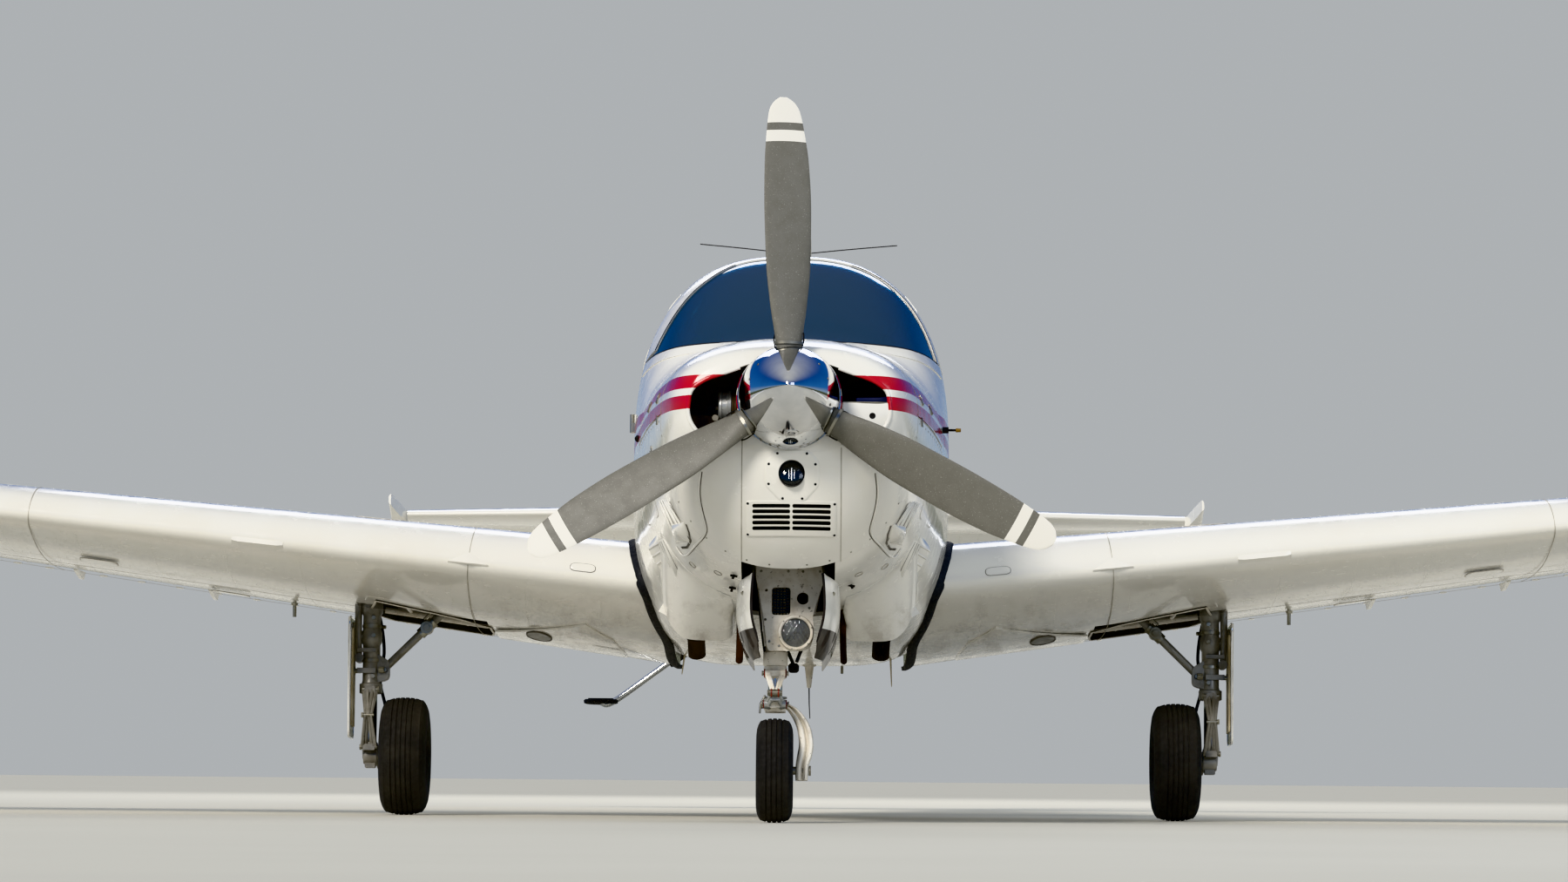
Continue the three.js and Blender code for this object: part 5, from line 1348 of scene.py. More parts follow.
def bladeRing(r, more=0.0, count=28):
    chord, angle, thick, lean = smoothTable(bladeTable, r)
    ring = []
    for i in range(count):
        a = 2 * math.pi * (i + 0.5) / count
        u, v = math.cos(a) * (chord + more) / 2 + lean, math.sin(a) * (thick + more) / 2
        c, s = math.cos(math.radians(angle)), math.sin(math.radians(angle))
        ring.append((u * c - v * s, u * s + v * c, r))
    return ring


spin = at(0, 0, 0, 0, propeller["turn"], 0)
turned = lambda shape, k: moved(shape, spin @ at(0, 0, 0, 0, 120 * k, 0))
bladeRadii = steps(0.1, 0.9, 0.025) + [0.92, 0.94, 0.96, 0.972, 0.982, 0.99, 0.997, 1.002, 1.005]
bladeShape = loft([bladeRing(r) for r in bladeRadii])
sleeve = loft([bladeRing(r, 0.012) for r in (0.095, 0.12, 0.15, 0.19, 0.24, 0.3)])
fineProfile = [(-0.33, 0.0)] + [
    (float(y), float(smoothTable(spinnerTable, y)[0]))
    for y in (
        -0.3295, -0.328, -0.326, -0.322, -0.317, -0.31, -0.3, -0.288, -0.27, -0.25, -0.23, -0.205, -0.18, -0.15, -0.12,
        -0.09, -0.06, -0.03, 0, 0.02, 0.034
    )
] + [(0.0345, 0.169), (0.044, 0.169)]
cone = carved(lathe(fineProfile + [(0.044, 0.0)], "y", 96), [turned(sleeve, k) for k in range(3)])
bladeVerts, bladeFaces = bladeShape
sideCount = 28
backFaces = [
    f
    for i, f in enumerate(bladeFaces[:-2]) if i % sideCount < sideCount // 2 - 1 or i % sideCount == sideCount - 1
]
frontFaces = [
    f
    for i, f in enumerate(bladeFaces[:-2]) if not (i % sideCount < sideCount // 2 - 1 or i % sideCount == sideCount - 1)
] + bladeFaces[-2:]
for k in range(3):
    shape = lambda faces: (turned((bladeVerts, faces), k)[0], faces)
    addPiece(
        f"propeller_blade_{k + 1}_skin", [(shape(frontFaces), bladeGrey), (shape(backFaces), bladeBlack)], "propeller",
        [f"propeller_blade_{k + 1}"], smooth=60
    )

# the polished cone, its back plate, the screws, the nose plug and the blade clamps
shaft = bar((0, 0.04, 0), (0, 0.2447, 0), propeller["shaft"], sides=40)


def coneSpot(y, angle, lift=0.0):
    # a place on the cone at an angle from upright, turned with the propeller
    r = float(smoothTable(spinnerTable, y)[0])
    slope = (float(smoothTable(spinnerTable, y + 0.004)[0]) - float(smoothTable(spinnerTable, y - 0.004)[0])) / 0.008
    a = math.radians(angle)
    n = np.array([math.sin(a), -slope, math.cos(a)])
    n /= np.linalg.norm(n)
    p = np.array([r * math.sin(a), y, r * math.cos(a)]) + n * lift
    return np.array(spin @ Vector(p)), np.array(spin.to_3x3() @ Vector(n))


def screwHead(p, n, radius=0.0045, high=0.0016, sides=14, slot=True):
    # a shallow domed head with a cross recess
    n = np.array(n) / np.linalg.norm(n)
    turn = Vector(n).to_track_quat("Z", "Y").to_matrix().to_4x4()
    head = lathe(
        [(-0.001, radius), (high * 0.5, radius), (high * 0.85, radius * 0.8), (high, radius * 0.45), (high, 0.0)], "z",
        sides
    )
    put = Matrix.Translation(p) @ turn
    if not slot:
        return moved(head, put)
    bars = [
        box((-radius * 0.55, radius * 0.55), (-radius * 0.1, radius * 0.1), (high - 0.0002, high + 0.0002)),
        box((-radius * 0.1, radius * 0.1), (-radius * 0.55, radius * 0.55), (high - 0.0002, high + 0.0002))
    ]
    return moved(merged(head, *bars), put)


coneScrews = []
for k in range(3):
    for offset in (-47, -38, -26, 26, 38, 47):
        coneScrews.append(screwHead(*coneSpot(0.022, 120 * k + offset), 0.005))
    for offset in (-12, 12):
        coneScrews.append(screwHead(*coneSpot(-0.128, 120 * k + 60 + offset), 0.0045))
plugPlace, plugOut = coneSpot(-0.128, 176)
plug = screwHead(plugPlace, plugOut, 0.02, 0.0035, 40, False)
backPlate = spinLoop(
    [(0.0465, 0.06), (0.0465, 0.172), (0.049, 0.1735), (0.053, 0.1735), (0.054, 0.172), (0.054, 0.06)], "y", 96
)
seamRing = sweep([coneSpot(0.012, a, -0.0002)[0] for a in np.linspace(0, 360, 73)], 0.0009, 6)
addPiece(
    "spinner_skin",
    [
        (cone, polishedAluminium), (shaft, zincSteel), (backPlate, polishedAluminium), (plug, polishedAluminium),
        (merged(*coneScrews), zincSteel), (seamRing, seamGrey)
    ],
    "propeller", ["spinner"], smooth=50
)

clampRadius = 0.176
clamps, leads = [], []
for k in range(3):
    band = loft([bladeRing(clampRadius + d, 0.012, 40) for d in (-0.0045, -0.0035, 0.0035, 0.0045)])
    clamps.append(turned(carved(band, [loft([bladeRing(clampRadius + d, -0.002, 40) for d in (-0.02, 0.02)])]), k))
    leads.append(
        turned(
            sweep(
                smoothPath(
                    [(0.036, 0.026, 0.16), (0.047, 0.012, 0.175), (0.05, 0.0, 0.195), (0.049, 0.004, 0.212)], 12
                ),
                0.0026, 8
            ),
            k
        )
    )
    leads.append(
        turned(
            sweep(
                smoothPath(
                    [(-0.043, 0.034, 0.16), (-0.048, 0.026, 0.178), (-0.049, 0.018, 0.196), (-0.046, 0.012, 0.21)], 12
                ),
                0.0024, 8
            ),
            k
        )
    )
addPiece("blade_root_clamps", [(merged(*clamps), zincSteel), (merged(*leads), blackFinishAndPaintedShade)], "propeller", smooth=60)
print("stage: propeller")

# wheels


def levelFromGround(y, z):
    c, s = math.cos(parkedPitch), math.sin(parkedPitch)
    return y * c - (z - hubPoint.z) * s, y * s + (z - hubPoint.z) * c


mainY, mainZ = levelFromGround(2.74, 0.222)
noseY, noseZ = levelFromGround(0.606, 0.178)
noseX, steerY = -0.042, noseY - 0.022
tyreSpecs = {
    "main": {
        "radius": 0.222, "half": 0.09, "bead": 0.08, "axle": 0.019, "grooves": 5, "groove": 0.0055, "depth": 0.0045
    },
    "nose": {
        "radius": 0.178, "half": 0.063, "bead": 0.065, "axle": 0.014, "grooves": 4, "groove": 0.005, "depth": 0.004
    },
}


def tyreProfile(spec):
    # (across, radius) round one tyre: beads, bulging side walls, a crowned tread with grooves
    R, H, B = spec["radius"], spec["half"], spec["bead"]
    wall = np.array(
        [
            [0, 0.72], [0.1, 0.84], [0.2, 0.92], [0.36, 0.985], [0.52, 1.0], [0.68, 0.965], [0.8, 0.895], [0.88, 0.82],
            [0.93, 0.745]
        ]
    )
    side = [(H * out, B + (R - B) * s) for s, out in wall]
    crown = lambda x: R - (R * 0.05) * (abs(x) / (H * 0.72)) ** 2.6
    n = spec["grooves"]
    centres = np.linspace(-0.42 * H, 0.42 * H, n)
    tread = [(0.69 * H, crown(0.69 * H)), (0.6 * H, crown(0.6 * H))]
    w, d = spec["groove"] / 2, spec["depth"]
    for c in centres[::-1]:
        tread += [
            (c + w + 0.0012, crown(c + w)), (c + w, crown(c + w) - 0.001), (c + w * 0.7, crown(c) - d),
            (c - w * 0.7, crown(c) - d), (c - w, crown(c - w) - 0.001), (c - w - 0.0012, crown(c - w))
        ]
    tread += [(-0.6 * H, crown(0.6 * H)), (-0.69 * H, crown(0.69 * H))]
    other = [(-x, r) for x, r in reversed(side)]
    return side + tread + other + [(-H * 0.5, B + 0.0004), (H * 0.5, B + 0.0004)]


def wheelShapes(spec):
    H, B, axle = spec["half"], spec["bead"], spec["axle"]
    e = B - 0.0003
    rim = [
        (axle + 0.0003, 0.5), (axle + 0.012, 0.5), (axle + 0.016, 0.42), (B * 0.55, 0.4), (B * 0.66, 0.5),
        (B * 0.78, 0.66), (e - 0.004, 0.74), (e, 0.74)
    ]
    profile = [(-H * o, r) for r, o in rim] + [(H * o, r) for r, o in reversed(rim)]
    disc = spinLoop(profile, "x", 72)
    holes = []
    for i in range(8):
        a = 2 * math.pi * i / 8
        holes.append(
            bar(
                (-H, math.cos(a) * B * 0.5, math.sin(a) * B * 0.5), (H, math.cos(a) * B * 0.5, math.sin(a) * B * 0.5),
                B * 0.1, sides=14
            )
        )
    bolts = []
    for i in range(8):
        a = 2 * math.pi * (i + 0.5) / 8
        for s in (-1, 1):
            c = (math.cos(a) * B * 0.5, math.sin(a) * B * 0.5)
            bolts.append(bar((s * H * 0.38, *c), (s * (H * 0.4 + 0.007), *c), 0.0055, sides=6))
    cap = lathe(
        [
            (-H * 0.5 - 0.004, 0.0), (-H * 0.5 - 0.004, axle + 0.004), (-H * 0.5 - 0.001, axle + 0.009),
            (-H * 0.46, axle + 0.009), (-H * 0.46, 0.0)
        ],
        "x", 40
    )
    return carved(disc, holes), merged(*bolts), cap


wheels = {
    "main_left": ("main", (1.46, mainY, mainZ), 1), "main_right": ("main", (-1.46, mainY, mainZ), -1),
    "nose": ("nose", (noseX, noseY, noseZ), 1),
}
for name, (kind, centre, side) in wheels.items():
    spec = tyreSpecs[kind]
    body = "nose_wheel" if name == "nose" else f"main_wheel_{name.split('_')[1]}"
    put = Matrix.Translation(centre)
    disc, bolts, cap = wheelShapes(spec)
    tyre = spinLoop(tyreProfile(spec), "x", 128)
    stem = bar((0, spec["bead"] * 0.76, 0.0), (-spec["half"] * 0.86, spec["bead"] * 0.82, 0.0), 0.0035, sides=10)
    addPiece(f"{name}_tyre_skin", [(moved(onSide(tyre, side), put), tyreRubber)], body, [f"{name}_tyre"], smooth=32)
    wheelParts = [
        (moved(onSide(disc, side), put), wheelAlloy), (moved(onSide(bolts, side), put), zincSteel),
        (moved(onSide(stem, side), put), sealRubber)
    ]
    if kind == "main":
        inner = spinLoop(
            [
                (-spec["half"] * 0.66, 0.026), (-spec["half"] * 0.66, 0.071), (-spec["half"] * 0.78, 0.071),
                (-spec["half"] * 0.78, 0.026)
            ],
            "x", 64
        )
        wheelParts.append((moved(onSide(mirrored(inner), side), put), chromedSteel))
    addPiece(f"{name}_wheel_skin", wheelParts, body, [f"{name}_wheel"], smooth=35)
print("stage: wheels")

# main landing gear

leg = {"x": 1.592}
wellRoof = well["roof"]


def nut(a, b, radius, sides=6):
    return bar(a, b, radius, sides=sides)


def strap(a, b, width, thick, side=(0, 1, 0)):
    a, b, side = np.array(a, float), np.array(b, float), np.array(side, float)
    z = (b - a) / np.linalg.norm(b - a)
    y = side - z * np.dot(side, z)
    y /= np.linalg.norm(y)
    x = np.cross(y, z)
    corners = rect((1, -1), (1, -1))
    return loft([[q + x * u * thick / 2 + y * v * width / 2 for u, v in corners] for q in (a, b)])


def taperLink(a, b, wa, wb, thick, side=(0, 1, 0)):
    # a forged link, thicker at its ends, with a lightening groove
    a, b, side = np.array(a, float), np.array(b, float), np.array(side, float)
    z = (b - a) / np.linalg.norm(b - a)
    y = side - z * np.dot(side, z)
    y /= np.linalg.norm(y)
    x = np.cross(y, z)
    rings = []
    for t in np.linspace(0, 1, 9):
        w = wa + (wb - wa) * t
        k = thick * (0.65 + 0.35 * abs(2 * t - 1) ** 2)
        q = a + (b - a) * t
        ring = [
            (1, 0.75), (0.75, 1), (-0.75, 1), (-1, 0.75), (-1, 0.2), (-0.55, 0.1), (-0.55, -0.1), (-1, -0.2),
            (-1, -0.75), (-0.75, -1), (0.75, -1), (1, -0.75), (1, -0.2), (0.55, -0.1), (0.55, 0.1), (1, 0.2)
        ]
        rings.append([q + x * u * k / 2 + y * v * w / 2 for u, v in ring])
    return loft(rings)


def stepped(x, y, table, sides=32):
    # a turned upright: rows of (height, radius)
    return moved(lathe([(z, r) for z, r in table], "z", sides), Matrix.Translation((x, y, 0)))


x, y, z = leg["x"], mainY, mainZ
top = wellRoof - 0.0003
barrel = stepped(
    x, y,
    [
        (z + 0.235, 0.0), (z + 0.235, 0.038), (z + 0.238, 0.044), (z + 0.272, 0.044), (z + 0.275, 0.036),
        (z + 0.285, 0.033), (z + 0.42, 0.033), (z + 0.43, 0.039), (z + 0.47, 0.039), (z + 0.48, 0.034), (-0.52, 0.034),
        (-0.51, 0.041), (-0.46, 0.041), (-0.45, 0.038), (top, 0.038), (top, 0.0)
    ]
)
sideLug = carved(
    prism(
        rounded([(x - 0.07, z + 0.36), (x, z + 0.4), (x, z + 0.27), (x - 0.07, z + 0.29)], 0.018), "y", y - 0.022,
        y + 0.022
    ),
    [bar((x - 0.052, y - 0.05, z + 0.325), (x - 0.052, y + 0.05, z + 0.325), 0.009)]
)
secondTube = merged(
    sweep(
        [(x + 0.052, y - 0.012, -0.4), (x + 0.05, y - 0.014, -0.6), (x + 0.046, y - 0.014, z + 0.36)],
        [0.0145, 0.0135, 0.012], 16
    ),
    bar((x + 0.048, y - 0.04, -0.46), (x + 0.048, y + 0.03, -0.46), 0.019, sides=24),
    bar((x + 0.046, y - 0.036, z + 0.37), (x + 0.046, y + 0.02, z + 0.37), 0.018, sides=24),
    strap((x, y - 0.005, z + 0.37), (x + 0.048, y - 0.008, z + 0.37), 0.024, 0.022),
    strap((x, y - 0.005, -0.6), (x + 0.05, y - 0.01, -0.6), 0.02, 0.012),
)
chromePiston = stepped(x, y, [(z - 0.004, 0.0), (z - 0.004, 0.024), (z + 0.236, 0.024), (z + 0.236, 0.0)])
knuckleCast = merged(
    moved(
        lathe([(-0.03, 0.0), (-0.03, 0.03), (-0.026, 0.034), (0.018, 0.034), (0.024, 0.03), (0.024, 0.0)], "x", 40),
        Matrix.Translation((x, y, z))
    ),
    stepped(x, y, [(z - 0.012, 0.0), (z - 0.012, 0.028), (z + 0.03, 0.031), (z + 0.05, 0.029), (z + 0.056, 0.0)]),
    prism(rounded(rect((x - 0.022, x + 0.018), (z - 0.046, z - 0.016)), 0.005, 3), "y", y - 0.02, y + 0.02),
)
axle = bar((x + 0.02, y, z), (1.408, y, z), 0.019, sides=28)
upperScissor = [
    taperLink(
        (x + s * 0.017, y - 0.05, z + 0.25), (x + s * 0.006, y - 0.118, z + 0.147), 0.03, 0.02, 0.012, (0, 0.6, 1)
    )
    for s in (-1, 1)
]
lowerScissor = [
    taperLink(
        (x + s * 0.007, y - 0.118, z + 0.148), (x + s * 0.018, y - 0.052, z + 0.03), 0.02, 0.03, 0.012, (0, -0.6, 1)
    )
    for s in (-1, 1)
]
scissorPins = merged(
    bar((x - 0.03, y - 0.05, z + 0.25), (x + 0.03, y - 0.05, z + 0.25), 0.007, sides=14),
    nut((x - 0.035, y - 0.05, z + 0.25), (x - 0.028, y - 0.05, z + 0.25), 0.012),
    bar((x - 0.022, y - 0.118, z + 0.1475), (x + 0.022, y - 0.118, z + 0.1475), 0.006, sides=14),
    nut((x + 0.018, y - 0.118, z + 0.1475), (x + 0.026, y - 0.118, z + 0.1475), 0.011),
    bar((x - 0.03, y - 0.052, z + 0.03), (x + 0.03, y - 0.052, z + 0.03), 0.007, sides=14),
    nut((x + 0.028, y - 0.052, z + 0.03), (x + 0.036, y - 0.052, z + 0.03), 0.012),
)
scissorLugs = merged(
    box((x - 0.02, x + 0.02), (y - 0.062, y - 0.02), (z + 0.236, z + 0.262)),
    box((x - 0.022, x + 0.022), (y - 0.064, y), (z + 0.018, z + 0.042))
)
trunnion = merged(
    bar((x - 0.06, y, wellRoof - 0.06), (x + 0.03, y, wellRoof - 0.06), 0.022, sides=28),
    bar((x - 0.052, y, wellRoof - 0.06), (x - 0.044, y, wellRoof - 0.06), 0.03, sides=28)
)
# brake: disc carrier, caliper over the disc's rear edge, and its hose
caliperX = 1.46 + 0.063
caliper = merged(
    prism(
        rounded(rect((y + 0.035, y + 0.098), (z - 0.045, z + 0.045)), 0.02, 4), "x", caliperX + 0.012, caliperX + 0.045
    ),
    bar((caliperX + 0.04, y + 0.068, z + 0.02), (caliperX + 0.062, y + 0.068, z + 0.02), 0.016, sides=20),
    bar((caliperX + 0.04, y + 0.068, z - 0.02), (caliperX + 0.062, y + 0.068, z - 0.02), 0.016, sides=20),
    box((caliperX + 0.02, x + 0.01), (y, y + 0.06), (z - 0.008, z + 0.008)),
)
hoseLine = [
    (x - 0.012, y + 0.045, -0.47), (x - 0.034, y + 0.048, -0.56), (x - 0.044, y + 0.046, -0.66),
    (x - 0.03, y + 0.044, -0.76), (x - 0.052, y + 0.05, -0.86), (x - 0.066, y + 0.06, -0.95),
    (x - 0.05, y + 0.075, -1.02), (x - 0.03, y + 0.07, z)
]


hose = sweep(smoothPath(hoseLine), 0.0062, 10)
hardLine = sweep(
    smoothPath(
        [
            (x + 0.03, y + 0.036, -0.42), (x + 0.034, y + 0.04, -0.62), (x + 0.02, y + 0.042, -0.74),
            (x + 0.034, y + 0.036, z + 0.28)
        ]
    ),
    0.0038, 8
)
clips = merged(
    *[nut((x - 0.05, y + 0.03, h), (x + 0.02, y + 0.052, h + 0.004), 0.008) for h in (-0.56, -0.76)],
    *[bar((x, y, h - 0.006), (x, y, h + 0.006), 0.0365, sides=32) for h in (-0.56, -0.69, -0.62)]
)
hoseEnds = merged(
    nut((x - 0.012, y + 0.045, -0.455), (x - 0.015, y + 0.046, -0.485), 0.0105),
    nut((x - 0.05, y + 0.075, -1.02), (x - 0.045, y + 0.074, -1.035), 0.01)
)
legBolts = []
for h in (-0.475, -0.53, z + 0.455, z + 0.3):
    legBolts.append(nut((x - 0.01, y - 0.052, h), (x - 0.01, y - 0.03, h), 0.009))
legBolts.append(nut((x - 0.03, y - 0.03, z + 0.325), (x - 0.052, y - 0.032, z + 0.325), 0.013))
legBolts = merged(*legBolts, bar((x - 0.052, y - 0.03, z + 0.325), (x - 0.052, y + 0.03, z + 0.325), 0.0085, sides=16))
plateRing = merged(
    box((x - 0.02, x + 0.052), (y - 0.045, y - 0.03), (-0.66, -0.645)),
    box((x - 0.02, x + 0.052), (y - 0.04, y - 0.028), (-0.74, -0.72))
)
# the side brace folds at a knuckle half way
foot, head = np.array([x - 0.0383, y, z + 0.32]), np.array([well["in"] + 0.04, y, top - 0.016])
alongBrace = lambda t: foot + (head - foot) * t
braceTubes = merged(
    bar(alongBrace(0.03), alongBrace(0.42), 0.015, 0.0155, 24),
    bar(alongBrace(0.52), alongBrace(0.99), 0.0165, 0.017, 24)
)
braceKnuckle = merged(
    bar(alongBrace(0.4), alongBrace(0.44), 0.021, 0.021, 24), bar(alongBrace(0.5), alongBrace(0.54), 0.021, 0.023, 24),
    bar(alongBrace(0.47) + [0, -0.03, 0], alongBrace(0.47) + [0, 0.03, 0], 0.024, sides=28),
    nut(alongBrace(0.47) + [0, -0.038, 0], alongBrace(0.47) + [0, -0.03, 0], 0.014),
    strap(alongBrace(0.42), alongBrace(0.52), 0.024, 0.02),
)
rod = sweep(
    smoothPath(
        [
            alongBrace(0.47) + [0.01, -0.035, 0.03], alongBrace(0.7) + [0, -0.035, 0.035],
            alongBrace(0.96) + [0, -0.035, 0.03]
        ]
    ),
    0.005, 8
)
braceFoot = bar(alongBrace(0.0), alongBrace(0.05), 0.018, 0.016, 24)
headLug = prism(
    rounded(
        [
            (head[0] - 0.03, top - 0.05), (head[0] + 0.03, top - 0.05), (head[0] + 0.03, top - 0.0003),
            (head[0] - 0.03, top - 0.0003)
        ],
        0.012, 3
    ),
    "y", y - 0.022, y + 0.022
)
# leg door: a polished edge, an inner stiffener and its lugs
doorX = (1.664, 1.672)
doorOutline = rounded([(y - 0.13, -0.53), (y + 0.12, -0.53), (y + 0.085, -0.985), (y - 0.085, -0.985)], 0.03)
doorSheet = prism(doorOutline, "x", *doorX)
edge = doorOutline + doorOutline[:1]
doorRim = sweep([(doorX[0] + 0.001, a, b) for a, b in edge], 0.0035, 8)
stiffener = merged(
    *[
        prism(
            rounded(
                [(y - 0.035 + d, -0.57), (y + 0.005 + d, -0.57), (y + 0.0 + d, -0.94), (y - 0.03 + d, -0.94)], 0.012, 3
            ),
            "x", doorX[0] - 0.007, doorX[0]
        )
        for d in (-0.03, 0.06)
    ]
)
doorLugs = merged(
    *[bar((x + 0.0387, y, h), (doorX[0] + 0.002, y, h), 0.009, sides=20) for h in (-0.56, -0.73)],
    *[nut((doorX[0] - 0.012, y, h), (doorX[0], y, h), 0.016, 20) for h in (-0.56, -0.73)]
)
for side, name in bothSides:
    s = lambda shape: onSide(shape, side)
    addPiece(
        f"main_leg_{name}_skin",
        [
            (s(merged(barrel, sideLug, secondTube, trunnion, plateRing)), gearGrey),
            (s(merged(knuckleCast, scissorLugs, caliper)), gearGrey),
            (s(merged(*upperScissor, *lowerScissor)), gearGrey), (s(chromePiston), chromedSteel),
            (s(merged(axle, scissorPins, legBolts, clips)), zincSteel), (s(hose), sealRubber),
            (s(merged(hardLine, hoseEnds)), zincSteel),
        ],
        replaces=[f"main_leg_{name}"], bevel=0.0015
    )
    addPiece(
        f"main_brace_{name}_skin",
        [(s(merged(braceTubes, headLug, braceFoot)), gearGrey), (s(merged(braceKnuckle, rod)), zincSteel)],
        replaces=[f"main_brace_{name}"], bevel=0.001
    )
    addPiece(
        f"gear_door_{name}_skin",
        [
            (s(doorSheet), wingPaint), (s(doorRim), polishedAluminium), (s(stiffener), creamBaffle),
            (s(doorLugs), zincSteel)
        ],
        replaces=[f"gear_door_{name}"], bevel=0.001
    )
print("stage: main gear")

# nose gear

x, y, z = noseX, steerY, noseZ
top = -0.265 - 0.0003
collarZ, crownZ = z + 0.355, z + 0.204
barrel = stepped(
    x, y,
    [
        (collarZ, 0.0), (collarZ, 0.04), (collarZ + 0.003, 0.042), (collarZ + 0.047, 0.042), (collarZ + 0.05, 0.037),
        (collarZ + 0.09, 0.034), (-0.5, 0.034), (-0.49, 0.038), (-0.45, 0.038), (-0.44, 0.036), (top, 0.036), (top, 0.0)
    ]
)
plateY = y - 0.095
plateLine = rounded(
    [
        (-0.107, -0.5), (0.122, -0.5), (0.1265, -0.55), (0.083, -0.69), (0.09, -0.745), (0.077, -0.796), (0.05, -0.806),
        (-0.066, -0.806), (-0.072, -0.79), (-0.084, -0.69), (-0.112, -0.55)
    ],
    0.016, 4
)
window = rounded(rect((-0.0555, 0.0075), (-0.59, -0.684)), 0.012, 4)
taxi = {"x": 0.0268, "z": -0.745}
plate = carved(
    prism(plateLine, "y", plateY, plateY + 0.012),
    [
        prism(window, "y", plateY - 0.1, plateY + 0.1),
        bar((0.0505, plateY - 0.1, -0.627), (0.0505, plateY + 0.1, -0.627), 0.0205, sides=32),
        bar((-0.074, plateY - 0.1, -0.6), (-0.074, plateY + 0.1, -0.6), 0.0045, sides=16),
        bar((taxi["x"], plateY - 0.1, taxi["z"]), (taxi["x"], plateY + 0.1, taxi["z"]), 0.048, sides=48),
    ]
)
plateFlange = merged(
    *[
        sweep([(a, plateY + 0.012, b), (c, plateY + 0.012, d)], 0.006, 8)
        for (a, b), (c, d) in (
            ((-0.109, -0.51), (-0.075, -0.79)), ((0.122, -0.52), (0.088, -0.68)), ((-0.1, -0.505), (0.118, -0.505))
        )
    ]
)
lampRing = spinLoop(
    [(-0.012, 0.0492), (-0.016, 0.053), (-0.016, 0.058), (-0.012, 0.061), (0.004, 0.061), (0.004, 0.0492)], "y", 64
)
lampPut = Matrix.Translation((taxi["x"], plateY, taxi["z"]))
domeRadii = np.linspace(0.0, 0.0495, 30)
domeDepth = lambda r: -0.02 + 0.009 * (r / 0.0495) ** 2
lensDome = lathe([(domeDepth(r), r) for r in domeRadii] + [(domeDepth(r) + 0.002, r) for r in domeRadii[::-1]], "y", 72)
# pillows pressed into the glass scatter what it mirrors
lensVerts = np.array(lensDome[0])
lensVerts[:, 1] += 0.0013 * np.cos(
    lensVerts[:, 0] * 2 * math.pi / 0.015
) * np.cos(lensVerts[:, 2] * 2 * math.pi / 0.024) * np.clip(
    (0.047 - np.hypot(lensVerts[:, 0], lensVerts[:, 2])) / 0.006, 0, 1
)
lensDome = (lensVerts, lensDome[1])
mirrorBowl = lathe(
    [
        (0.034, 0.0), (0.033, 0.012), (0.027, 0.026), (0.015, 0.039), (-0.004, 0.0488), (-0.009, 0.0492),
        (-0.004, 0.0492), (0.017, 0.041), (0.029, 0.028), (0.035, 0.013), (0.036, 0.0)
    ],
    "y", 48
)
bulb = merged(
    bar((0, 0.03, 0), (0, 0.002, 0), 0.006, sides=14),
    sweep([(-0.008, 0.0, 0), (-0.004, -0.003, 0), (0.004, -0.003, 0), (0.008, 0.0, 0)], 0.0009, 6)
)
lampCan = lathe(
    [(0.004, 0.0), (0.004, 0.056), (0.022, 0.05), (0.045, 0.032), (0.05, 0.014), (0.056, 0.012), (0.056, 0.0)], "y", 40
)
cooler = merged(
    *[box((-0.052, 0.004), (plateY + 0.02, plateY + 0.03), (h, h + 0.004)) for h in np.linspace(-0.675, -0.598, 9)],
    *[box((a, a + 0.003), (plateY + 0.026, plateY + 0.034), (-0.684, -0.59)) for a in np.linspace(-0.052, 0.002, 6)]
)
struts = merged(
    box((x - 0.03, x + 0.03), (plateY + 0.05, y), (-0.62, -0.56)),
    box((x - 0.03, x + 0.03), (plateY + 0.008, y), (-0.78, -0.74)),
    *[
        prism([(plateY + 0.006, -0.52), (plateY + 0.006, -0.74), (y, -0.66), (y, -0.52)], "x", low, low + 0.004)
        for low in (-0.088, 0.068)
    ],
    bar((x, y + 0.02, -0.7), (x + 0.02, 1.09, -0.49), 0.016, sides=24),
    bar((-0.11, y, -0.47), (0.11, y, -0.47), 0.02, sides=24),
)
bayLines = merged(
    sweep(
        smoothPath(
            [(0.09, y - 0.02, -0.45), (0.085, y - 0.03, -0.6), (0.06, y - 0.02, -0.75), (0.03, y - 0.02, -0.84)]
        ),
        0.006, 10
    ),
    sweep(
        smoothPath([(-0.095, y, -0.45), (-0.1, y - 0.02, -0.6), (-0.09, y - 0.01, -0.72), (-0.075, y - 0.01, -0.83)]),
        0.005, 10
    ),
)
knob = merged(
    moved(
        lathe([(-0.012, 0.0), (-0.012, 0.012), (-0.006, 0.018), (0.012, 0.019), (0.02, 0.012), (0.02, 0.0)], "z", 24),
        Matrix.Translation((0.02, y + 0.03, -0.86))
    ),
    bar((0.02, y + 0.03, -0.845), (0.0, y + 0.02, -0.8), 0.006, sides=12)
)
plateBolts = []
for a, b in (
    (-0.092, -0.535), (0.108, -0.535), (-0.0, -0.535), (0.05, -0.535), (-0.062, -0.775), (-0.03, -0.79), (-0.077, -0.7),
    (0.072, -0.66)
):
    plateBolts.append(screwHead((a, plateY, b), (0, -1, 0), 0.0045, 0.002, 12))
for i in range(6):
    a = math.pi / 3 * i + 0.3
    plateBolts.append(
        screwHead(
            (taxi["x"] + 0.0565 * math.cos(a), plateY - 0.0155, taxi["z"] + 0.0565 * math.sin(a)), (0, -1, 0), 0.0028,
            0.0012, 10
        )
    )
addPiece(
    "nose_leg_skin",
    [
        (merged(barrel, struts), gearWhite), (merged(plate, plateFlange, moved(lampRing, lampPut)), gearWhite),
        (cooler, blackAlloy), (moved(lampCan, lampPut), gearGrey), (moved(mirrorBowl, lampPut), lampMirror),
        (moved(bulb, lampPut), zincSteel), (bayLines, sealRubber), (knob, blackFinishAndPaintedShade), (merged(*plateBolts), zincSteel),
    ],
    replaces=["nose_leg"], bevel=0.0012
)
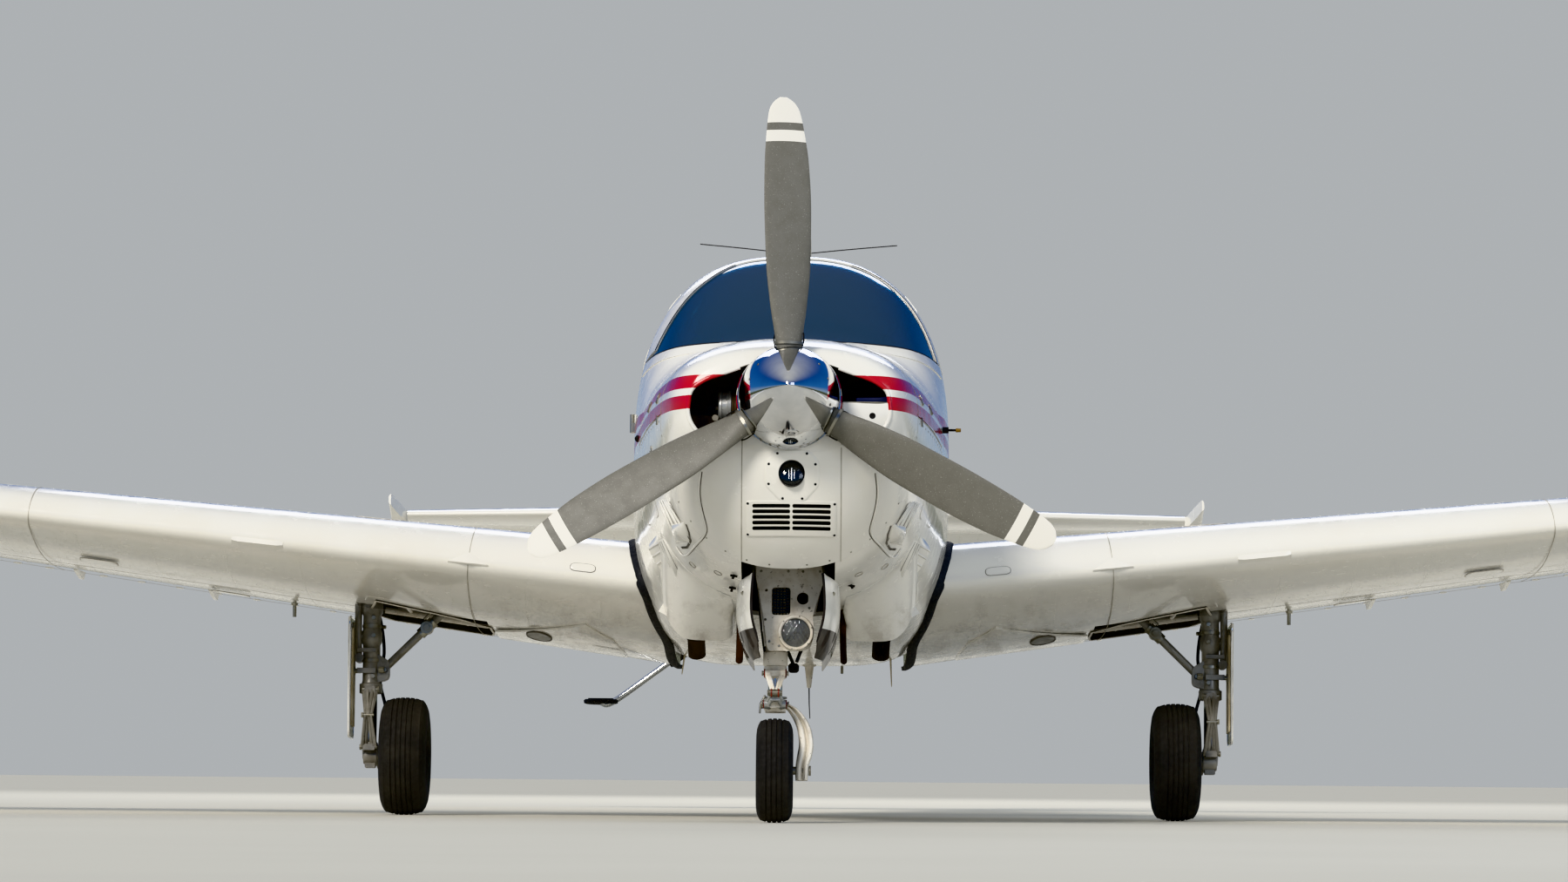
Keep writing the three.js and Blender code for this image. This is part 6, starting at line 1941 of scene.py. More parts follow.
addPiece("taxi_lamp_lens", [(moved(lensDome, lampPut), clearLens)], smooth=60)

# torque link: a white yoke above, a forged link below, greased pins
upperY, upperZ, lowerZ = y - 0.056, collarZ - 0.028, crownZ + 0.018
kneeY, kneeZ = y - 0.121, collarZ - 0.099
upperLinks = [
    taperLink((x + s * 0.026, upperY, upperZ), (x + s * 0.005, kneeY, kneeZ), 0.02, 0.016, 0.0135, (0, 0.8, 1))
    for s in (-1, 1)
]
lowerLinks = [
    taperLink((x + s * 0.004, kneeY, kneeZ), (x + s * 0.026, y - 0.052, lowerZ), 0.018, 0.026, 0.0135, (0, -0.8, 1))
    for s in (-1, 1)
]
web = strap((x, kneeY + 0.012, kneeZ - 0.02), (x, y - 0.058, lowerZ + 0.012), 0.01, 0.032, (0, -0.8, 1))
lugsUp = merged(
    *[
        moved(
            lathe([(-0.009, 0.0), (-0.009, 0.0145), (0.009, 0.0145), (0.009, 0.0)], "x", 28),
            Matrix.Translation((x + s * 0.026, upperY, upperZ))
        )
        for s in (-1, 1)
    ]
)
lugsLow = merged(
    *[
        moved(
            lathe([(-0.01, 0.0), (-0.01, 0.016), (0.01, 0.016), (0.01, 0.0)], "x", 28),
            Matrix.Translation((x + s * 0.027, y - 0.052, lowerZ))
        )
        for s in (-1, 1)
    ]
)
knee = merged(
    bar((x - 0.019, kneeY, kneeZ), (x + 0.019, kneeY, kneeZ), 0.0125, sides=24),
    nut((x - 0.026, kneeY, kneeZ), (x - 0.019, kneeY, kneeZ), 0.011),
    nut((x + 0.019, kneeY, kneeZ), (x + 0.025, kneeY, kneeZ), 0.01)
)
pins = merged(
    bar((x - 0.042, upperY, upperZ), (x + 0.042, upperY, upperZ), 0.006, sides=14),
    bar((x - 0.044, y - 0.052, lowerZ), (x + 0.044, y - 0.052, lowerZ), 0.0065, sides=14),
    *[nut((x + s * 0.04, upperY, upperZ), (x + s * 0.046, upperY, upperZ), 0.0095) for s in (-1, 1)],
    *[nut((x + s * 0.042, y - 0.052, lowerZ), (x + s * 0.048, y - 0.052, lowerZ), 0.0105) for s in (-1, 1)]
)
grease = merged(
    *[
        moved(
            lathe([(-0.0025, 0.0), (-0.0025, 0.0142), (0.0, 0.0152), (0.0025, 0.0142), (0.0025, 0.0)], "x", 24),
            Matrix.Translation(q)
        )
        for q in (
            (x - 0.036, upperY, upperZ), (x + 0.036, upperY, upperZ), (x - 0.038, y - 0.052, lowerZ),
            (x + 0.038, y - 0.052, lowerZ), (x - 0.012, kneeY, kneeZ), (x + 0.012, kneeY, kneeZ)
        )
    ]
)
linkHolds = merged(
    box((x - 0.034, x + 0.034), (y - 0.062, y - 0.0403), (collarZ - 0.038, collarZ - 0.018)),
    box((x - 0.034, x + 0.034), (y - 0.06, y - 0.0383), (crownZ + 0.006, crownZ + 0.03))
)
addPiece(
    "nose_torque_link_skin",
    [
        (merged(*upperLinks, lugsUp), gearWhite), (merged(*lowerLinks, web, lugsLow), wheelAlloy),
        (merged(knee, pins), zincSteel), (grease, greaseRed), (linkHolds, gearWhite)
    ],
    "nose_fork", ["nose_torque_link"], bevel=0.001
)

# fork: a chromed piston, a crown and one curved, ribbed arm
piston = stepped(
    x, y, [(crownZ + 0.006, 0.0), (crownZ + 0.006, 0.024), (collarZ - 0.0003, 0.024), (collarZ - 0.0003, 0.0)]
)
gland = stepped(
    x, y,
    [
        (collarZ - 0.042, 0.0), (collarZ - 0.042, 0.036), (collarZ - 0.036, 0.04), (collarZ - 0.006, 0.04),
        (collarZ - 0.0003, 0.037), (collarZ - 0.0003, 0.0)
    ]
)
crown = merged(
    stepped(
        x, y,
        [
            (crownZ - 0.004, 0.0), (crownZ - 0.004, 0.034), (crownZ + 0.004, 0.038), (crownZ + 0.03, 0.038),
            (crownZ + 0.036, 0.034), (crownZ + 0.036, 0.0)
        ]
    ),
    prism(rounded(rect((x - 0.034, x + 0.036), (y - 0.03, y + 0.06)), 0.014, 4), "z", crownZ - 0.006, crownZ + 0.022)
)
armTable = np.array([
    # height, inner edge, outer edge, fore edge, aft edge
    [z - 0.034, 0.03, 0.071, noseY - 0.026, noseY + 0.026],
    [z - 0.02, 0.0285, 0.0725, noseY - 0.032, noseY + 0.032],
    [z + 0.015, 0.0297, 0.0745, noseY - 0.032, noseY + 0.034],
    [z + 0.055, 0.0352, 0.0865, noseY - 0.026, noseY + 0.034],
    [z + 0.09, 0.0405, 0.0905, noseY - 0.02, noseY + 0.036],
    [z + 0.13, 0.0365, 0.0855, noseY - 0.016, noseY + 0.038],
    [z + 0.16, 0.028, 0.0745, noseY - 0.016, noseY + 0.038],
    [z + 0.19, 0.012, 0.0555, noseY - 0.016, noseY + 0.038],
    [z + 0.213, -0.006, 0.033, noseY - 0.016, noseY + 0.038],
    [z + 0.226, -0.03, 0.009, noseY - 0.014, noseY + 0.036],
])
armRings = []
for h in np.linspace(armTable[0, 0], armTable[-1, 0], 26):
    xi, xo, yf, ya = smoothTable(armTable, h)
    section = [
        (0.0, 0.25), (0.1, 0.06), (0.24, 0.0), (0.4, 0.03), (0.5, 0.3), (0.58, 0.34), (0.64, 0.1), (0.76, 0.0),
        (0.92, 0.05), (1.0, 0.28), (1.0, 0.75), (0.9, 0.96), (0.5, 1.0), (0.1, 0.96), (0.0, 0.75)
    ]
    armRings.append([(xi + (xo - xi) * u, yf + (ya - yf) * v, h) for u, v in section])
arm = loft(armRings)
axleNose = merged(
    bar((0.062, noseY, z), (x - 0.032, noseY, z), 0.014, sides=24), nut((0.074, noseY, z), (0.082, noseY, z), 0.019),
    nut((x - 0.032, noseY, z), (x - 0.045, noseY, z), 0.018)
)
crownBits = merged(
    nut((x - 0.02, y - 0.036, crownZ + 0.008), (x - 0.02, y - 0.03, crownZ + 0.008), 0.008),
    nut((x + 0.02, y - 0.036, crownZ + 0.008), (x + 0.02, y - 0.03, crownZ + 0.008), 0.008),
    bar((x - 0.05, y, crownZ + 0.012), (x - 0.034, y, crownZ + 0.012), 0.006, sides=14),
    sweep(
        [
            (x - 0.034, y - 0.02, crownZ + 0.05), (x - 0.05, y - 0.03, crownZ + 0.02),
            (x - 0.052, y - 0.028, crownZ - 0.012)
        ],
        0.004, 8
    ),
    moved(
        lathe([(0.0, 0.018), (0.0, 0.0405), (0.006, 0.0405), (0.006, 0.018)], "z", 32),
        Matrix.Translation((x, y, crownZ + 0.04))
    ),
)
addPiece(
    "nose_fork_skin",
    [(merged(arm, crown, gland), gearWhite), (piston, chromedSteel), (merged(axleNose, crownBits), zincSteel)],
    "nose_fork", ["nose_fork"], bevel=0.001, smooth=40
)

# bay doors: white outside, brown inside, folded in along their lower edge
noseDoor = [
    (0.166, -0.52), (0.176, -0.6), (0.176, -0.7), (0.15, -0.79), (0.112, -0.85), (0.105, -0.846), (0.14, -0.786),
    (0.166, -0.7), (0.166, -0.6), (0.158, -0.52)
]
outerCurve = smoothPath([(a, 0, b) for a, b in noseDoor[:5]], 20)
tangents = np.gradient(outerCurve, axis=0)
tangents /= np.linalg.norm(tangents, axis=1)[:, None]
inward = np.stack([tangents[:, 2], np.zeros(len(tangents)), -tangents[:, 0]], 1)
foldIn = lambda yy: 0.05 * (1 - min(1, max(0, (yy - 0.38) / 0.26))) ** 2


def doorStation(yy):
    # one side-to-side slice of the door: down the outer face and back up the inner one
    drop = 0.055 * (1 - min(1, max(0, (yy - 0.38) / 0.12))) ** 2
    outer = [q - [foldIn(yy), 0, 0] for q in outerCurve if q[2] > outerCurve[-1][2] + drop]
    share = np.linspace(0, 1, 18)
    run = np.linspace(0, 1, len(outer))
    line = np.array([[np.interp(t, run, [q[k] for q in outer]) for k in range(3)] for t in share])
    normal = np.array([[np.interp(t, run, [n[k] for n in inward[: len(outer)]]) for k in range(3)] for t in share])
    thick = np.interp(share, [0, 0.9, 1], [0.0085, 0.0085, 0.004])[:, None]
    line[:, 1] = yy
    inner = (line + normal * thick)[::-1]
    return np.concatenate([line, inner])


doorPlaces = [0.38, 0.385, 0.4, 0.42, 0.45, 0.49, 0.54, 0.6, 0.66, 0.75, 0.86, 0.97, 1.06, 1.08]
noseDoorShape = carved(loft([doorStation(yy) for yy in doorPlaces]), [wholeHull])
verts, faces = noseDoorShape
inFaces, outFaces = [], []
fineCurve = smoothPath(outerCurve, 600)
for f in faces:
    c = np.mean([verts[i] for i in f], axis=0)
    flat = c + [foldIn(c[1]), 0, 0]
    near = np.min(np.hypot(fineCurve[:, 0] - flat[0], fineCurve[:, 2] - flat[2]))
    (outFaces if near < 0.0035 else inFaces).append(f)
doorRib = merged(
    *[
        sweep(
            [(a - 0.011, yy, b) for a, b in ((0.172, -0.56), (0.174, -0.64), (0.164, -0.74), (0.142, -0.788))],
            [0.005, 0.007, 0.007, 0.004], 8
        )
        for yy in (0.66, 0.84, 1.02)
    ]
)
doorArm = sweep(
    smoothPath([(0.155, 0.46, -0.62), (0.135, 0.46 + 0.02, -0.6), (0.12, 0.46 + 0.05, -0.52)], 12), 0.007, 10
)
for side, name in bothSides:
    s = lambda shape: onSide(shape, side)
    addPiece(
        f"nose_door_{name}_skin",
        [
            (s((verts, outFaces)), noseDoorPaint), (s((verts, inFaces)), brownPrimer), (s(doorRib), brownPrimer),
            (s(doorArm), zincSteel)
        ],
        replaces=[f"nose_door_{name}"]
    )
print("stage: nose gear")

# what sits on the nose

frontNormal = lambda px, pz: skinNormal(frontSkin(px, pz))


def frontPatch(outline, thick, rings=6):
    # a thin plate that follows the nose, drawn in front view
    p = np.array(outline)
    mid = p.mean(0)
    layers = []
    for share, lift in (
        (1, -0.003), (1, thick * 0.6), (0.99, thick), *[(k, thick) for k in np.linspace(0.9, 0.03, rings)]
    ):
        layer = []
        for q in p:
            a = mid + (q - mid) * share
            layer.append(frontSkin(*a) + frontNormal(*a) * lift)
        layers.append(layer)
    return loft(layers)


def frontRibbon(points, width, **settings):
    return ribbon([frontSkin(*p) for p in points], [frontNormal(*p) for p in points], width, **settings)


octagon = [
    (-0.0375, -0.184), (0.0608, -0.184), (0.0896, -0.219), (0.0896, -0.283), (0.0461, -0.329), (-0.0192, -0.329),
    (-0.066, -0.283), (-0.066, -0.219)
]
octagonMid = np.mean(octagon, 0)
octagonOutline = rounded([tuple(octagonMid + (np.array(p) - octagonMid) * 1.17) for p in octagon], 0.014, 3)
octagonPlate = carved(frontPatch(octagonOutline, 0.0016), [lampHole])
(g0, g1), (h0, h1) = noseFront["grille"]
grilleOutline = rounded(rect((g0, g1), (h0, h1)), 0.007, 3)
denseGrille = []
for i, p in enumerate(grilleOutline):
    q = grilleOutline[(i + 1) % len(grilleOutline)]
    n = max(1, int(math.hypot(q[0] - p[0], q[1] - p[1]) / 0.01))
    denseGrille += [tuple(np.array(p) + (np.array(q) - p) * k / n) for k in range(n)]
grillePlate = carved(frontPatch(denseGrille, 0.0018, rings=8), slots)
noseScrews = [
    screwHead(frontSkin(*p) + frontNormal(*p) * 0.0014, frontNormal(*p), 0.0045, 0.0014, 12, False)
    for p in octagon
]
for px, pz in ((g0 + 0.006, h0 + 0.008), (g1 - 0.006, h0 + 0.008), (g0 + 0.006, h1 - 0.008), (g1 - 0.006, h1 - 0.008)):
    noseScrews.append(
        screwHead(frontSkin(px, pz) + frontNormal(px, pz) * 0.0016, frontNormal(px, pz), 0.0045, 0.0014, 12, False)
    )
# a black plate behind the grille's slots is painted shade, so that the slots read dark
grillePaintedShade = prism(rect((g0, g1), (h0, h1)), "y", 0.25, 0.255)
landing = Matrix.Translation(
    (lampX, float(frontSkin(lampX, lampZ)[1]) + 0.006, lampZ)
) @ Matrix.Rotation(math.radians(-12), 4, "X")
landLens = lathe(
    [
        (-0.008, 0.0), (-0.0075, 0.012), (-0.006, 0.025), (-0.002, 0.038), (0.002, 0.0425), (0.004, 0.0425),
        (0.0, 0.038), (-0.004, 0.025), (-0.0055, 0.012), (-0.006, 0.0)
    ],
    "y", 48
)
landBezel = spinLoop([(-0.001, 0.0405), (-0.003, 0.0425), (-0.002, 0.0438), (0.014, 0.0438), (0.014, 0.0405)], "y", 64)
landBowl = lathe(
    [
        (0.04, 0.0), (0.038, 0.012), (0.03, 0.026), (0.016, 0.036), (0.004, 0.0405), (0.006, 0.0415), (0.018, 0.038),
        (0.033, 0.028), (0.042, 0.013), (0.044, 0.0)
    ],
    "y", 48
)
filament = merged(
    bar((0, 0.036, 0), (0, 0.012, 0), 0.0055, sides=12),
    bar((0.009, 0.012, -0.016), (0.009, 0.012, 0.016), 0.0022, sides=10),
    bar((-0.009, 0.012, -0.016), (-0.009, 0.012, 0.016), 0.0022, sides=10),
    bar((0.0, 0.008, -0.022), (0.0, 0.008, 0.022), 0.0035, sides=10)
)
seams = []
for sx in (-1, 1):
    px = noseFront["middle"] + sx * noseFront["seam"]
    seams.append(
        frontRibbon(
            [(px + 0.002 * sx * k / 24, pz) for k, pz in enumerate(np.linspace(-0.135, -0.52, 25))], 0.0032, lift=0.0004
        )
    )
addPiece(
    "nose_front_fittings",
    [
        (octagonPlate, fuselagePaint), (grillePlate, fuselagePaint), (merged(*noseScrews), blackAlloy),
        (grillePaintedShade, blackFinishAndPaintedShade), (merged(*seams), seamGrey), (moved(landBezel, landing), blackAlloy),
        (moved(landBowl, landing), blackAlloy), (moved(filament, landing), lampMirror),
    ],
    smooth=45
)
addPiece("landing_lamp_lens", [(moved(landLens, landing), clearLens)], smooth=60)
print("stage: nose fittings")

# cowl flaps droop under the lower cowl like shallow scoops, one each side, with the exhausts behind them
flapSpec = {
    "hinge": 0.84, "end": 1.2, "thick": 0.005,
    "edge": [
        (0.186, -0.64), (0.19, -0.68), (0.2, -0.709), (0.225, -0.721), (0.28, -0.724), (0.34, -0.722), (0.38, -0.71),
        (0.415, -0.672), (0.437, -0.62), (0.449, -0.565), (0.452, -0.5)
    ],
}


def cowlFlap(inset):
    edge = smoothPath([(px, 0, pz) for px, pz in flapSpec["edge"]], 30)
    normals = np.gradient(edge, axis=0)
    normals = np.stack([-normals[:, 2], np.zeros(len(edge)), normals[:, 0]], 1)
    normals /= np.linalg.norm(normals, axis=1)[:, None]
    grid = []
    for t in np.linspace(0, 1, 14):
        row = []
        for k, (e, n) in enumerate(zip(edge, normals)):
            run = k / (len(edge) - 1)
            px = 0.2 + run * 0.245
            px += (e[0] - px) * t
            start = topSkin(min(px, 0.455), flapSpec["hinge"] + t * (flapSpec["end"] - flapSpec["hinge"]), -1)
            ease = t**1.5
            q = start + (np.array([e[0], start[1], e[2]]) - start) * ease
            row.append(q + skinNormal(start) * (0.0006 if ease < 0.02 else 0) + n * inset)
        grid.append(row)
    return np.array(grid)


outerFlap = cowlFlap(0.0)
m, n = outerFlap.shape[:2]
if np.mean(cowlFlap(0.01)[-1, n // 2] - outerFlap[-1, n // 2]) * 3 < 0:
    innerFlap = cowlFlap(-flapSpec["thick"])
else:
    innerFlap = cowlFlap(flapSpec["thick"])
flapFaces = [
    (r * n + i, r * n + i + 1, (r + 1) * n + i + 1, (r + 1) * n + i)
    for r in range(m - 1)
    for i in range(n - 1)
]
k = m * n
rim = list(range(n)) + [r * n + n - 1 for r in range(1, m)] + [
    (m - 1) * n + i
    for i in range(n - 2, -1, -1)
] + [r * n for r in range(m - 2, 0, -1)]
flapFaces = flapFaces + [tuple(reversed([i + k for i in f])) for f in flapFaces] + [
    (b, a, a + k, b + k)
    for a, b in zip(rim, rim[1:] + rim[:1])
]
flapSheet = (np.concatenate([outerFlap.reshape(-1, 3), innerFlap.reshape(-1, 3)]), flapFaces)
# a black sheet laid on the skin under each flap is painted shade for the open exit behind it
mouthLine = [topSkin(px, 1.1, -1) for px in np.linspace(0.215, 0.43, 12)]
flapMouthPaintedShade = ribbon(mouthLine, normalsOf(mouthLine), 0.2, lift=0.0012)
flapRod = bar((0.3, 1.13, -0.6), (0.31, 1.19, -0.71), 0.006, sides=12)
addPiece("cowl_flaps", [(both(flapSheet), fuselagePaint), (both(flapMouthPaintedShade), blackFinishAndPaintedShade), (both(flapRod), zincSteel)])

exhaust = {"x": 0.33, "from": (1.08, -0.47), "to": (1.3, -0.768), "radius": 0.031, "wall": 0.0018}
for side, name in bothSides:
    (y0, z0), (y1, z1) = exhaust["from"], exhaust["to"]
    path = smoothPath(
        [(exhaust["x"], y0, z0), (exhaust["x"], (y0 + y1) / 2, (z0 + z1) / 2 - 0.004), (exhaust["x"] - 0.006, y1, z1)],
        14
    )
    r = exhaust["radius"]
    outer = sweep(path, r, 32)
    bore = sweep([path[-5], path[-1] + (path[-1] - path[-2]) * 0.6], r - exhaust["wall"], 32)
    pipe = carved(outer, [wholeHull, bore])
    bead1 = sweep([path[-4] + (path[-1] - path[-2]) * d for d in (0, 0.25)], r + 0.0025, 32)
    clampBolt = bar(path[-4] + [0.0, -r - 0.004, 0], path[-4] + [0.02, -r - 0.006, 0], 0.004, sides=8)
    soot = sweep(
        [path[-5] + (path[-1] - path[-2]) * 0.1, path[-5] + (path[-1] - path[-2]) * 0.6], r - exhaust["wall"] - 0.001,
        32
    )
    s = lambda shape: onSide(shape, side)
    addPiece(
        f"exhaust_{name}_skin",
        [
            (s(pipe), heatSteel), (s(carved(bead1, [wholeHull])), heatSteel), (s(clampBolt), zincSteel),
            (s(soot), blackFinishAndPaintedShade)
        ],
        replaces=[f"exhaust_{name}"]
    )
drains = []
for dx, r in ((-0.17, 0.013), (0.19, 0.0115)):
    drains.append(
        sweep(
            smoothPath([(dx, 1.06, -0.6), (dx, 1.12, -0.69), (dx * 1.01, 1.17, -0.76), (dx * 1.02, 1.2, -0.795)], 18),
            r, 20
        )
    )
    drains.append(
        moved(
            lathe([(0.0, r), (0.004, r * 0.9), (0.008, r * 0.55), (0.0095, 0.0)], "z", 20),
            Matrix.Translation((dx * 1.02, 1.2, -0.795)) @ Matrix.Rotation(math.radians(150), 4, "X")
        )
    )
addPiece("breather_pipes", [(merged(*drains), heatBrown)])

# drain stubs, vents and small plates under the nose
fittings, plates = [], []
for px, pz, tall in ((-0.183, -0.556, 0.015), (-0.19, -0.58, 0.018), (0.214, -0.57, 0.014)):
    p = frontSkin(px, pz)
    n = skinNormal(p)
    fittings.append(bar(p - n * 0.004, p + n * tall, 0.0045, sides=12))
    fittings.append(bar(p + n * 0.004 + [-0.012, 0, 0.002], p + n * 0.004 + [0.012, 0, -0.002], 0.004, sides=12))
for px, yy in ((-0.33, 0.7), (0.33, 0.7), (-0.24, 0.55), (0.24, 0.55)):
    p = topSkin(px, yy, -1)
    n = skinNormal(p)
    turn = Matrix.Translation(p) @ Vector(n).to_track_quat("Z", "Y").to_matrix().to_4x4()
    oval = [(0.024 * math.cos(a), 0.014 * math.sin(a)) for a in np.linspace(0, 2 * math.pi, 28, endpoint=False)]
    plates.append(moved(sweep([(*q, 0.0006) for q in oval + oval[:2]], 0.0014, 6), turn))
addPiece("lower_cowl_fittings", [(merged(*fittings), blackFinishAndPaintedShade), (merged(*plates), seamGrey)])

# louvres and scoops on the cheeks
scoopSpec = {"y": (0.93, 1.09), "z": (-0.5, -0.375), "lift": 0.032, "ribs": 4}


def sideGrid(y0, y1, z0, z1, lift, n=9, m=9):
    # a raised blister on the cowl's side, closed down to the skin
    rows = []
    for zz in np.linspace(z0, z1, m):
        row = []
        for yy in np.linspace(y0, y1, n):
            p = sideSkin(yy, zz)
            row.append(p + skinNormal(p) * lift((yy - y0) / (y1 - y0), (zz - z0) / (z1 - z0)))
        rows.append(row)
    grid = np.array(rows).reshape(-1, 3)
    faces = [
        (r * n + i, r * n + i + 1, (r + 1) * n + i + 1, (r + 1) * n + i)
        for r in range(m - 1)
        for i in range(n - 1)
    ]
    return grid, faces


def closedSheet(grid, faces, n, m, normals, thick):
    # a second layer below a grid and the rim that joins them
    under = grid - normals * thick
    k = len(grid)
    made = list(faces) + [tuple(reversed([i + k for i in f])) for f in faces]
    rim = [i for i in range(n)] + [r * n + n - 1 for r in range(1, m)] + [
        (m - 1) * n + i
        for i in range(n - 2, -1, -1)
    ] + [r * n for r in range(m - 2, 0, -1)]
    for i, a in enumerate(rim):
        b = rim[(i + 1) % len(rim)]
        made.append((b, a, a + k, b + k))
    return np.concatenate([grid, under]), made


def blister(y0, y1, z0, z1, lift, thick=0.003, n=11, m=11):
    grid, faces = sideGrid(y0, y1, z0, z1, lift, n, m)
    normals = np.array([skinNormal(sideSkin(yy, zz)) for zz in np.linspace(z0, z1, m) for yy in np.linspace(y0, y1, n)])
    return closedSheet(grid, faces, n, m, normals, thick)


scoopLift = lambda u, v: 0.001 + scoopSpec["lift"] * (u**1.3) * min(1, 5 * v) ** 0.5 * min(1, 5 * (1 - v)) ** 0.5
scoop = blister(*scoopSpec["y"], *scoopSpec["z"], scoopLift)
scoopRibs = []
for v in np.linspace(0.2, 0.8, scoopSpec["ribs"]):
    line, normals = [], []
    for u in np.linspace(0.08, 0.97, 9):
        yy = scoopSpec["y"][0] + u * (scoopSpec["y"][1] - scoopSpec["y"][0])
        zz = scoopSpec["z"][0] + v * (scoopSpec["z"][1] - scoopSpec["z"][0])
        p = sideSkin(yy, zz)
        line.append(p + skinNormal(p) * scoopLift(u, v))
        normals.append(skinNormal(p))
    scoopRibs.append(bead(line, normals, 0.0042, 0.3, 8))
# a black strip across the scoop's open end is painted shade
mouth = ribbon(
    [sideSkin(1.092, zz) + skinNormal(sideSkin(1.092, zz)) * 0.002 for zz in np.linspace(-0.487, -0.388, 8)],
    [skinNormal(sideSkin(1.092, zz)) for zz in np.linspace(-0.487, -0.388, 8)], 0.02
)
panelEdges = []
cheekPath = [
    (-0.294, -0.24), (-0.3, -0.29), (-0.298, -0.332), (-0.288, -0.376), (-0.281, -0.4), (-0.278, -0.424),
    (-0.292, -0.445), (-0.321, -0.463), (-0.349, -0.473), (-0.369, -0.465), (-0.389, -0.438)
]
cheekCurve = smoothPath([(*p, 0) for p in cheekPath], 48)[:, :2]
cheekBead = bead(
    [frontSkin(a, b) for a, b in cheekCurve], [frontNormal(a, b) for a, b in cheekCurve],
    [0.001] + [0.0042] * (len(cheekCurve) - 2) + [0.001], 0.25, 8
)
cheekShadow = frontRibbon([(a + 0.0055, b - 0.002) for a, b in cheekCurve], 0.0035, lift=0.0005)
ringPoints = [p for p in hullRing(0.33, 0, 40) if -0.1 < p[2] < 0.2]
panelEdges.append(skinRibbon([p for p in ringPoints if p[0] > 0.0], 0.0035, lift=0.0004))
panelEdges.append(skinRibbon([p for p in ringPoints[::-1] if p[0] < 0.0], 0.0035, lift=0.0004))
doorEdge = [sideSkin(yy, -0.03) for yy in np.linspace(0.34, 1.26, 30)]
panelEdges.append(both(skinRibbon(doorEdge, 0.004, lift=0.0005)))
sideHatch = rounded(rect((0.72, 1.12), (-0.2, -0.33)), 0.04, 5)
sideLoop = [sideSkin(*p) for p in sideHatch + sideHatch[:1]]
panelEdges.append(both(skinRibbon(sideLoop, 0.003, lift=0.0005)))
addPiece(
    "cowl_scoops",
    [
        (both(merged(scoop, cheekBead, *scoopRibs)), fuselagePaint), (both(mouth), blackFinishAndPaintedShade),
        (merged(*panelEdges), seamGrey), (both(cheekShadow), gapShadow)
    ],
    smooth=45
)

# latches, with the cowl doors; the round air temperature probe and the small side fittings
latches = []
for yy, zz in ((0.47, 0.045), (0.8, 0.052)):
    p = sideSkin(yy, zz)
    n = skinNormal(p)
    turn = Matrix.Translation(p + n * 0.0005) @ Vector(n).to_track_quat("Z", "X").to_matrix().to_4x4()
    plateShape = prism(rounded(rect((-0.02, 0.02), (-0.011, 0.011)), 0.006, 3), "z", -0.002, 0.002)
    latches.append(moved(plateShape, turn))
    latches.append(moved(prism(rounded(rect((-0.013, 0.011), (-0.0065, 0.0065)), 0.004, 3), "z", 0.0, 0.0042), turn))
    latches.append(moved(bar((-0.014, 0, 0.001), (-0.014, 0, 0.0055), 0.0032, sides=12), turn))
latchSet = merged(*latches)
for side, name in bothSides:
    addPiece(f"cowl_latches_{name}", [(onSide(latchSet, side), zincSteel)], f"cowl_door_{name}", bevel=0.0006)
bits = []
for yy, zz in ((0.42, 0.0), (0.98, -0.1), (0.6, -0.085)):
    for sx in (-1, 1):
        p = sideSkin(yy, zz - 0.035, sx)
        n = skinNormal(p)
        turn = Matrix.Translation(p) @ Vector(n).to_track_quat("Z", "X").to_matrix().to_4x4()
        bits.append(moved(prism(rounded(rect((-0.016, 0.016), (-0.006, 0.006)), 0.003, 2), "z", -0.002, 0.0035), turn))
        bits.append(moved(bar((0, 0.004, 0.002), (0, 0.026, 0.003), 0.0022, sides=8), turn))
probeAt = sideSkin(1.45, 0.055)
probe = merged(
    bar(probeAt, probeAt + [0.022, 0, 0], 0.0115, sides=20),
    bar(probeAt + [0.02, 0, 0], probeAt + [0.062, 0, 0], 0.0045, 0.004, sides=16)
)
probeTip = merged(bar(probeAt + [0.048, 0, 0], probeAt + [0.066, 0, 0], 0.0075, 0.0065, sides=18))
bump = moved(
    lathe([(0.0, 0.014), (0.008, 0.011), (0.013, 0.005), (0.014, 0.0)], "z", 20),
    Matrix.Translation(sideSkin(1.4, 0.01, -1)) @ Matrix.Rotation(math.radians(-90), 4, "Y")
)
addPiece(
    "side_fittings", [(merged(*bits), zincSteel), (probe, blackFinishAndPaintedShade), (probeTip, brassFitting), (bump, blackFinishAndPaintedShade)],
    bevel=0.0006
)
print("stage: cowl fittings")

# rubber seals and glazing trim

# the root seal follows the line where the wing meets the fuselage
def junction(s, up):
    low, high = -0.12, 0.4
    for _ in range(28):
        mid = (low + high) / 2
        q = wingPoint(mid, s, up)
        low, high = (mid, high) if insideHull(*q) < 1 else (low, mid)
    return high


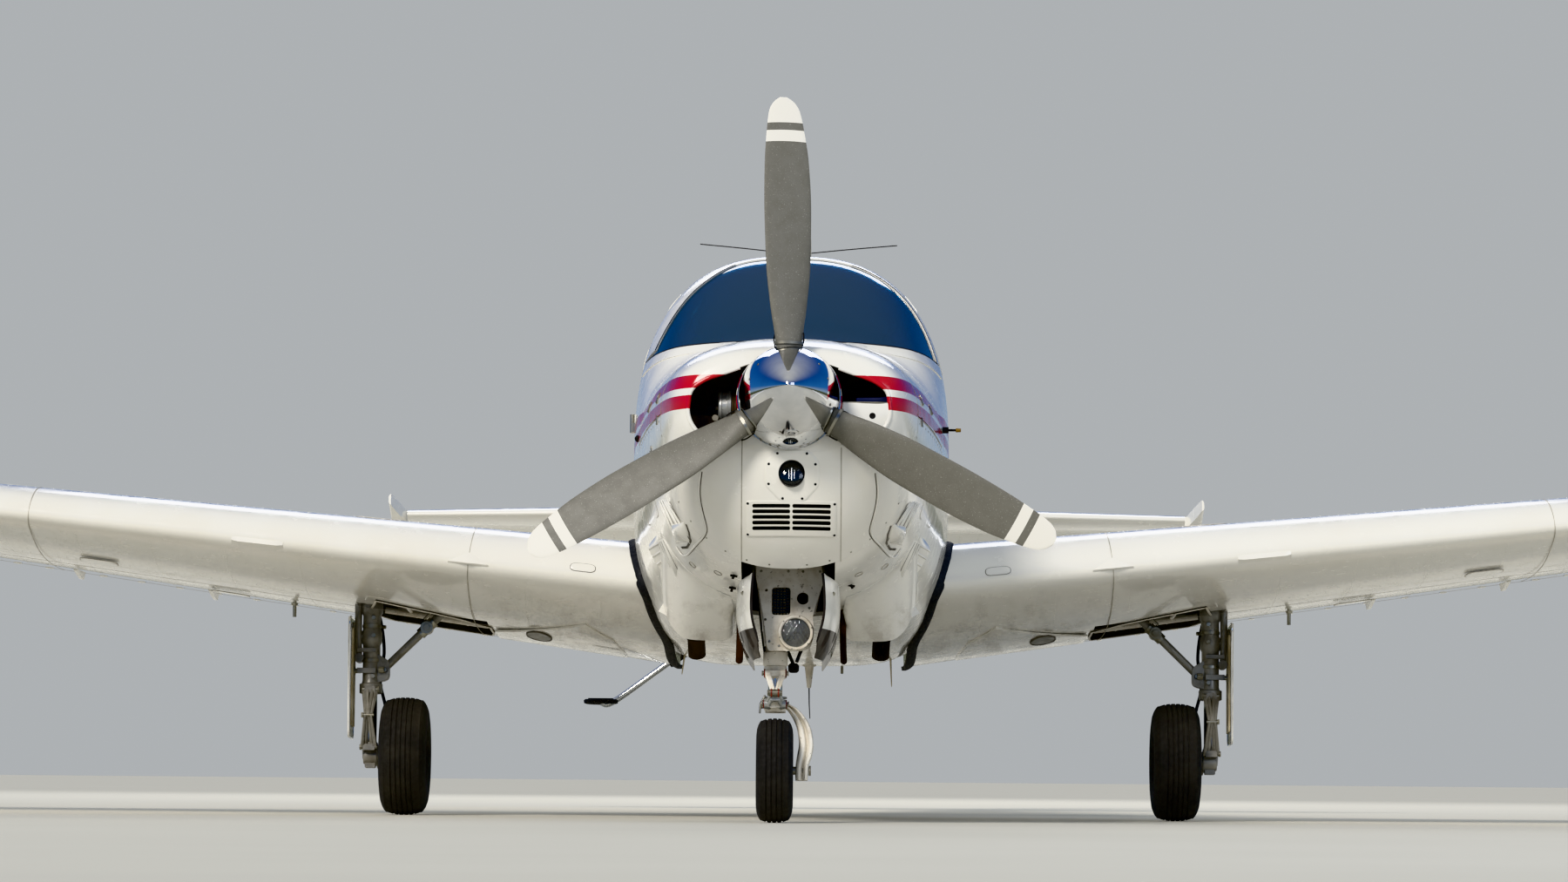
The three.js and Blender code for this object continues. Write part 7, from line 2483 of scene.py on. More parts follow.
rootPlaces = []
for up, shares in (
    (1, np.linspace(0.34, 0.03, 16)), (1, [0.018, 0.008, 0.002]), (-1, [0.002, 0.008, 0.018, 0.03]),
    (-1, np.linspace(0.05, 0.96, 34))
):
    rootPlaces += [(junction(float(s), up), float(s), up) for s in shares]
rootStations = np.array([x for x, s, up in rootPlaces])
for _ in range(8):
    rootStations[1:-1] = (rootStations[:-2] + 2 * rootStations[1:-1] + rootStations[2:]) / 4
rootPath = np.array([wingPoint(x, s, up) for x, (_, s, up) in zip(rootStations, rootPlaces)])
rootNormals = [wingNormal(x, s, up) for x, (_, s, up) in zip(rootStations, rootPlaces)]
sealRing = []
for i, (q, n) in enumerate(zip(rootPath, rootNormals)):
    out = skinNormal(q)
    along = rootPath[min(i + 1, len(rootPath) - 1)] - rootPath[max(i - 1, 0)]
    along /= np.linalg.norm(along) + 1e-12
    a = np.cross(along, n)
    a /= np.linalg.norm(a)
    if np.dot(a, out) < 0:
        a = -a
    width, high = 0.026, 0.009
    sealRing.append(
        [
            q - a * 0.012 - n * 0.004, q + a * width - n * 0.004, q + a * width + n * 0.002,
            q + a * width * 0.6 + n * high, q + n * high * 1.5, q - a * 0.012 + n * high * 1.3
        ]
    )
rootSeal = loft(sealRing)
addPiece("wing_root_seals", [(both(rootSeal), sealRubber)], smooth=60)

# windshield and side window surrounds: a white retainer with a row of screws and a thin black seal
screenFootY, screenFootZ, screenRun, screenRise = 1.9, 0.345, 0.2, 0.495


def sideRibbon(path, width, side=1, **settings):
    pts = [sideSkin(a, b, side) for a, b in path]
    return ribbon(pts, normalsOf(pts), width, **settings)


def screenEdgePoint(t):
    # up the post and over the roof along the windshield's cut, as it meets the skin
    z = screenFootZ + t * (0.84 - screenFootZ)
    y = screenFootY + (z - screenFootZ) * (screenRun / screenRise)
    top = float(smoothTable(hullSections, y)[0])
    return np.array(sideSkin(y, min(z, top), 1))


postTop = 0.0
for t in np.linspace(0, 1, 400):
    z = screenFootZ + t * screenRise
    y = screenFootY + (z - screenFootZ) * (screenRun / screenRise)
    if z >= float(smoothTable(hullSections, y)[0]) - 1e-4:
        break
    postTop = t
shares = postTop * (1 - (1 - np.linspace(0, 1, 40)) ** 2.2)
edgeHalf = [screenEdgePoint(t) for t in shares]
yTop = edgeHalf[-1][1]
xTop = edgeHalf[-1][0]
over = [topSkin(xx, yTop, 1) for xx in np.linspace(xTop, 0, 10)[1:]]
frameLine = np.array(edgeHalf + over + [q * [-1, 1, 1] for q in (edgeHalf + over)[::-1]][1:])
sillHalf = []
for yy in np.linspace(1.9, 1.44, 26):
    zz = 0.384 + (yy - 1.2) / 0.7 * (0.345 - 0.384)
    top = float(smoothTable(hullSections, yy)[0])
    if zz < top - 1e-3:
        sillHalf.append(sideSkin(yy, zz, 1))
lastY = sillHalf[-1][1]
sillOver = [topSkin(xx, lastY, 1) for xx in np.linspace(sillHalf[-1][0], 0, 14)[1:]]
sillLine = np.array(sillHalf + sillOver + [q * [-1, 1, 1] for q in (sillHalf + sillOver)[::-1]][1:])
glassTrim = ribbon(sillLine, normalsOf(sillLine), 0.010, lift=0.0012)


def offsetOnSkin(line, by):
    # the line shifted sideways over the skin
    p = np.array(line)
    n = np.array(normalsOf(p))
    tangent = np.gradient(p, axis=0)
    tangent /= np.linalg.norm(tangent, axis=1)[:, None]
    return p + np.cross(tangent, n) * by


def ontoSkin(q):
    n = skinNormal(q)
    low, high = -0.03, 0.03
    for _ in range(22):
        mid = (low + high) / 2
        low, high = (mid, high) if insideHull(*(q + n * mid)) < 1 else (low, mid)
    return q + n * high


sillOuter = offsetOnSkin(sillLine, 0.03)
if sillOuter[len(sillOuter) // 2][1] > sillLine[len(sillLine) // 2][1]:
    sillOuter = offsetOnSkin(sillLine, -0.03)
sillOuter = np.array([ontoSkin(q) for q in sillOuter])

# the windshield post is broad on the door's side, narrow on the other, and hardly there over the roof
postColumns = 7
forward = 1 if offsetOnSkin(frameLine, 0.01)[len(frameLine) // 2][1] < frameLine[len(frameLine) // 2][1] else -1
tops = frameLine[:, 2]
doorPost = np.interp(tops, [0.345, 0.45, 0.6, 0.68, 0.715, 0.742], [0.122, 0.12, 0.1, 0.08, 0.045, 0.005])
broad = np.where(frameLine[:, 0] < 0, doorPost, np.interp(tops, [0.345, 0.6, 0.742], [0.03, 0.018, 0.005]))
broad = np.convolve(np.pad(broad, 3, mode="edge"), np.ones(7) / 7, "valid")
unit = offsetOnSkin(frameLine, forward) - frameLine
postGrid, postNormals = [], []
for f in np.linspace(-0.16, 1, postColumns):
    reach = broad * f if f > 0 else f * 0.12
    line = [ontoSkin(p + u * d) for p, u, d in zip(frameLine, unit, np.broadcast_to(reach, (len(frameLine),)))]
    postNormals.append(normalsOf(line))
    postGrid.append([p + nn * 0.0035 for p, nn in zip(line, postNormals[-1])])
rows, cols = postColumns, len(frameLine)
postFaces = [
    (r * cols + i, r * cols + i + 1, (r + 1) * cols + i + 1, (r + 1) * cols + i)
    for r in range(rows - 1)
    for i in range(cols - 1)
]
postSheet = closedSheet(
    np.array(postGrid).reshape(-1, 3), postFaces, cols, rows, np.array(postNormals).reshape(-1, 3), 0.006
)
postEdge = np.array(postGrid[-1])
lower = [i for i in range(len(tops)) if tops[i] < 0.735]
legs = [[i for i in lower if frameLine[i, 0] > 0], [i for i in lower if frameLine[i, 0] < 0]]
postBeads = merged(*[ribbon(postEdge[leg], np.array(postNormals[-1])[leg], 0.006, lift=0.0004) for leg in legs])
postSeam = merged(
    *[ribbon(np.array(postGrid[0])[leg], np.array(postNormals[0])[leg], 0.003, lift=0.0003) for leg in legs]
)
retainer = merged(postSheet, ribbon(sillOuter, normalsOf(sillOuter), 0.05, lift=0.0026, thick=0.005))
windowTrims, windowRetainers = {"airframe": [], "cabin_door": []}, {"airframe": [], "cabin_door": []}
for name, line in windowLines.items():
    for side in (-1, 1):
        body = "cabin_door" if name == "front" and side < 0 else "airframe"
        loop = grown(line, 0.001)
        loop = loop + loop[:2]
        windowTrims[body].append(sideRibbon(loop, 0.008, side, lift=0.001))
        outerLoop = grown(line, 0.013)
        outerLoop = outerLoop + outerLoop[:2]
        windowRetainers[body].append(sideRibbon(outerLoop, 0.016, side, lift=0.0022, thick=0.004))
doorGap = grown(cabinDoorLine, 0.003)
bagGap = grown(baggageDoorLine, 0.003)
doorSeal = merged(
    sideRibbon(doorGap + doorGap[:2], 0.007, -1, lift=-0.003, thick=0.008),
    sideRibbon(bagGap + bagGap[:2], 0.007, -1, lift=-0.003, thick=0.008)
)
addPiece(
    "glazing_trim",
    [
        (merged(glassTrim, postBeads, *windowTrims["airframe"]), sealRubber), (postSeam, seamGrey),
        (merged(retainer, *windowRetainers["airframe"]), fuselagePaint), (doorSeal, sealRubber)
    ],
    smooth=60
)
addPiece(
    "door_window_trim",
    [(merged(*windowTrims["cabin_door"]), sealRubber), (merged(*windowRetainers["cabin_door"]), fuselagePaint)],
    "cabin_door", smooth=60
)
print("stage: seals and glazing trim")

# step, aerials and lamps

stepTop, stepEnd = np.array([-0.23, 4.15, -0.4]), np.array([-0.72, 4.15, -0.752])
stepPad = Matrix.Translation((-0.77, 4.15, -0.752))
padDisc = lathe(
    [(-0.009, 0.0), (-0.009, 0.06), (-0.006, 0.068), (0.004, 0.07), (0.0085, 0.066), (0.0085, 0.0)], "z", 40
)
padRibs = merged(*[box((-0.05, 0.05), (a - 0.003, a + 0.003), (0.008, 0.0115)) for a in np.linspace(-0.042, 0.042, 6)])
strut = carved(
    sweep(
        smoothPath([stepTop, stepTop + (stepEnd - stepTop) * 0.6, stepEnd, stepEnd + [-0.05, 0, -0.004]], 18), 0.0125,
        20
    ),
    [wholeHull]
)
collarStep = carved(sweep([stepTop + (stepEnd - stepTop) * t for t in (0.4, 0.55)], 0.022, 24), [wholeHull])
addPiece(
    "boarding_step_skin",
    [(strut, chromedSteel), (moved(merged(padDisc, padRibs), stepPad), walkGrip), (collarStep, blackFinishAndPaintedShade)],
    replaces=["boarding_step"]
)


def bladeAerial(foot, tip, chord, tipChord, thick=0.008):
    foot, tip = np.array(foot, float), np.array(tip, float)
    rings = []
    for t in (0, 0.3, 0.7, 0.93, 1.0):
        c = (chord + (tipChord - chord) * t) * (0.55 if t == 1.0 else 1)
        w = thick * (1 - 0.5 * t) * (0.4 if t == 1.0 else 1)
        q = foot + (tip - foot) * t
        rings.append(
            [
                q + [w * math.sin(a) * 0.5, c * 0.5 * math.cos(a), 0]
                for a in np.linspace(0, 2 * math.pi, 14, endpoint=False)
            ]
        )
    return loft(rings)


belly = lambda px, yy: topSkin(px, yy, -1)
aerials = merged(
    bladeAerial(belly(-0.406, 3.0) + [0, 0, 0.01], belly(-0.406, 3.0) + [-0.012, 0.03, -0.072], 0.09, 0.02),
    bladeAerial(belly(0.381, 3.0) + [0, 0, 0.01], belly(0.381, 3.0) + [0.006, 0.04, -0.105], 0.1, 0.025),
)
whipFoot = belly(0.07, 3.2)
whipSet = merged(
    moved(
        lathe([(0.006, 0.0), (0.006, 0.027), (-0.003, 0.027), (-0.006, 0.02), (-0.006, 0.0)], "z", 32),
        Matrix.Translation(whipFoot)
    ),
    bar(whipFoot + [0, 0, 0.0], whipFoot + [0, 0.004, -0.088], 0.018, 0.008, 20),
)
whip = sweep(
    [whipFoot + [0, 0.004, -0.086], whipFoot + [0.001, 0.012, -0.15], whipFoot + [0.004, 0.03, -0.205]],
    [0.0026, 0.0022, 0.0016], 8
)
ventMast = merged(
    bar(belly(-0.1, 4.3), belly(-0.1, 4.3) + [0, 0.02, -0.05], 0.007, sides=12),
    bar(belly(0.2, 3.9), belly(0.2, 3.9) + [0, 0.02, -0.035], 0.006, sides=12)
)
addPiece(
    "belly_aerials", [(aerials, creamBaffle), (whipSet, gearWhite), (whip, wireWhip), (ventMast, zincSteel)], smooth=50
)

finTop = np.array([0, 7.2, 1.5])
whiskerBase = bladeAerial(finTop + [0, 0.03, -0.02], finTop + [0, 0.05, 0.036], 0.12, 0.08, 0.03)
whiskers = merged(
    *[
        sweep(
            smoothPath(
                [
                    finTop + [s * 0.012, 0.045, 0.026], finTop + [s * 0.22, 0.05, 0.049],
                    finTop + [s * 0.455, 0.06, 0.072]
                ],
                12
            ),
            0.0028, 8
        )
        for s in (-1, 1)
    ]
)
beaconDome = moved(
    lathe([(0.0, 0.022), (0.02, 0.021), (0.032, 0.015), (0.038, 0.006), (0.039, 0.0)], "z", 28),
    Matrix.Translation(finTop + [0, 0.2, -0.004])
)
tailLamp = moved(
    lathe([(0.0, 0.014), (0.012, 0.013), (0.019, 0.007), (0.021, 0.0)], "y", 24), Matrix.Translation((0, 7.795, 0.165))
)
addPiece("fin_aerial", [(whiskerBase, tailPaint), (whiskers, wireWhip)], smooth=60)
addPiece("fin_beacon", [(beaconDome, redLens)], smooth=60)
addPiece("tail_lamp", [(tailLamp, clearLens)], smooth=60)
roofBlade = bladeAerial(
    topSkin(0.06, 2.75, 1) + [0, 0, -0.01], topSkin(0.06, 2.75, 1) + [0.002, 0.07, 0.155], 0.12, 0.06, 0.014
)
addPiece("roof_aerial", [(roofBlade, creamBaffle)], smooth=50)
for side, lens in ((-1, greenLens), (1, redLens)):
    name = "right" if side < 0 else "left"
    lamp = moved(
        lathe([(-0.045, 0.0), (-0.04, 0.01), (-0.02, 0.019), (0.01, 0.02), (0.05, 0.012), (0.075, 0.0)], "y", 24),
        Matrix.Translation(wingPoint(wingSpan - 0.12, 0.075, 1) + [0, 0, -0.014])
    )
    addPiece(f"wing_tip_lamp_{name}", [(onSide(lamp, side), lens)], smooth=60)
print("stage: aerials and lamps")

# what repeats: rows of rivets, screws, cooling fins and stitches, grown by Geometry Nodes

rowKinds = {
    # shape, its own size in metres, sides; a rivet or screw stands on the skin, the rest lie along the row
    "rivet": ("GeometryNodeMeshIcoSphere", {"Radius": 0.0026}, (1, 1, 0.42)),
    "screw": ("GeometryNodeMeshCylinder", {"Radius": 0.0042, "Depth": 0.0018, "Vertices": 10}, (1, 1, 1)),
    "fin": ("GeometryNodeMeshCylinder", {"Radius": 0.072, "Depth": 0.0021, "Vertices": 36}, (1, 1, 1)),
    "stitch": ("GeometryNodeMeshCylinder", {"Radius": 0.0009, "Depth": 0.0055, "Vertices": 6}, (1, 1, 1)),
}


def rowTree(name, kind, material, along):
    # instances stand on points spaced along each row; "along" turns them to the row, otherwise to the surface
    tree = bpy.data.node_groups.new(name, "GeometryNodeTree")
    sockets = tree.interface
    sockets.new_socket("Rows", in_out="INPUT", socket_type="NodeSocketGeometry")
    spacing = sockets.new_socket("Spacing", in_out="INPUT", socket_type="NodeSocketFloat")
    size = sockets.new_socket("Size", in_out="INPUT", socket_type="NodeSocketFloat")
    wander = sockets.new_socket("Size wander", in_out="INPUT", socket_type="NodeSocketFloat")
    seed = sockets.new_socket("Seed", in_out="INPUT", socket_type="NodeSocketInt")
    sockets.new_socket("Parts", in_out="OUTPUT", socket_type="NodeSocketGeometry")
    given = addNode(tree, "NodeGroupInput").outputs
    curve = addNode(tree, "GeometryNodeMeshToCurve", {"Mesh": given["Rows"]}).outputs[0]
    spaced = addNode(
        tree, "GeometryNodeResampleCurve", {"Curve": curve, "Length": given["Spacing"]}, mode="LENGTH"
    ).outputs[0]
    nodeKind, measures, squat = rowKinds[kind]
    part = addNode(tree, nodeKind, measures).outputs["Mesh"]
    part = addNode(tree, "GeometryNodeTransform", {"Geometry": part, "Scale": squat}).outputs[0]
    facing = addNode(
        tree, "GeometryNodeInputNamedAttribute", {"Name": "facing"}, data_type="FLOAT_VECTOR"
    ).outputs["Attribute"]
    tangent = addNode(tree, "GeometryNodeInputTangent").outputs[0]
    if along:
        turned = addNode(tree, "FunctionNodeAlignRotationToVector", {"Vector": tangent}, axis="Z").outputs[0]
        turned = addNode(
            tree, "FunctionNodeAlignRotationToVector", {"Rotation": turned, "Vector": facing}, axis="X", pivot_axis="Z"
        ).outputs[0]
    else:
        turned = addNode(tree, "FunctionNodeAlignRotationToVector", {"Vector": facing}, axis="Z").outputs[0]
    low = addNode(tree, "Math", {0: given["Size"], 1: given["Size wander"]}, operation="SUBTRACT").outputs[0]
    high = addNode(tree, "Math", {0: given["Size"], 1: given["Size wander"]}, operation="ADD").outputs[0]
    scale = addNode(
        tree, "FunctionNodeRandomValue", {"Min": low, "Max": high, "Seed": given["Seed"]}, data_type="FLOAT"
    )
    scaleOut = next(o for o in scale.outputs if o.enabled)
    placed = addNode(
        tree, "GeometryNodeInstanceOnPoints",
        {"Points": spaced, "Instance": part, "Rotation": turned, "Scale": scaleOut}
    ).outputs[0]
    real = addNode(tree, "GeometryNodeRealizeInstances", {"Geometry": placed}).outputs[0]
    finished = addNode(tree, "GeometryNodeSetMaterial", {"Geometry": real, "Material": material}).outputs[0]
    addNode(tree, "NodeGroupOutput", {"Parts": finished})
    return tree, {
        "spacing": spacing.identifier, "size": size.identifier, "wander": wander.identifier, "seed": seed.identifier
    }


def repeatAlong(name, kind, rows, spacing, material, body="airframe", size=1.0, wander=0.0, along=False, seed=7):
    # rows is a list of (points, normals) drawn level; the result is one plain mesh
    m = np.array(toGround)
    verts, edges, facing = [], [], []
    for points, normals in rows:
        p, n = np.asarray(points, float), np.asarray(normals, float)
        start = len(verts)
        verts += [tuple(q) for q in p @ m[:3, :3].T + m[:3, 3]]
        facing += [tuple(q) for q in n @ m[:3, :3].T]
        edges += [(start + i, start + i + 1) for i in range(len(p) - 1)]
    mesh = bpy.data.meshes.new(name + "_rows")
    mesh.from_pydata(verts, edges, [])
    mesh.attributes.new("facing", "FLOAT_VECTOR", "POINT").data.foreach_set("vector", np.ravel(facing))
    guide = bpy.data.objects.new(name + "_rows", mesh)
    bpy.context.scene.collection.objects.link(guide)
    tree, keys = rowTree(name, kind, material, along)
    step = guide.modifiers.new("rows", "NODES")
    step.node_group = tree
    for key, value in (("spacing", float(spacing)), ("size", float(size)), ("wander", float(wander)), ("seed", seed)):
        step[keys[key]] = value
    made = bpy.data.meshes.new_from_object(guide.evaluated_get(bpy.context.evaluated_depsgraph_get()))
    guide.modifiers.clear()
    bpy.data.objects.remove(guide)
    made.name = name
    if not made.materials:
        made.materials.append(material)
    made.polygons.foreach_set("use_smooth", [True] * len(made.polygons))
    made.set_sharp_from_angle(angle=math.radians(40))
    obj = bpy.data.objects.new(name, made)
    bpy.context.scene.collection.objects.link(obj)
    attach(obj, body)
    return obj


# engine: a flat six inside its cowling

engineSpec = {"cylinders": (0.4, 0.66, 0.92), "z": -0.085, "barrel": (0.13, 0.235), "bore": 0.058}
caseOutline = [
    (0.26, -0.05), (0.3, -0.02), (0.42, 0.008), (1.1, 0.01), (1.17, -0.03), (1.17, -0.17), (1.1, -0.2), (0.34, -0.2),
    (0.26, -0.13)
]
crankcase = prism(rounded(caseOutline, 0.03, 5), "x", -0.125, 0.125)
caseParts = [crankcase, bar((0, 0.245, -0.06), (0, 0.3, -0.06), 0.06, sides=32)]
caseRibs = [box((-0.128, 0.128), (yy - 0.004, yy + 0.004), (-0.202, 0.014)) for yy in (0.33, 0.53, 0.79, 1.05)]
heads, covers, pipes, leads = [], [], [], []
finRows = []
for sx in (-1, 1):
    for yy in engineSpec["cylinders"]:
        z = engineSpec["z"]
        caseParts.append(bar((sx * 0.12, yy, z), (sx * 0.25, yy, z), engineSpec["bore"], sides=28))
        axis = np.array([[sx * engineSpec["barrel"][0], yy, z], [sx * engineSpec["barrel"][1], yy, z]])
        finRows.append((axis, [[0, 0, 1.0]] * 2))
        headBox = rounded(rect((yy - 0.078, yy + 0.078), (z - 0.07, z + 0.075)), 0.02, 4)
        heads.append(prism([(a, b) for a, b in grown(headBox, -0.012)], "x", sx * 0.235, sx * 0.31))
        for k in range(7):
            xx = 0.238 + k * 0.0092
            heads.append(prism(headBox, "x", sx * xx, sx * (xx + 0.0022)))
        coverLine = rounded(rect((yy - 0.055, yy + 0.055), (z - 0.048, z + 0.04)), 0.022, 5)
        covers.append(prism(coverLine, "x", sx * 0.306, sx * 0.3185))
        pipes.append(
            sweep(
                smoothPath(
                    [
                        (sx * 0.27, yy + 0.03, z - 0.06), (sx * 0.27, yy + 0.035, z - 0.12),
                        (sx * 0.24, yy + 0.06, -0.255)
                    ],
                    10
                ),
                0.021, 16
            )
        )
        leads.append(
            sweep(
                smoothPath(
                    [
                        (sx * 0.25, yy - 0.03, z + 0.07), (sx * 0.2, yy, 0.05), (sx * 0.08, yy + 0.06, 0.045),
                        (sx * 0.03, 1.1, 0.03)
                    ],
                    16
                ),
                0.0035, 8
            )
        )
sump = prism(rounded([(0.4, -0.2), (1.02, -0.2), (0.98, -0.262), (0.44, -0.262)], 0.02, 4), "x", -0.11, 0.11)
plenum = merged(
    *[
        sweep(smoothPath([(sx * 0.06, 0.42, -0.23), (sx * 0.2, 0.5, -0.235), (sx * 0.22, 0.9, -0.235)], 14), 0.022, 16)
        for sx in (-1, 1)
    ]
)
magnetos = merged(*[bar((sx * 0.07, 1.08, -0.06), (sx * 0.07, 1.178, -0.06), 0.036, 0.03, 24) for sx in (-1, 1)])
filterCan = bar((0.0, 1.1, -0.14), (0.0, 1.178, -0.14), 0.034, sides=28)
backBaffle = carved(
    box((-0.318, 0.318), (1.004, 1.008), (-0.2, 0.092)), [box((-0.14, 0.14), (0.98, 1.03), (-0.25, 0.02))]
)
sideBaffles = merged(*[box((sx * 0.3185, sx * 0.3195), (0.31, 1.0), (-0.16, 0.09)) for sx in (-1, 1)])
addPiece(
    "engine_block_skin",
    [
        (merged(*caseParts, *caseRibs, sump), castCrankcase), (merged(*heads), castCrankcase),
        (merged(*covers), creamBaffle), (merged(*pipes), heatSteel), (merged(*leads), sparkLead), (plenum, blackAlloy),
        (merged(magnetos, filterCan), blackAlloy), (merged(backBaffle, sideBaffles), creamBaffle)
    ],
    replaces=["engine_block"], bevel=0.0
)
repeatAlong("cylinder_fins", "fin", finRows, 0.0058, castCrankcase, along=True)

# a painted baffle plate shuts the lower half of the intake on the aircraft's left; the alternator shows in the other
alternator = {"x": (-0.238, -0.156), "y": 0.205, "z": -0.014, "radius": 0.055}
ax0, ax1 = alternator["x"]
drumAt = Matrix.Translation((0, alternator["y"], alternator["z"]))
drum = moved(
    lathe(
        [
            (ax0, 0.0), (ax0, 0.044), (ax0 + 0.003, 0.05), (ax0 + 0.012, 0.052), (ax0 + 0.013, 0.049),
            (ax0 + 0.03, 0.05), (ax0 + 0.032, 0.055), (ax0 + 0.044, 0.055), (ax0 + 0.046, 0.0)
        ],
        "x", 56
    ),
    drumAt
)
belt = moved(
    lathe(
        [
            (ax0 + 0.046, 0.0), (ax0 + 0.046, 0.05), (ax0 + 0.05, 0.052), (ax0 + 0.055, 0.049), (ax0 + 0.06, 0.052),
            (ax0 + 0.065, 0.049), (ax0 + 0.07, 0.051), (ax0 + 0.07, 0.0)
        ],
        "x", 56
    ),
    drumAt
)
plateEnd = moved(
    lathe([(ax0 + 0.07, 0.0), (ax0 + 0.07, 0.047), (ax0 + 0.08, 0.047), (ax1, 0.04), (ax1, 0.0)], "x", 48), drumAt
)
lugs = merged(
    *[bar((-0.247, 0.19, zz), (-0.235, 0.19, zz), 0.007, sides=14) for zz in (-0.02, -0.052)],
    bar((-0.247, 0.165, -0.055), (-0.247, 0.185, -0.055), 0.011, sides=20)
)
bracket = merged(
    box((-0.26, -0.15), (0.24, 0.25), (-0.1, 0.04)),
    prism([(0.18, -0.075), (0.25, -0.1), (0.25, -0.02), (0.2, -0.05)], "x", -0.25, -0.235)
)
innerBox = prism(
    rounded([(-0.345, -0.125), (-0.255, -0.125), (-0.255, -0.045), (-0.345, -0.04)], 0.01, 3), "y", 0.2, 0.206
)
# the dark wall behind both intakes is painted shade for their unlit insides
intakePaintedShadeWall = carved(
    prism([tuple(q) for q in hullRing(0.236, 0.024)[:, [0, 2]]], "y", 0.236, 0.24),
    [bar((0, 0.1, 0), (0, 0.4, 0), 0.09, sides=48), box((-0.06, 0.06), (0.2, 0.3), (-0.33, -0.2))]
)
addPiece(
    "alternator",
    [
        (drum, wheelAlloy), (belt, sparkLead), (plateEnd, castCrankcase), (lugs, zincSteel), (bracket, castCrankcase),
        (innerBox, sparkLead)
    ],
    bevel=0.0008
)
addPiece("intake_back_wall", [(intakePaintedShadeWall, blackFinishAndPaintedShade)])
plateLine = [
    (0.1775, -0.012), (0.335, -0.012), (0.3385, -0.06), (0.303, -0.122), (0.129, -0.122), (0.155, -0.088),
    (0.173, -0.046)
]
plateFace = moved(frontPatch(plateLine, 0.004), Matrix.Translation((0, 0.004, 0)))
# a black disc on the plate is painted shade for its hole
plateHoleSpot = frontSkin(0.278, -0.056)
plateHolePaintedShade = bar((0.278, plateHoleSpot[1], -0.056), (0.278, plateHoleSpot[1] + 0.0035, -0.056), 0.0105, sides=32)
plateLip = sweep([frontSkin(xx, -0.0115) + [0, 0.006, 0] for xx in np.linspace(0.179, 0.334, 14)], 0.0035, 8)
navyStrip = frontPatch([(0.225, -0.01), (0.34, -0.01), (0.34, 0.015), (0.3, 0.008), (0.225, 0.006)], 0.003)
navyPaint = makePlain("navy_silicone_seal", "#0a123c", "#101a4a", 0.5, 60, 0.0004)
addPiece(
    "intake_baffle",
    [
        (plateFace, wingPaint), (plateHolePaintedShade, blackFinishAndPaintedShade), (plateLip, zincSteel),
        (moved(navyStrip, Matrix.Translation((0, 0.03, 0))), navyPaint)
    ]
)
print("stage: engine bay")

# cabin

floorNode = next(o for o in bpy.data.objects if o.name == "cabin_floor")
floorNode.data.materials.clear()
floorNode.data.materials.append(carpetPile)


def padShape(x, y, z, crown, corner=0.045):
    # a soft block: rounded plan, sides that pull in, a crowned face on the side that is sat on
    x0, x1, y0, y1, z0, z1 = *x, *y, *z
    cx, cy = (x0 + x1) / 2, (y0 + y1) / 2
    rings = []
    for t, pull in (
        (0, 0.03), (0.02, 0.012), (0.12, 0.002), (0.35, 0.004), (0.62, 0.004), (0.85, 0.0), (0.95, 0.01), (1.0, 0.03)
    ):
        zz = z0 + (z1 - z0) * t
        rings.append([(a, b, zz) for a, b in rounded(rect((x0 + pull, x1 - pull), (y0 + pull, y1 - pull)), corner, 8)])
    v, f = loft(rings, caps=False)
    m, k = len(rings), len(rings[0])
    v, f = list(map(tuple, v)), list(f)
    # both faces close with shrinking loops, the upper one rising to its crown
    for ring, up in ((0, -1), (m - 1, 1)):
        base = np.array(v[ring * k : (ring + 1) * k])
        last = list(range(ring * k, (ring + 1) * k))
        for s in (0.8, 0.6, 0.4, 0.2, 0.0):
            level = base[0][2] + (crown * (1 - s**2) if up > 0 else 0)
            if s:
                start = len(v)
                v += [(cx + (q[0] - cx) * s, cy + (q[1] - cy) * s, level) for q in base]
                loop = list(range(start, start + k))
                f += [(last[i], last[(i + 1) % k], loop[(i + 1) % k], loop[i]) for i in range(k)]
                last = loop
            else:
                v.append((cx, cy, level))
                f += [(last[i], last[(i + 1) % k], len(v) - 1) for i in range(k)]
    return np.array(v), f


def puffed(shape, voxel=0.006, cap=0.012):
    # cloth blown up a little from inside, as foam fills its cover; each point moves no further than the cap
    obj = bpy.data.objects.new("pad", cleaned(shape))
    bpy.context.scene.collection.objects.link(obj)
    step = obj.modifiers.new("voxels", "REMESH")
    step.mode, step.voxel_size = "VOXEL", voxel
    mesh = bpy.data.meshes.new_from_object(obj.evaluated_get(bpy.context.evaluated_depsgraph_get()))
    obj.modifiers.clear()
    obj.data = mesh
    start = np.array([v.co for v in mesh.vertices])
    cloth = obj.modifiers.new("cover", "CLOTH")
    cloth.settings.use_pressure = True
    cloth.settings.uniform_pressure_force = 4
    cloth.settings.effector_weights.gravity = 0
    cloth.settings.quality = 4
    cloth.collision_settings.use_collision = False
    cloth.point_cache.frame_start, cloth.point_cache.frame_end = 1, 20
    for number in range(1, 21):
        bpy.context.scene.frame_set(number)
    graph = bpy.context.evaluated_depsgraph_get()
    blown = np.array([v.co for v in obj.evaluated_get(graph).data.vertices])
    obj.modifiers.clear()
    bpy.context.scene.frame_set(1)
    move = blown - start
    far = np.linalg.norm(move, axis=1)[:, None] + 1e-12
    start = start + move * np.minimum(1, cap / far)
    faces = [tuple(p.vertices) for p in mesh.polygons]
    bpy.data.objects.remove(obj)
    return start, faces


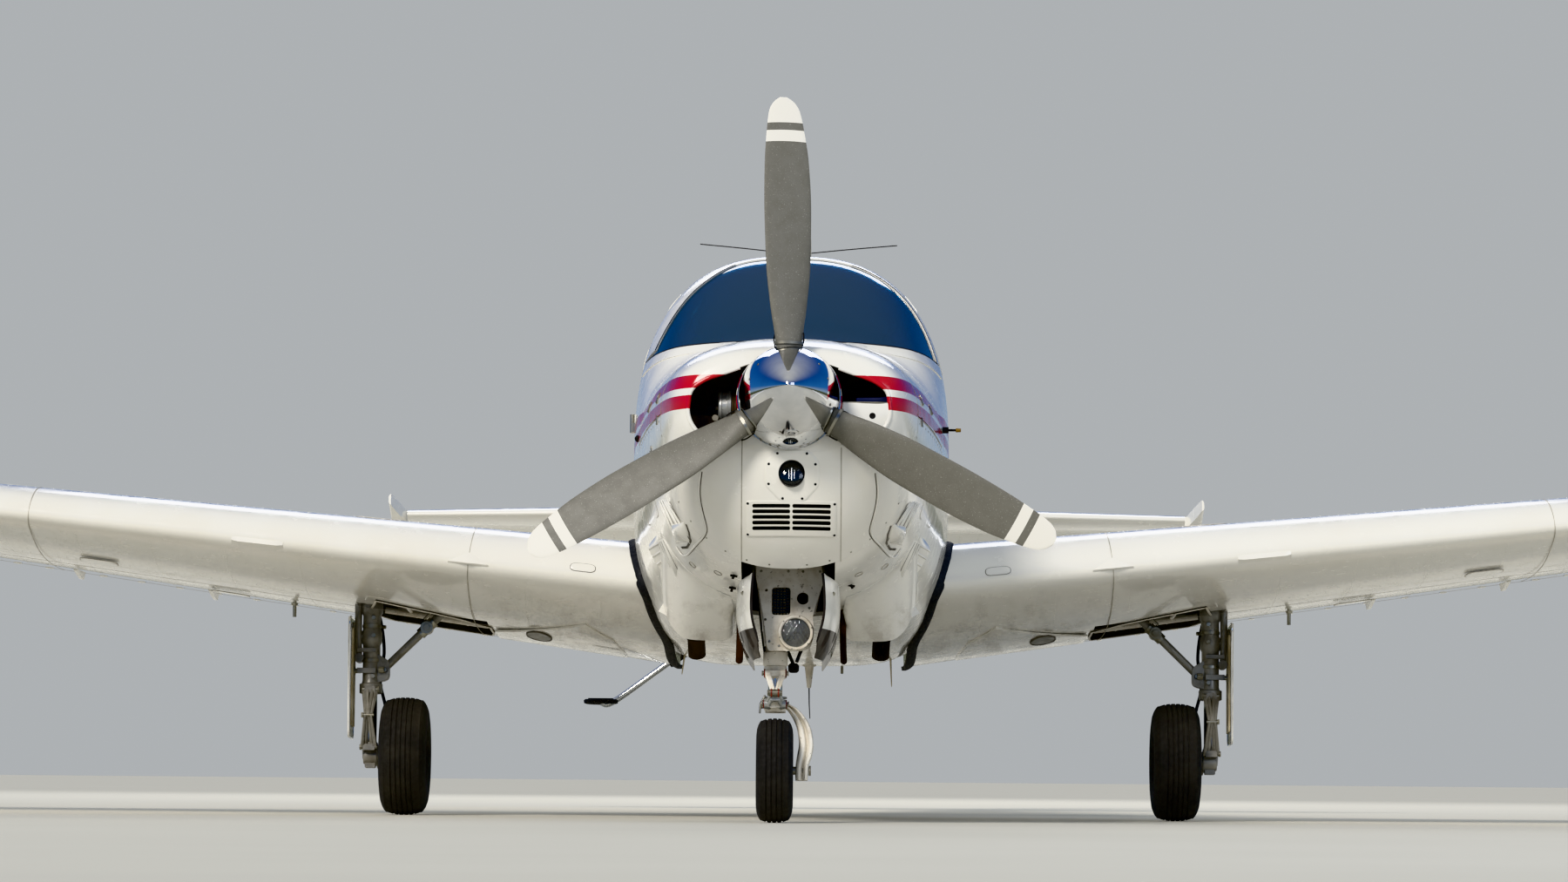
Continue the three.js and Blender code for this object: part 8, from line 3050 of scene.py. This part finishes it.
def channelled(shape, lines, depth=0.007, width=0.008):
    # sewn channels pressed into a pad along its own x positions
    v, f = np.array(shape[0], float), shape[1]
    for low, high, places in lines:
        for px in places:
            near = np.exp(-((v[:, 0] - px) / width) ** 2)
            inside = 1 / (1 + np.exp(-(v[:, 1] - low) / 0.01)) * (1 / (1 + np.exp((v[:, 1] - high) / 0.01)))
            upper = (v[:, 2] > np.median(v[:, 2])).astype(float)
            v[:, 2] -= depth * near * inside * upper
    return v, f


def addPad(name, shape, place, body="airframe", replaces=()):
    obj = addPiece(name, [(moved(shape, place), seatLeather)], body, replaces, smooth=75)
    finer = obj.modifiers.new("softened", "SUBSURF")
    finer.levels = finer.render_levels = 1
    return obj


def seatCushion(width, depth, thick, channels, crown=0.012):
    raw = padShape((-width / 2, width / 2), (-depth / 2, depth / 2), (0, thick - crown), crown)
    blown = puffed(raw)
    blown = channelled(blown, [(-depth / 2 + 0.07, depth / 2 - 0.05, channels)])
    return blown


pad = 0.012
seatSizes = {
    "front": {
        "width": 0.435, "deep": 0.36, "high": 0.5, "channels": (-0.09, 0.0, 0.09), "backThick": 0.085, "crown": 0.014
    },
    "rear": {
        "width": 0.85, "deep": 0.37, "high": 0.43, "channels": (-0.3, -0.2, -0.1, 0.1, 0.2, 0.3), "backThick": 0.08,
        "crown": 0.012
    },
}
seatPads = {}
for kind, size in seatSizes.items():
    cushion = seatCushion(size["width"] - 2 * pad, size["deep"], 0.1, size["channels"])
    seatPads[kind] = cushion, seatCushion(
        size["width"] - 2 * pad, size["high"], size["backThick"], size["channels"], size["crown"]
    )


def seatLoop(width, depth, z, corner=0.045):
    loop = rounded(rect((-width / 2, width / 2), (-depth / 2, depth / 2)), corner, 8)
    return [(a, b, z) for a, b in loop + loop[:2]]


pipingRows = []
seats = {
    "front_seat_left": (0.2625, 2.18, 0.38), "front_seat_right": (-0.2625, 2.18, 0.38), "rear_seat": (0.0, 3.06, 0.3)
}
for name, (cx, yFront, top) in seats.items():
    kind = name.split("_")[0]
    width, cushionDepth, backHigh = (seatSizes[kind][key] for key in ("width", "deep", "high"))
    cushionAt = Matrix.Translation((cx, yFront + 0.02 + cushionDepth / 2 + 0.02, -0.245))
    backAt = Matrix.Translation(
        (cx, yFront + 0.53, top - 0.01 - backHigh / 2)
    ) @ Matrix.Rotation(math.radians(90), 4, "X")
    addPad(name + "_cushion", seatPads[kind][0], cushionAt, replaces=[name])
    addPad(name + "_backrest", seatPads[kind][1], backAt)
    loop = [np.array(cushionAt) @ [*q, 1] for q in seatLoop(width - 0.045, cushionDepth - 0.02, 0.092)]
    pipingRows.append(np.array(loop)[:, :3])
    loop = [np.array(backAt) @ [*q, 1] for q in seatLoop(width - 0.045, backHigh - 0.02, 0.08)]
    pipingRows.append(np.array(loop)[:, :3])
    legs = []
    half = width / 2 - 0.06
    for dx in (-half, half):
        legs.append(box((cx + dx - 0.012, cx + dx + 0.012), (yFront + 0.06, yFront + 0.46), (-0.438, -0.425)))
        for dy in (0.1, 0.4):
            legs.append(bar((cx + dx, yFront + dy, -0.43), (cx + dx, yFront + dy + 0.02, -0.255), 0.011, sides=14))
    frameBox = prism(
        rounded(rect((cx - width / 2 + 0.02, cx + width / 2 - 0.02), (yFront + 0.04, yFront + 0.52)), 0.03, 5), "z",
        -0.262, -0.245
    )
    backShell = prism(
        rounded(
            [
                (cx - width / 2 + 0.015, -0.24), (cx + width / 2 - 0.015, -0.24), (cx + width / 2 - 0.03, top - 0.02),
                (cx - width / 2 + 0.03, top - 0.02)
            ],
            0.05, 6
        ),
        "y", yFront + 0.53, yFront + 0.538
    )
    addPiece(name + "_frame", [(merged(*legs), zincSteel), (merged(frameBox, backShell), panelPlastic)], bevel=0.002)
piping = merged(*[sweep(row, 0.0042, 8) for row in pipingRows])
addPiece("seat_piping", [(piping, creamBaffle)])
stitchNormals = [np.tile([0, -0.3, 1.0], (len(row), 1)) for row in pipingRows]
repeatAlong(
    "seat_stitches", "stitch", [(np.array(r) + [0, 0, 0.0038], n) for r, n in zip(pipingRows, stitchNormals)], 0.009,
    creamBaffle, along=True
)
print("stage: seats")

# the panel: a dark face with two rows of round dials, a radio stack, a padded shelf and two control wheels
panelSpec = {
    "y": 1.76, "z": (-0.06, 0.3), "dials": (-0.42, -0.33, -0.24, -0.15, 0.13, 0.22, 0.31, 0.4), "rows": (0.22, 0.125),
    "dial": 0.036, "radios": (0.235, 0.188, 0.141, 0.094, 0.047)
}
panelHalf = float(sideSkin(1.78, 0.1)[0]) - 0.045
panelFace = prism(
    rounded(
        [
            (-panelHalf, 0.0), (-panelHalf + 0.03, -0.055), (panelHalf - 0.03, -0.055), (panelHalf, 0.0),
            (panelHalf - 0.035, 0.295), (-panelHalf + 0.035, 0.295)
        ],
        0.03, 5
    ),
    "y", 1.772, 1.798
)
bezels, faces, needles, knobs = [], [], [], []
for xx in panelSpec["dials"]:
    for zz in panelSpec["rows"]:
        r = panelSpec["dial"]
        spot = Matrix.Translation((xx, 1.8, zz))
        bezels.append(
            moved(
                lathe(
                    [
                        (-0.004, r), (0.004, r + 0.002), (0.006, r), (0.006, r - 0.005), (0.001, r - 0.007),
                        (-0.004, r - 0.007)
                    ],
                    "y", 36
                ),
                spot
            )
        )
        faces.append(
            moved(lathe([(-0.003, 0.0), (-0.003, r - 0.007), (0.0005, r - 0.007), (0.0005, 0.0)], "y", 32), spot)
        )
        a = 0.7 + xx * 9 + zz * 21
        needles.append(
            bar((xx, 1.8012, zz), (xx + 0.024 * math.cos(a), 1.8012, zz + 0.024 * math.sin(a)), 0.0012, 0.0004, 6)
        )
        for k in range(12):
            b = k * math.pi / 6
            needles.append(
                bar(
                    (xx + 0.0235 * math.cos(b), 1.801, zz + 0.0235 * math.sin(b)),
                    (xx + 0.027 * math.cos(b), 1.801, zz + 0.027 * math.sin(b)), 0.0006, sides=4
                )
            )
stack = [
    prism(rounded(rect((-0.085, 0.075), (z0, z0 + 0.042)), 0.004, 3), "y", 1.796, 1.806)
    for z0 in panelSpec["radios"]
]
for z0 in panelSpec["radios"]:
    for dx in (-0.073, 0.063):
        knobs.append(bar((dx, 1.804, z0 + 0.02), (dx, 1.82, z0 + 0.02), 0.007, 0.006, 16))
for k, dx in enumerate((-0.04, -0.005, 0.03)):
    knobs.append(bar((dx, 1.79, -0.02), (dx, 1.85, -0.025), 0.005, sides=12))
    knobs.append(bar((dx, 1.848, -0.025), (dx, 1.868, -0.026), 0.014, 0.012, 20))
shelfRings = []
for yy in (1.525, 1.53, 1.56, 1.7, 1.8, 1.822, 1.828):
    half = float(sideSkin(max(yy, 1.5), 0.31)[0] if smoothTable(hullSections, yy)[0] > 0.34 else 0.4) - 0.05
    lift = 0.012 * math.sin(math.pi * min(1, (yy - 1.52) / 0.31))
    soft = 0.004 if yy in (1.525, 1.828) else 0
    shelfRings.append(
        [
            (
                half * math.cos(a) if abs(math.cos(a)) < 0.999 else half * math.copysign(1, math.cos(a)), yy,
                0.3 + soft + (0.014 + lift - soft) * (1 if math.sin(a) > 0 else 0) * (abs(math.sin(a)) ** 0.3)
            )
            for a in np.linspace(0, 2 * math.pi, 41)[:-1]
        ]
    )
shelf = loft(shelfRings)
wheelsPart = []
for cx in (-0.2625, 0.2625):
    wheelsPart.append(bar((cx, 1.79, 0.06), (cx, 1.93, 0.055), 0.011, sides=18))
    wheelsPart.append(
        sweep(
            smoothPath(
                [
                    (cx - 0.13, 1.94, 0.13), (cx - 0.125, 1.935, 0.06), (cx - 0.08, 1.935, 0.035), (cx, 1.935, 0.05),
                    (cx + 0.08, 1.935, 0.035), (cx + 0.125, 1.935, 0.06), (cx + 0.13, 1.94, 0.13)
                ],
                42
            ),
            0.0115, 14
        )
    )
    wheelsPart.append(prism(rounded(rect((cx - 0.045, cx + 0.045), (0.03, 0.075)), 0.015, 4), "y", 1.922, 1.95))
compass = merged(
    box((-0.03, 0.03), (1.72, 1.76), (0.33, 0.375)), bar((0, 1.74, 0.31), (0, 1.74, 0.335), 0.008, sides=12)
)
dialFace = makePlain("matt_dial_black", "#0d0e10", "#17181a", 0.5, 200, 0.0002)
dialWhite = makePlain("dial_paint_white", "#e8e6dc", "#d8d4c6", 0.5, 100, 0.0001)
addPiece(
    "instrument_panel_skin",
    [
        (panelFace, panelPlastic), (merged(*bezels), blackAlloy), (merged(*faces), dialFace),
        (merged(*needles), dialWhite), (merged(*stack), blackAlloy), (merged(*knobs), blackAlloy), (shelf, panelPlastic)
    ],
    replaces=["instrument_panel"]
)
addPiece("control_wheels", [(merged(*wheelsPart), blackAlloy)], smooth=50)
addPiece("compass", [(compass, blackAlloy)], bevel=0.004)
print("stage: cabin interior")

# rivets, screws, louvre vanes and wing fittings


def surfaceRow(makePoint, makeNormal, places):
    return [makePoint(*q) for q in places], [makeNormal(*q) for q in places]


# wing rivets: ribs across the chord and stringers along the span, on both faces
ribStations = [0.14, 0.42, 0.7, 0.98, 1.26, 1.54, 1.82, 2.1, 2.38, 2.66, 2.94, 3.22, 3.5, 3.78, 4.06]
stringers = (0.12, 0.3, 0.5, 0.66)
wingRows = []
for up in (1, -1):
    for station in [x for x in ribStations if x <= wingSpan - 0.35]:
        chordShares = np.linspace(0.05, 0.69, 22)
        wingRows.append(surfaceRow(wingPoint, wingNormal, [(station, float(s), up) for s in chordShares]))
    for share in stringers:
        spanPlaces = np.linspace(0.1, min(4.06, wingSpan - 0.4), 60)
        wingRows.append(surfaceRow(wingPoint, wingNormal, [(float(x), share, up) for x in spanPlaces]))


def clearOf(rows, test):
    # rows broken where a place fails the test
    kept = []
    for points, normals in rows:
        run = []
        for p, n in zip(points, normals):
            if test(p):
                run.append((p, n))
            else:
                if len(run) > 1:
                    kept.append(run)
                run = []
        if len(run) > 1:
            kept.append(run)
    return [([p for p, n in run], [n for p, n in run]) for run in kept]


overWell = lambda p: 0.55 + 0.56 < p[0] < 0.55 + 1.04 and p[2] < wingPoint(p[0] - 0.55, 0.5, 1)[2] - 0.1 and p[1] > 2.45
wingRows = clearOf(wingRows, lambda p: insideHull(*p) > 1.02 and not overWell(p))


def mirroredRows(rows):
    return [
        ([np.array(p) * [-1, 1, 1] for p in points], [np.array(n) * [-1, 1, 1] for n in normals])
        for points, normals in rows
    ]


for side, name in bothSides:
    repeatAlong(
        f"wing_{name}_rivets", "rivet", wingRows if side > 0 else mirroredRows(wingRows), 0.034, wingPaint, size=0.85,
        wander=0.05, seed=11 + side
    )

# fuselage rivets: frames round the tail cone and cabin sides, and the lap joints between them
frameRows = []
for yy in (4.74, 5.16, 5.58, 6.0, 6.42, 6.84, 7.2):
    ring = hullRing(yy, 0.0, 40)
    ring = np.vstack([ring, ring[:1]])
    frameRows.append((ring, normalsOf(ring)))
for yy in (1.33, 1.46):
    ring = [p for p in hullRing(yy, 0.0, 60) if p[2] < 0.33]
    for half in ([p for p in ring if p[0] > 0.01], [p for p in ring if p[0] < -0.01][::-1]):
        frameRows.append((half, normalsOf(half)))
for yy in (2.69, 3.26, 3.62, 3.98):
    for side in (-1, 1):
        line = [sideSkin(yy, zz, side) for zz in np.linspace(-0.12, 0.33, 16)]
        frameRows.append((line, normalsOf(line)))
for zz, low, high in ((0.34, 2.7, 4.0), (-0.12, 1.36, 1.95), (-0.12, 2.72, 4.0), (-0.2, 4.6, 6.4), (0.2, 4.6, 7.2)):
    for side in (-1, 1):
        line = [
            sideSkin(yy, zz if abs(zz) > 0.3 else zz * (1 if yy < 4.6 else 1 - 0.35 * (yy - 4.6) / 2.6), side)
            for yy in np.linspace(low, high, 40)
        ]
        frameRows.append((line, normalsOf(line)))
for xx in (-0.2, 0.2):
    line = [topSkin(xx, yy, 1) for yy in np.linspace(2.2, 4.6, 50)]
    frameRows.append((line, normalsOf(line)))
frameRows = clearOf(
    frameRows,
    lambda p: not (p[0] < 0 and ((1.95 < p[1] < 2.68 and p[2] < 0.68) or (4.02 < p[1] < 4.55 and abs(p[2]) < 0.3)))
)
repeatAlong("fuselage_rivets", "rivet", frameRows, 0.03, fuselagePaint, size=0.85, wander=0.05, seed=5)

# tail surfaces
tailRows = []
for station in (0.25, 0.5, 0.75, 1.0, 1.25, 1.5):
    for up in (1, -1):
        pts = [stabilizerPoint(station, float(s), up) for s in np.linspace(0.08, 0.52, 12)]
        nrm = np.array([0, 0, up]) * np.ones((len(pts), 3))
        tailRows.append((pts, nrm))
        tailRows.append(([q * [-1, 1, 1] for q in map(np.array, pts)], nrm))
for zz in (0.5, 0.72, 0.94, 1.16, 1.38):
    for side in (-1, 1):
        pts = [finPoint(zz, float(s), side) for s in np.linspace(0.1, 0.58, 12)]
        tailRows.append((pts, np.array([side, 0, 0]) * np.ones((len(pts), 3))))
repeatAlong("tail_rivets", "rivet", tailRows, 0.03, tailPaint, size=0.8, wander=0.05, seed=3)

# cowling screws sit along its joints
screwRows = []
ringPoints = [p for p in hullRing(0.315, 0.0, 60) if p[2] < 0.17]
for half in ([p for p in ringPoints if p[0] > 0.06], [p for p in ringPoints if p[0] < -0.06][::-1]):
    screwRows.append((half, normalsOf(half)))
for side in (-1, 1):
    line = [sideSkin(yy, -0.046, side) for yy in np.linspace(0.37, 1.25, 30)]
    screwRows.append((line, normalsOf(line)))
    line = [topSkin(side * 0.03, yy, 1) for yy in np.linspace(0.36, 1.24, 20)]
    screwRows.append((line, normalsOf(line)))
repeatAlong("cowl_screws", "screw", screwRows, 0.075, zincSteel, size=0.8, seed=2)
retainerRows = []
for name, line in windowLines.items():
    for side in (-1, 1):
        if name == "front" and side < 0:
            continue
        loop = grown(line, 0.0135)
        pts = [sideSkin(a, b, side) for a, b in loop + loop[:1]]
        pts = [p + skinNormal(p) * 0.0022 for p in pts]
        retainerRows.append((pts, normalsOf(pts)))
retainerRows.append((np.array(postGrid[1]), postNormals[1]))
repeatAlong("window_screws", "screw", retainerRows, 0.06, zincSteel, size=0.5, seed=4)
doorLoop = grown(windowLines["front"], 0.0135)
doorRow = [sideSkin(a, b, -1) for a, b in doorLoop + doorLoop[:1]]
repeatAlong(
    "door_window_screws", "screw", [([p + skinNormal(p) * 0.0022 for p in doorRow], normalsOf(doorRow))], 0.06,
    zincSteel, "cabin_door", size=0.5, seed=4
)

# louvre vanes on the cheeks: pressed ridges that fan out downwards, and a ribbed exit scoop below them
vanes = [
    ((-0.444, -0.293), (-0.389, -0.417)), ((-0.437, -0.293), (-0.377, -0.417)), ((-0.429, -0.296), (-0.361, -0.417)),
    ((-0.422, -0.299), (-0.349, -0.417)), ((-0.412, -0.305), (-0.334, -0.45))
]
vaneShapes, vaneShadows = [], []


def towards(a, b, t):
    return (a[0] + (b[0] - a[0]) * t, a[1] + (b[1] - a[1]) * t)


for a, b in vanes:
    line = [frontSkin(*towards(a, b, t)) for t in np.linspace(0, 1, 14)]
    normals = normalsOf(line)
    swell = [0.0015 + 0.0055 * math.sin(math.pi * t) ** 0.6 for t in np.linspace(0.02, 0.98, 14)]
    vaneShapes.append(bead(line, normals, swell, 0.15, 10))
    shade = [frontSkin(px + 0.0048, pz + 0.001) for px, pz in (towards(a, b, t) for t in np.linspace(0.06, 0.95, 12))]
    vaneShadows.append(ribbon(shade, normalsOf(shade), 0.0028, lift=0.0022))


def raisedPatch(corners, lift, rows=9, cols=9, inner=0.004):
    # a four-cornered blister in front view that swells from the skin
    (a, b, c, d) = [np.array(q, float) for q in corners]
    grid, normals = [], []
    for v in np.linspace(0, 1, rows):
        for u in np.linspace(0, 1, cols):
            q = (a * (1 - u) + b * u) * (1 - v) + (d * (1 - u) + c * u) * v
            p = frontSkin(*q)
            n = skinNormal(p)
            grid.append(p + n * lift(u, v))
            normals.append(n)
    faces = [
        (r * cols + i, r * cols + i + 1, (r + 1) * cols + i + 1, (r + 1) * cols + i)
        for r in range(rows - 1)
        for i in range(cols - 1)
    ]
    return closedSheet(np.array(grid), faces, cols, rows, np.array(normals), inner)


scoopCorners = [(-0.46, -0.391), (-0.434, -0.397), (-0.371, -0.5), (-0.399, -0.505)]
ribLift = lambda u, v: 0.001 + 0.022 * min(1, 6 * u) ** 0.5 * min(1, 6 * (1 - u)) ** 0.5 * (0.25 + 0.75 * v) * (
    1 + 0.14 * math.sin(u * math.pi * 8)
)
ribbed = raisedPatch(scoopCorners, ribLift, 12, 33)
ribShadows = []
for u in (0.188, 0.438, 0.688, 0.938):
    places = []
    for v in np.linspace(0.05, 0.97, 12):
        q = (
            np.array(scoopCorners[0]) * (1 - u) + np.array(scoopCorners[1]) * u
        ) * (1 - v) + (np.array(scoopCorners[3]) * (1 - u) + np.array(scoopCorners[2]) * u) * v
        places.append((frontSkin(*q), ribLift(u, v)))
    ribShadows.append(
        ribbon(
            [p + skinNormal(p) * lift for p, lift in places], [skinNormal(p) for p, _ in places], 0.0022, lift=0.0008
        )
    )
# black strips at the scoop's open end and in the corner gap below it are painted shade
scoopEnd = [frontSkin(*towards(scoopCorners[3], scoopCorners[2], t)) for t in np.linspace(0.1, 0.9, 6)]
scoopMouthPaintedShade = ribbon([p + skinNormal(p) * 0.008 for p in scoopEnd], normalsOf(scoopEnd), 0.012)
bulgeCorners = [(-0.402, -0.376), (-0.354, -0.388), (-0.334, -0.444), (-0.387, -0.432)]
bulge = raisedPatch(
    bulgeCorners, lambda u, v: 0.001 + 0.018 * math.sin(math.pi * u) ** 0.7 * math.sin(math.pi * v) ** 0.6, 11, 11
)
bulgeShade = [
    frontSkin(px, pz)
    for px, pz in ((-0.345, -0.395), (-0.336, -0.42), (-0.331, -0.444), (-0.345, -0.456), (-0.365, -0.45))
]
bulgeMouth = ribbon(bulgeShade, normalsOf(bulgeShade), 0.008, lift=0.002)
cornerDark = [frontSkin(px, pz) for px, pz in ((-0.427, -0.549), (-0.405, -0.544), (-0.389, -0.529))]
cornerGapPaintedShade = ribbon(cornerDark, normalsOf(cornerDark), 0.012, lift=0.003)
facet = raisedPatch(
    [(-0.414, -0.555), (-0.4, -0.555), (-0.366, -0.655), (-0.449, -0.612)], lambda u,
    v: 0.001 + 0.014 * min(1, 4 * v) * min(1, 5 * (1 - u)), 11, 11
)
addPiece(
    "cheek_louvres",
    [
        (both(merged(*vaneShapes, ribbed, bulge, facet)), wingPaint),
        (both(merged(*vaneShadows, *ribShadows, bulgeMouth)), gapShadow),
        (both(merged(scoopMouthPaintedShade, cornerGapPaintedShade)), blackFinishAndPaintedShade)
    ],
    smooth=50
)

# the wing's walkway and its stall strips
walkPatch = wingPatch(rect((0.03, 0.36), (0.16, 0.93)), 1, 0.0016)
addPiece("wing_walkway", [(onSide(walkPatch, -1), walkGrip)])
stripShapes = []


def atStation(spanX):
    # the wing station that lies at a distance from the middle of the aircraft
    low, high = 0.0, wingSpan
    for _ in range(30):
        mid = (low + high) / 2
        low, high = (mid, high) if abs(wingPoint(mid, 0.1, 1)[0]) < spanX else (low, mid)
    return low


for side, (inner, outer) in ((-1, (1.85, 2.04)), (1, (1.625, 1.82))):
    places = [atStation(v) for v in np.linspace(inner, outer, 10)]
    strip = loft(
        [
            [
                roundNose(x, -0.12, -0.002), roundNose(x, -0.085, 0.002 * k), roundNose(x, -0.06, 0.009 * k),
                roundNose(x, -0.035, 0.002 * k), roundNose(x, 0.0, -0.002)
            ]
            for x, k in zip(places, (0.1, 1, 1, 1, 1, 1, 1, 1, 1, 0.1))
        ]
    )
    stripShapes.append(onSide(strip, side))
addPiece("stall_strips", [(merged(*stripShapes), wingPaint)])
print("stage: rows and fittings")

# studio

studio = {
    "cameraAt": (0.10, -22.491, 0.171), "lens": 130.04, "yaw": 0.3525, "pitch": 3.353, "roll": 0.4755,
    "floor": "#cfccc3", "floorSecond": "#c9c6bd", "floorReach": 90, "behind": "#dfe3e6", "soft": "#dbe4ee",
    "strength": 0.62,
    # what polished and painted metal mirrors, from the ground up to overhead
    "mirrored": (
        (0.0, "#b3a88f"), (0.485, "#9d9580"), (0.497, "#6a6c5b"), (0.515, "#7c8470"), (0.525, "#b3cdea"),
        (0.57, "#4c8ad6"), (0.7, "#1f5fb8"), (1.0, "#0e3c8c")
    ),
}
bpy.context.scene.view_settings.view_transform = "Khronos PBR Neutral"
bpy.context.scene.view_settings.exposure = 0.0
cameraData = bpy.data.cameras.new("camera")
cameraData.sensor_width, cameraData.lens = 36, studio["lens"]
cameraData.clip_end = 400
camera = bpy.data.objects.new("camera", cameraData)
bpy.context.scene.collection.objects.link(camera)
turn = Matrix.Rotation(math.radians(studio["yaw"]), 4, "Z") @ Matrix.Rotation(
    math.radians(90 + studio["pitch"]), 4, "X"
)
camera.matrix_world = Matrix.Translation(studio["cameraAt"]) @ turn @ Matrix.Rotation(
    math.radians(studio["roll"]), 4, "Z"
)
bpy.context.scene.camera = camera

floorMesh = bpy.data.meshes.new("floor")
reach = studio["floorReach"]
floorMesh.from_pydata([(a, b, 0) for a, b in rect((-reach, reach), (-reach, reach))], [], [(0, 1, 2, 3)])
floor = bpy.data.objects.new("floor", floorMesh)
floorMaterial, tree, shader, place = newMaterial("pale_studio_floor", Roughness=0.95)
mottle = noise(tree, place, 0.6, 4)
tree.links.new(
    blendColors(tree, mottle, linear(studio["floor"]), linear(studio["floorSecond"])), shader.inputs["Base Color"]
)
shader.inputs["Specular IOR Level"].default_value = 0.1
floorMesh.materials.append(floorMaterial)
bpy.context.scene.collection.objects.link(floor)

world = bpy.data.worlds.new("studio")
world.use_nodes = True
bpy.context.scene.world = world
tree = world.node_tree
background = tree.nodes["Background"]
direction = addNode(tree, "SeparateXYZ", {0: addNode(tree, "TexCoord").outputs["Generated"]}).outputs["Z"]
ramp = addNode(tree, "ValToRGB", {0: between(tree, direction, -1, 1, 0, 1, False)})
for place, color in studio["mirrored"]:
    stop = ramp.color_ramp.elements.new(place)
    stop.color = linear(color)
ramp.color_ramp.elements.remove(ramp.color_ramp.elements[0])
ramp.color_ramp.elements.remove(ramp.color_ramp.elements[len(ramp.color_ramp.elements) - 1])
path = addNode(tree, "LightPath").outputs
shown = blendColors(tree, path["Is Glossy Ray"], linear(studio["soft"]), ramp.outputs[0])
tree.links.new(blendColors(tree, path["Is Camera Ray"], shown, linear(studio["behind"])), background.inputs["Color"])
background.inputs["Strength"].default_value = studio["strength"]


def addLight(name, place, aim, size, power, color="#ffffff"):
    data = bpy.data.lights.new(name, "AREA")
    data.shape, data.size, data.size_y = "RECTANGLE", *size
    data.energy, data.color = power, linear(color)[:3]
    light = bpy.data.objects.new(name, data)
    bpy.context.scene.collection.objects.link(light)
    light.location = place
    light.rotation_euler = (Vector(aim) - Vector(place)).to_track_quat("-Z", "Y").to_euler()


sunData = bpy.data.lights.new("key", "SUN")
sunData.energy, sunData.angle, sunData.color = 2.7, math.radians(14), linear("#fff9f0")[:3]
sun = bpy.data.objects.new("key", sunData)
bpy.context.scene.collection.objects.link(sun)
sun.rotation_euler = Vector((8, 15, -11)).to_track_quat("-Z", "Y").to_euler()
addLight("fill", (9, -12, 5), (0, -1, 1), (7, 5), 300, "#eaf2ff")
addLight("back", (0, 14, 9), (0, 1, 1), (9, 4), 600)
print("stage: studio")

bpy.context.view_layer.update()
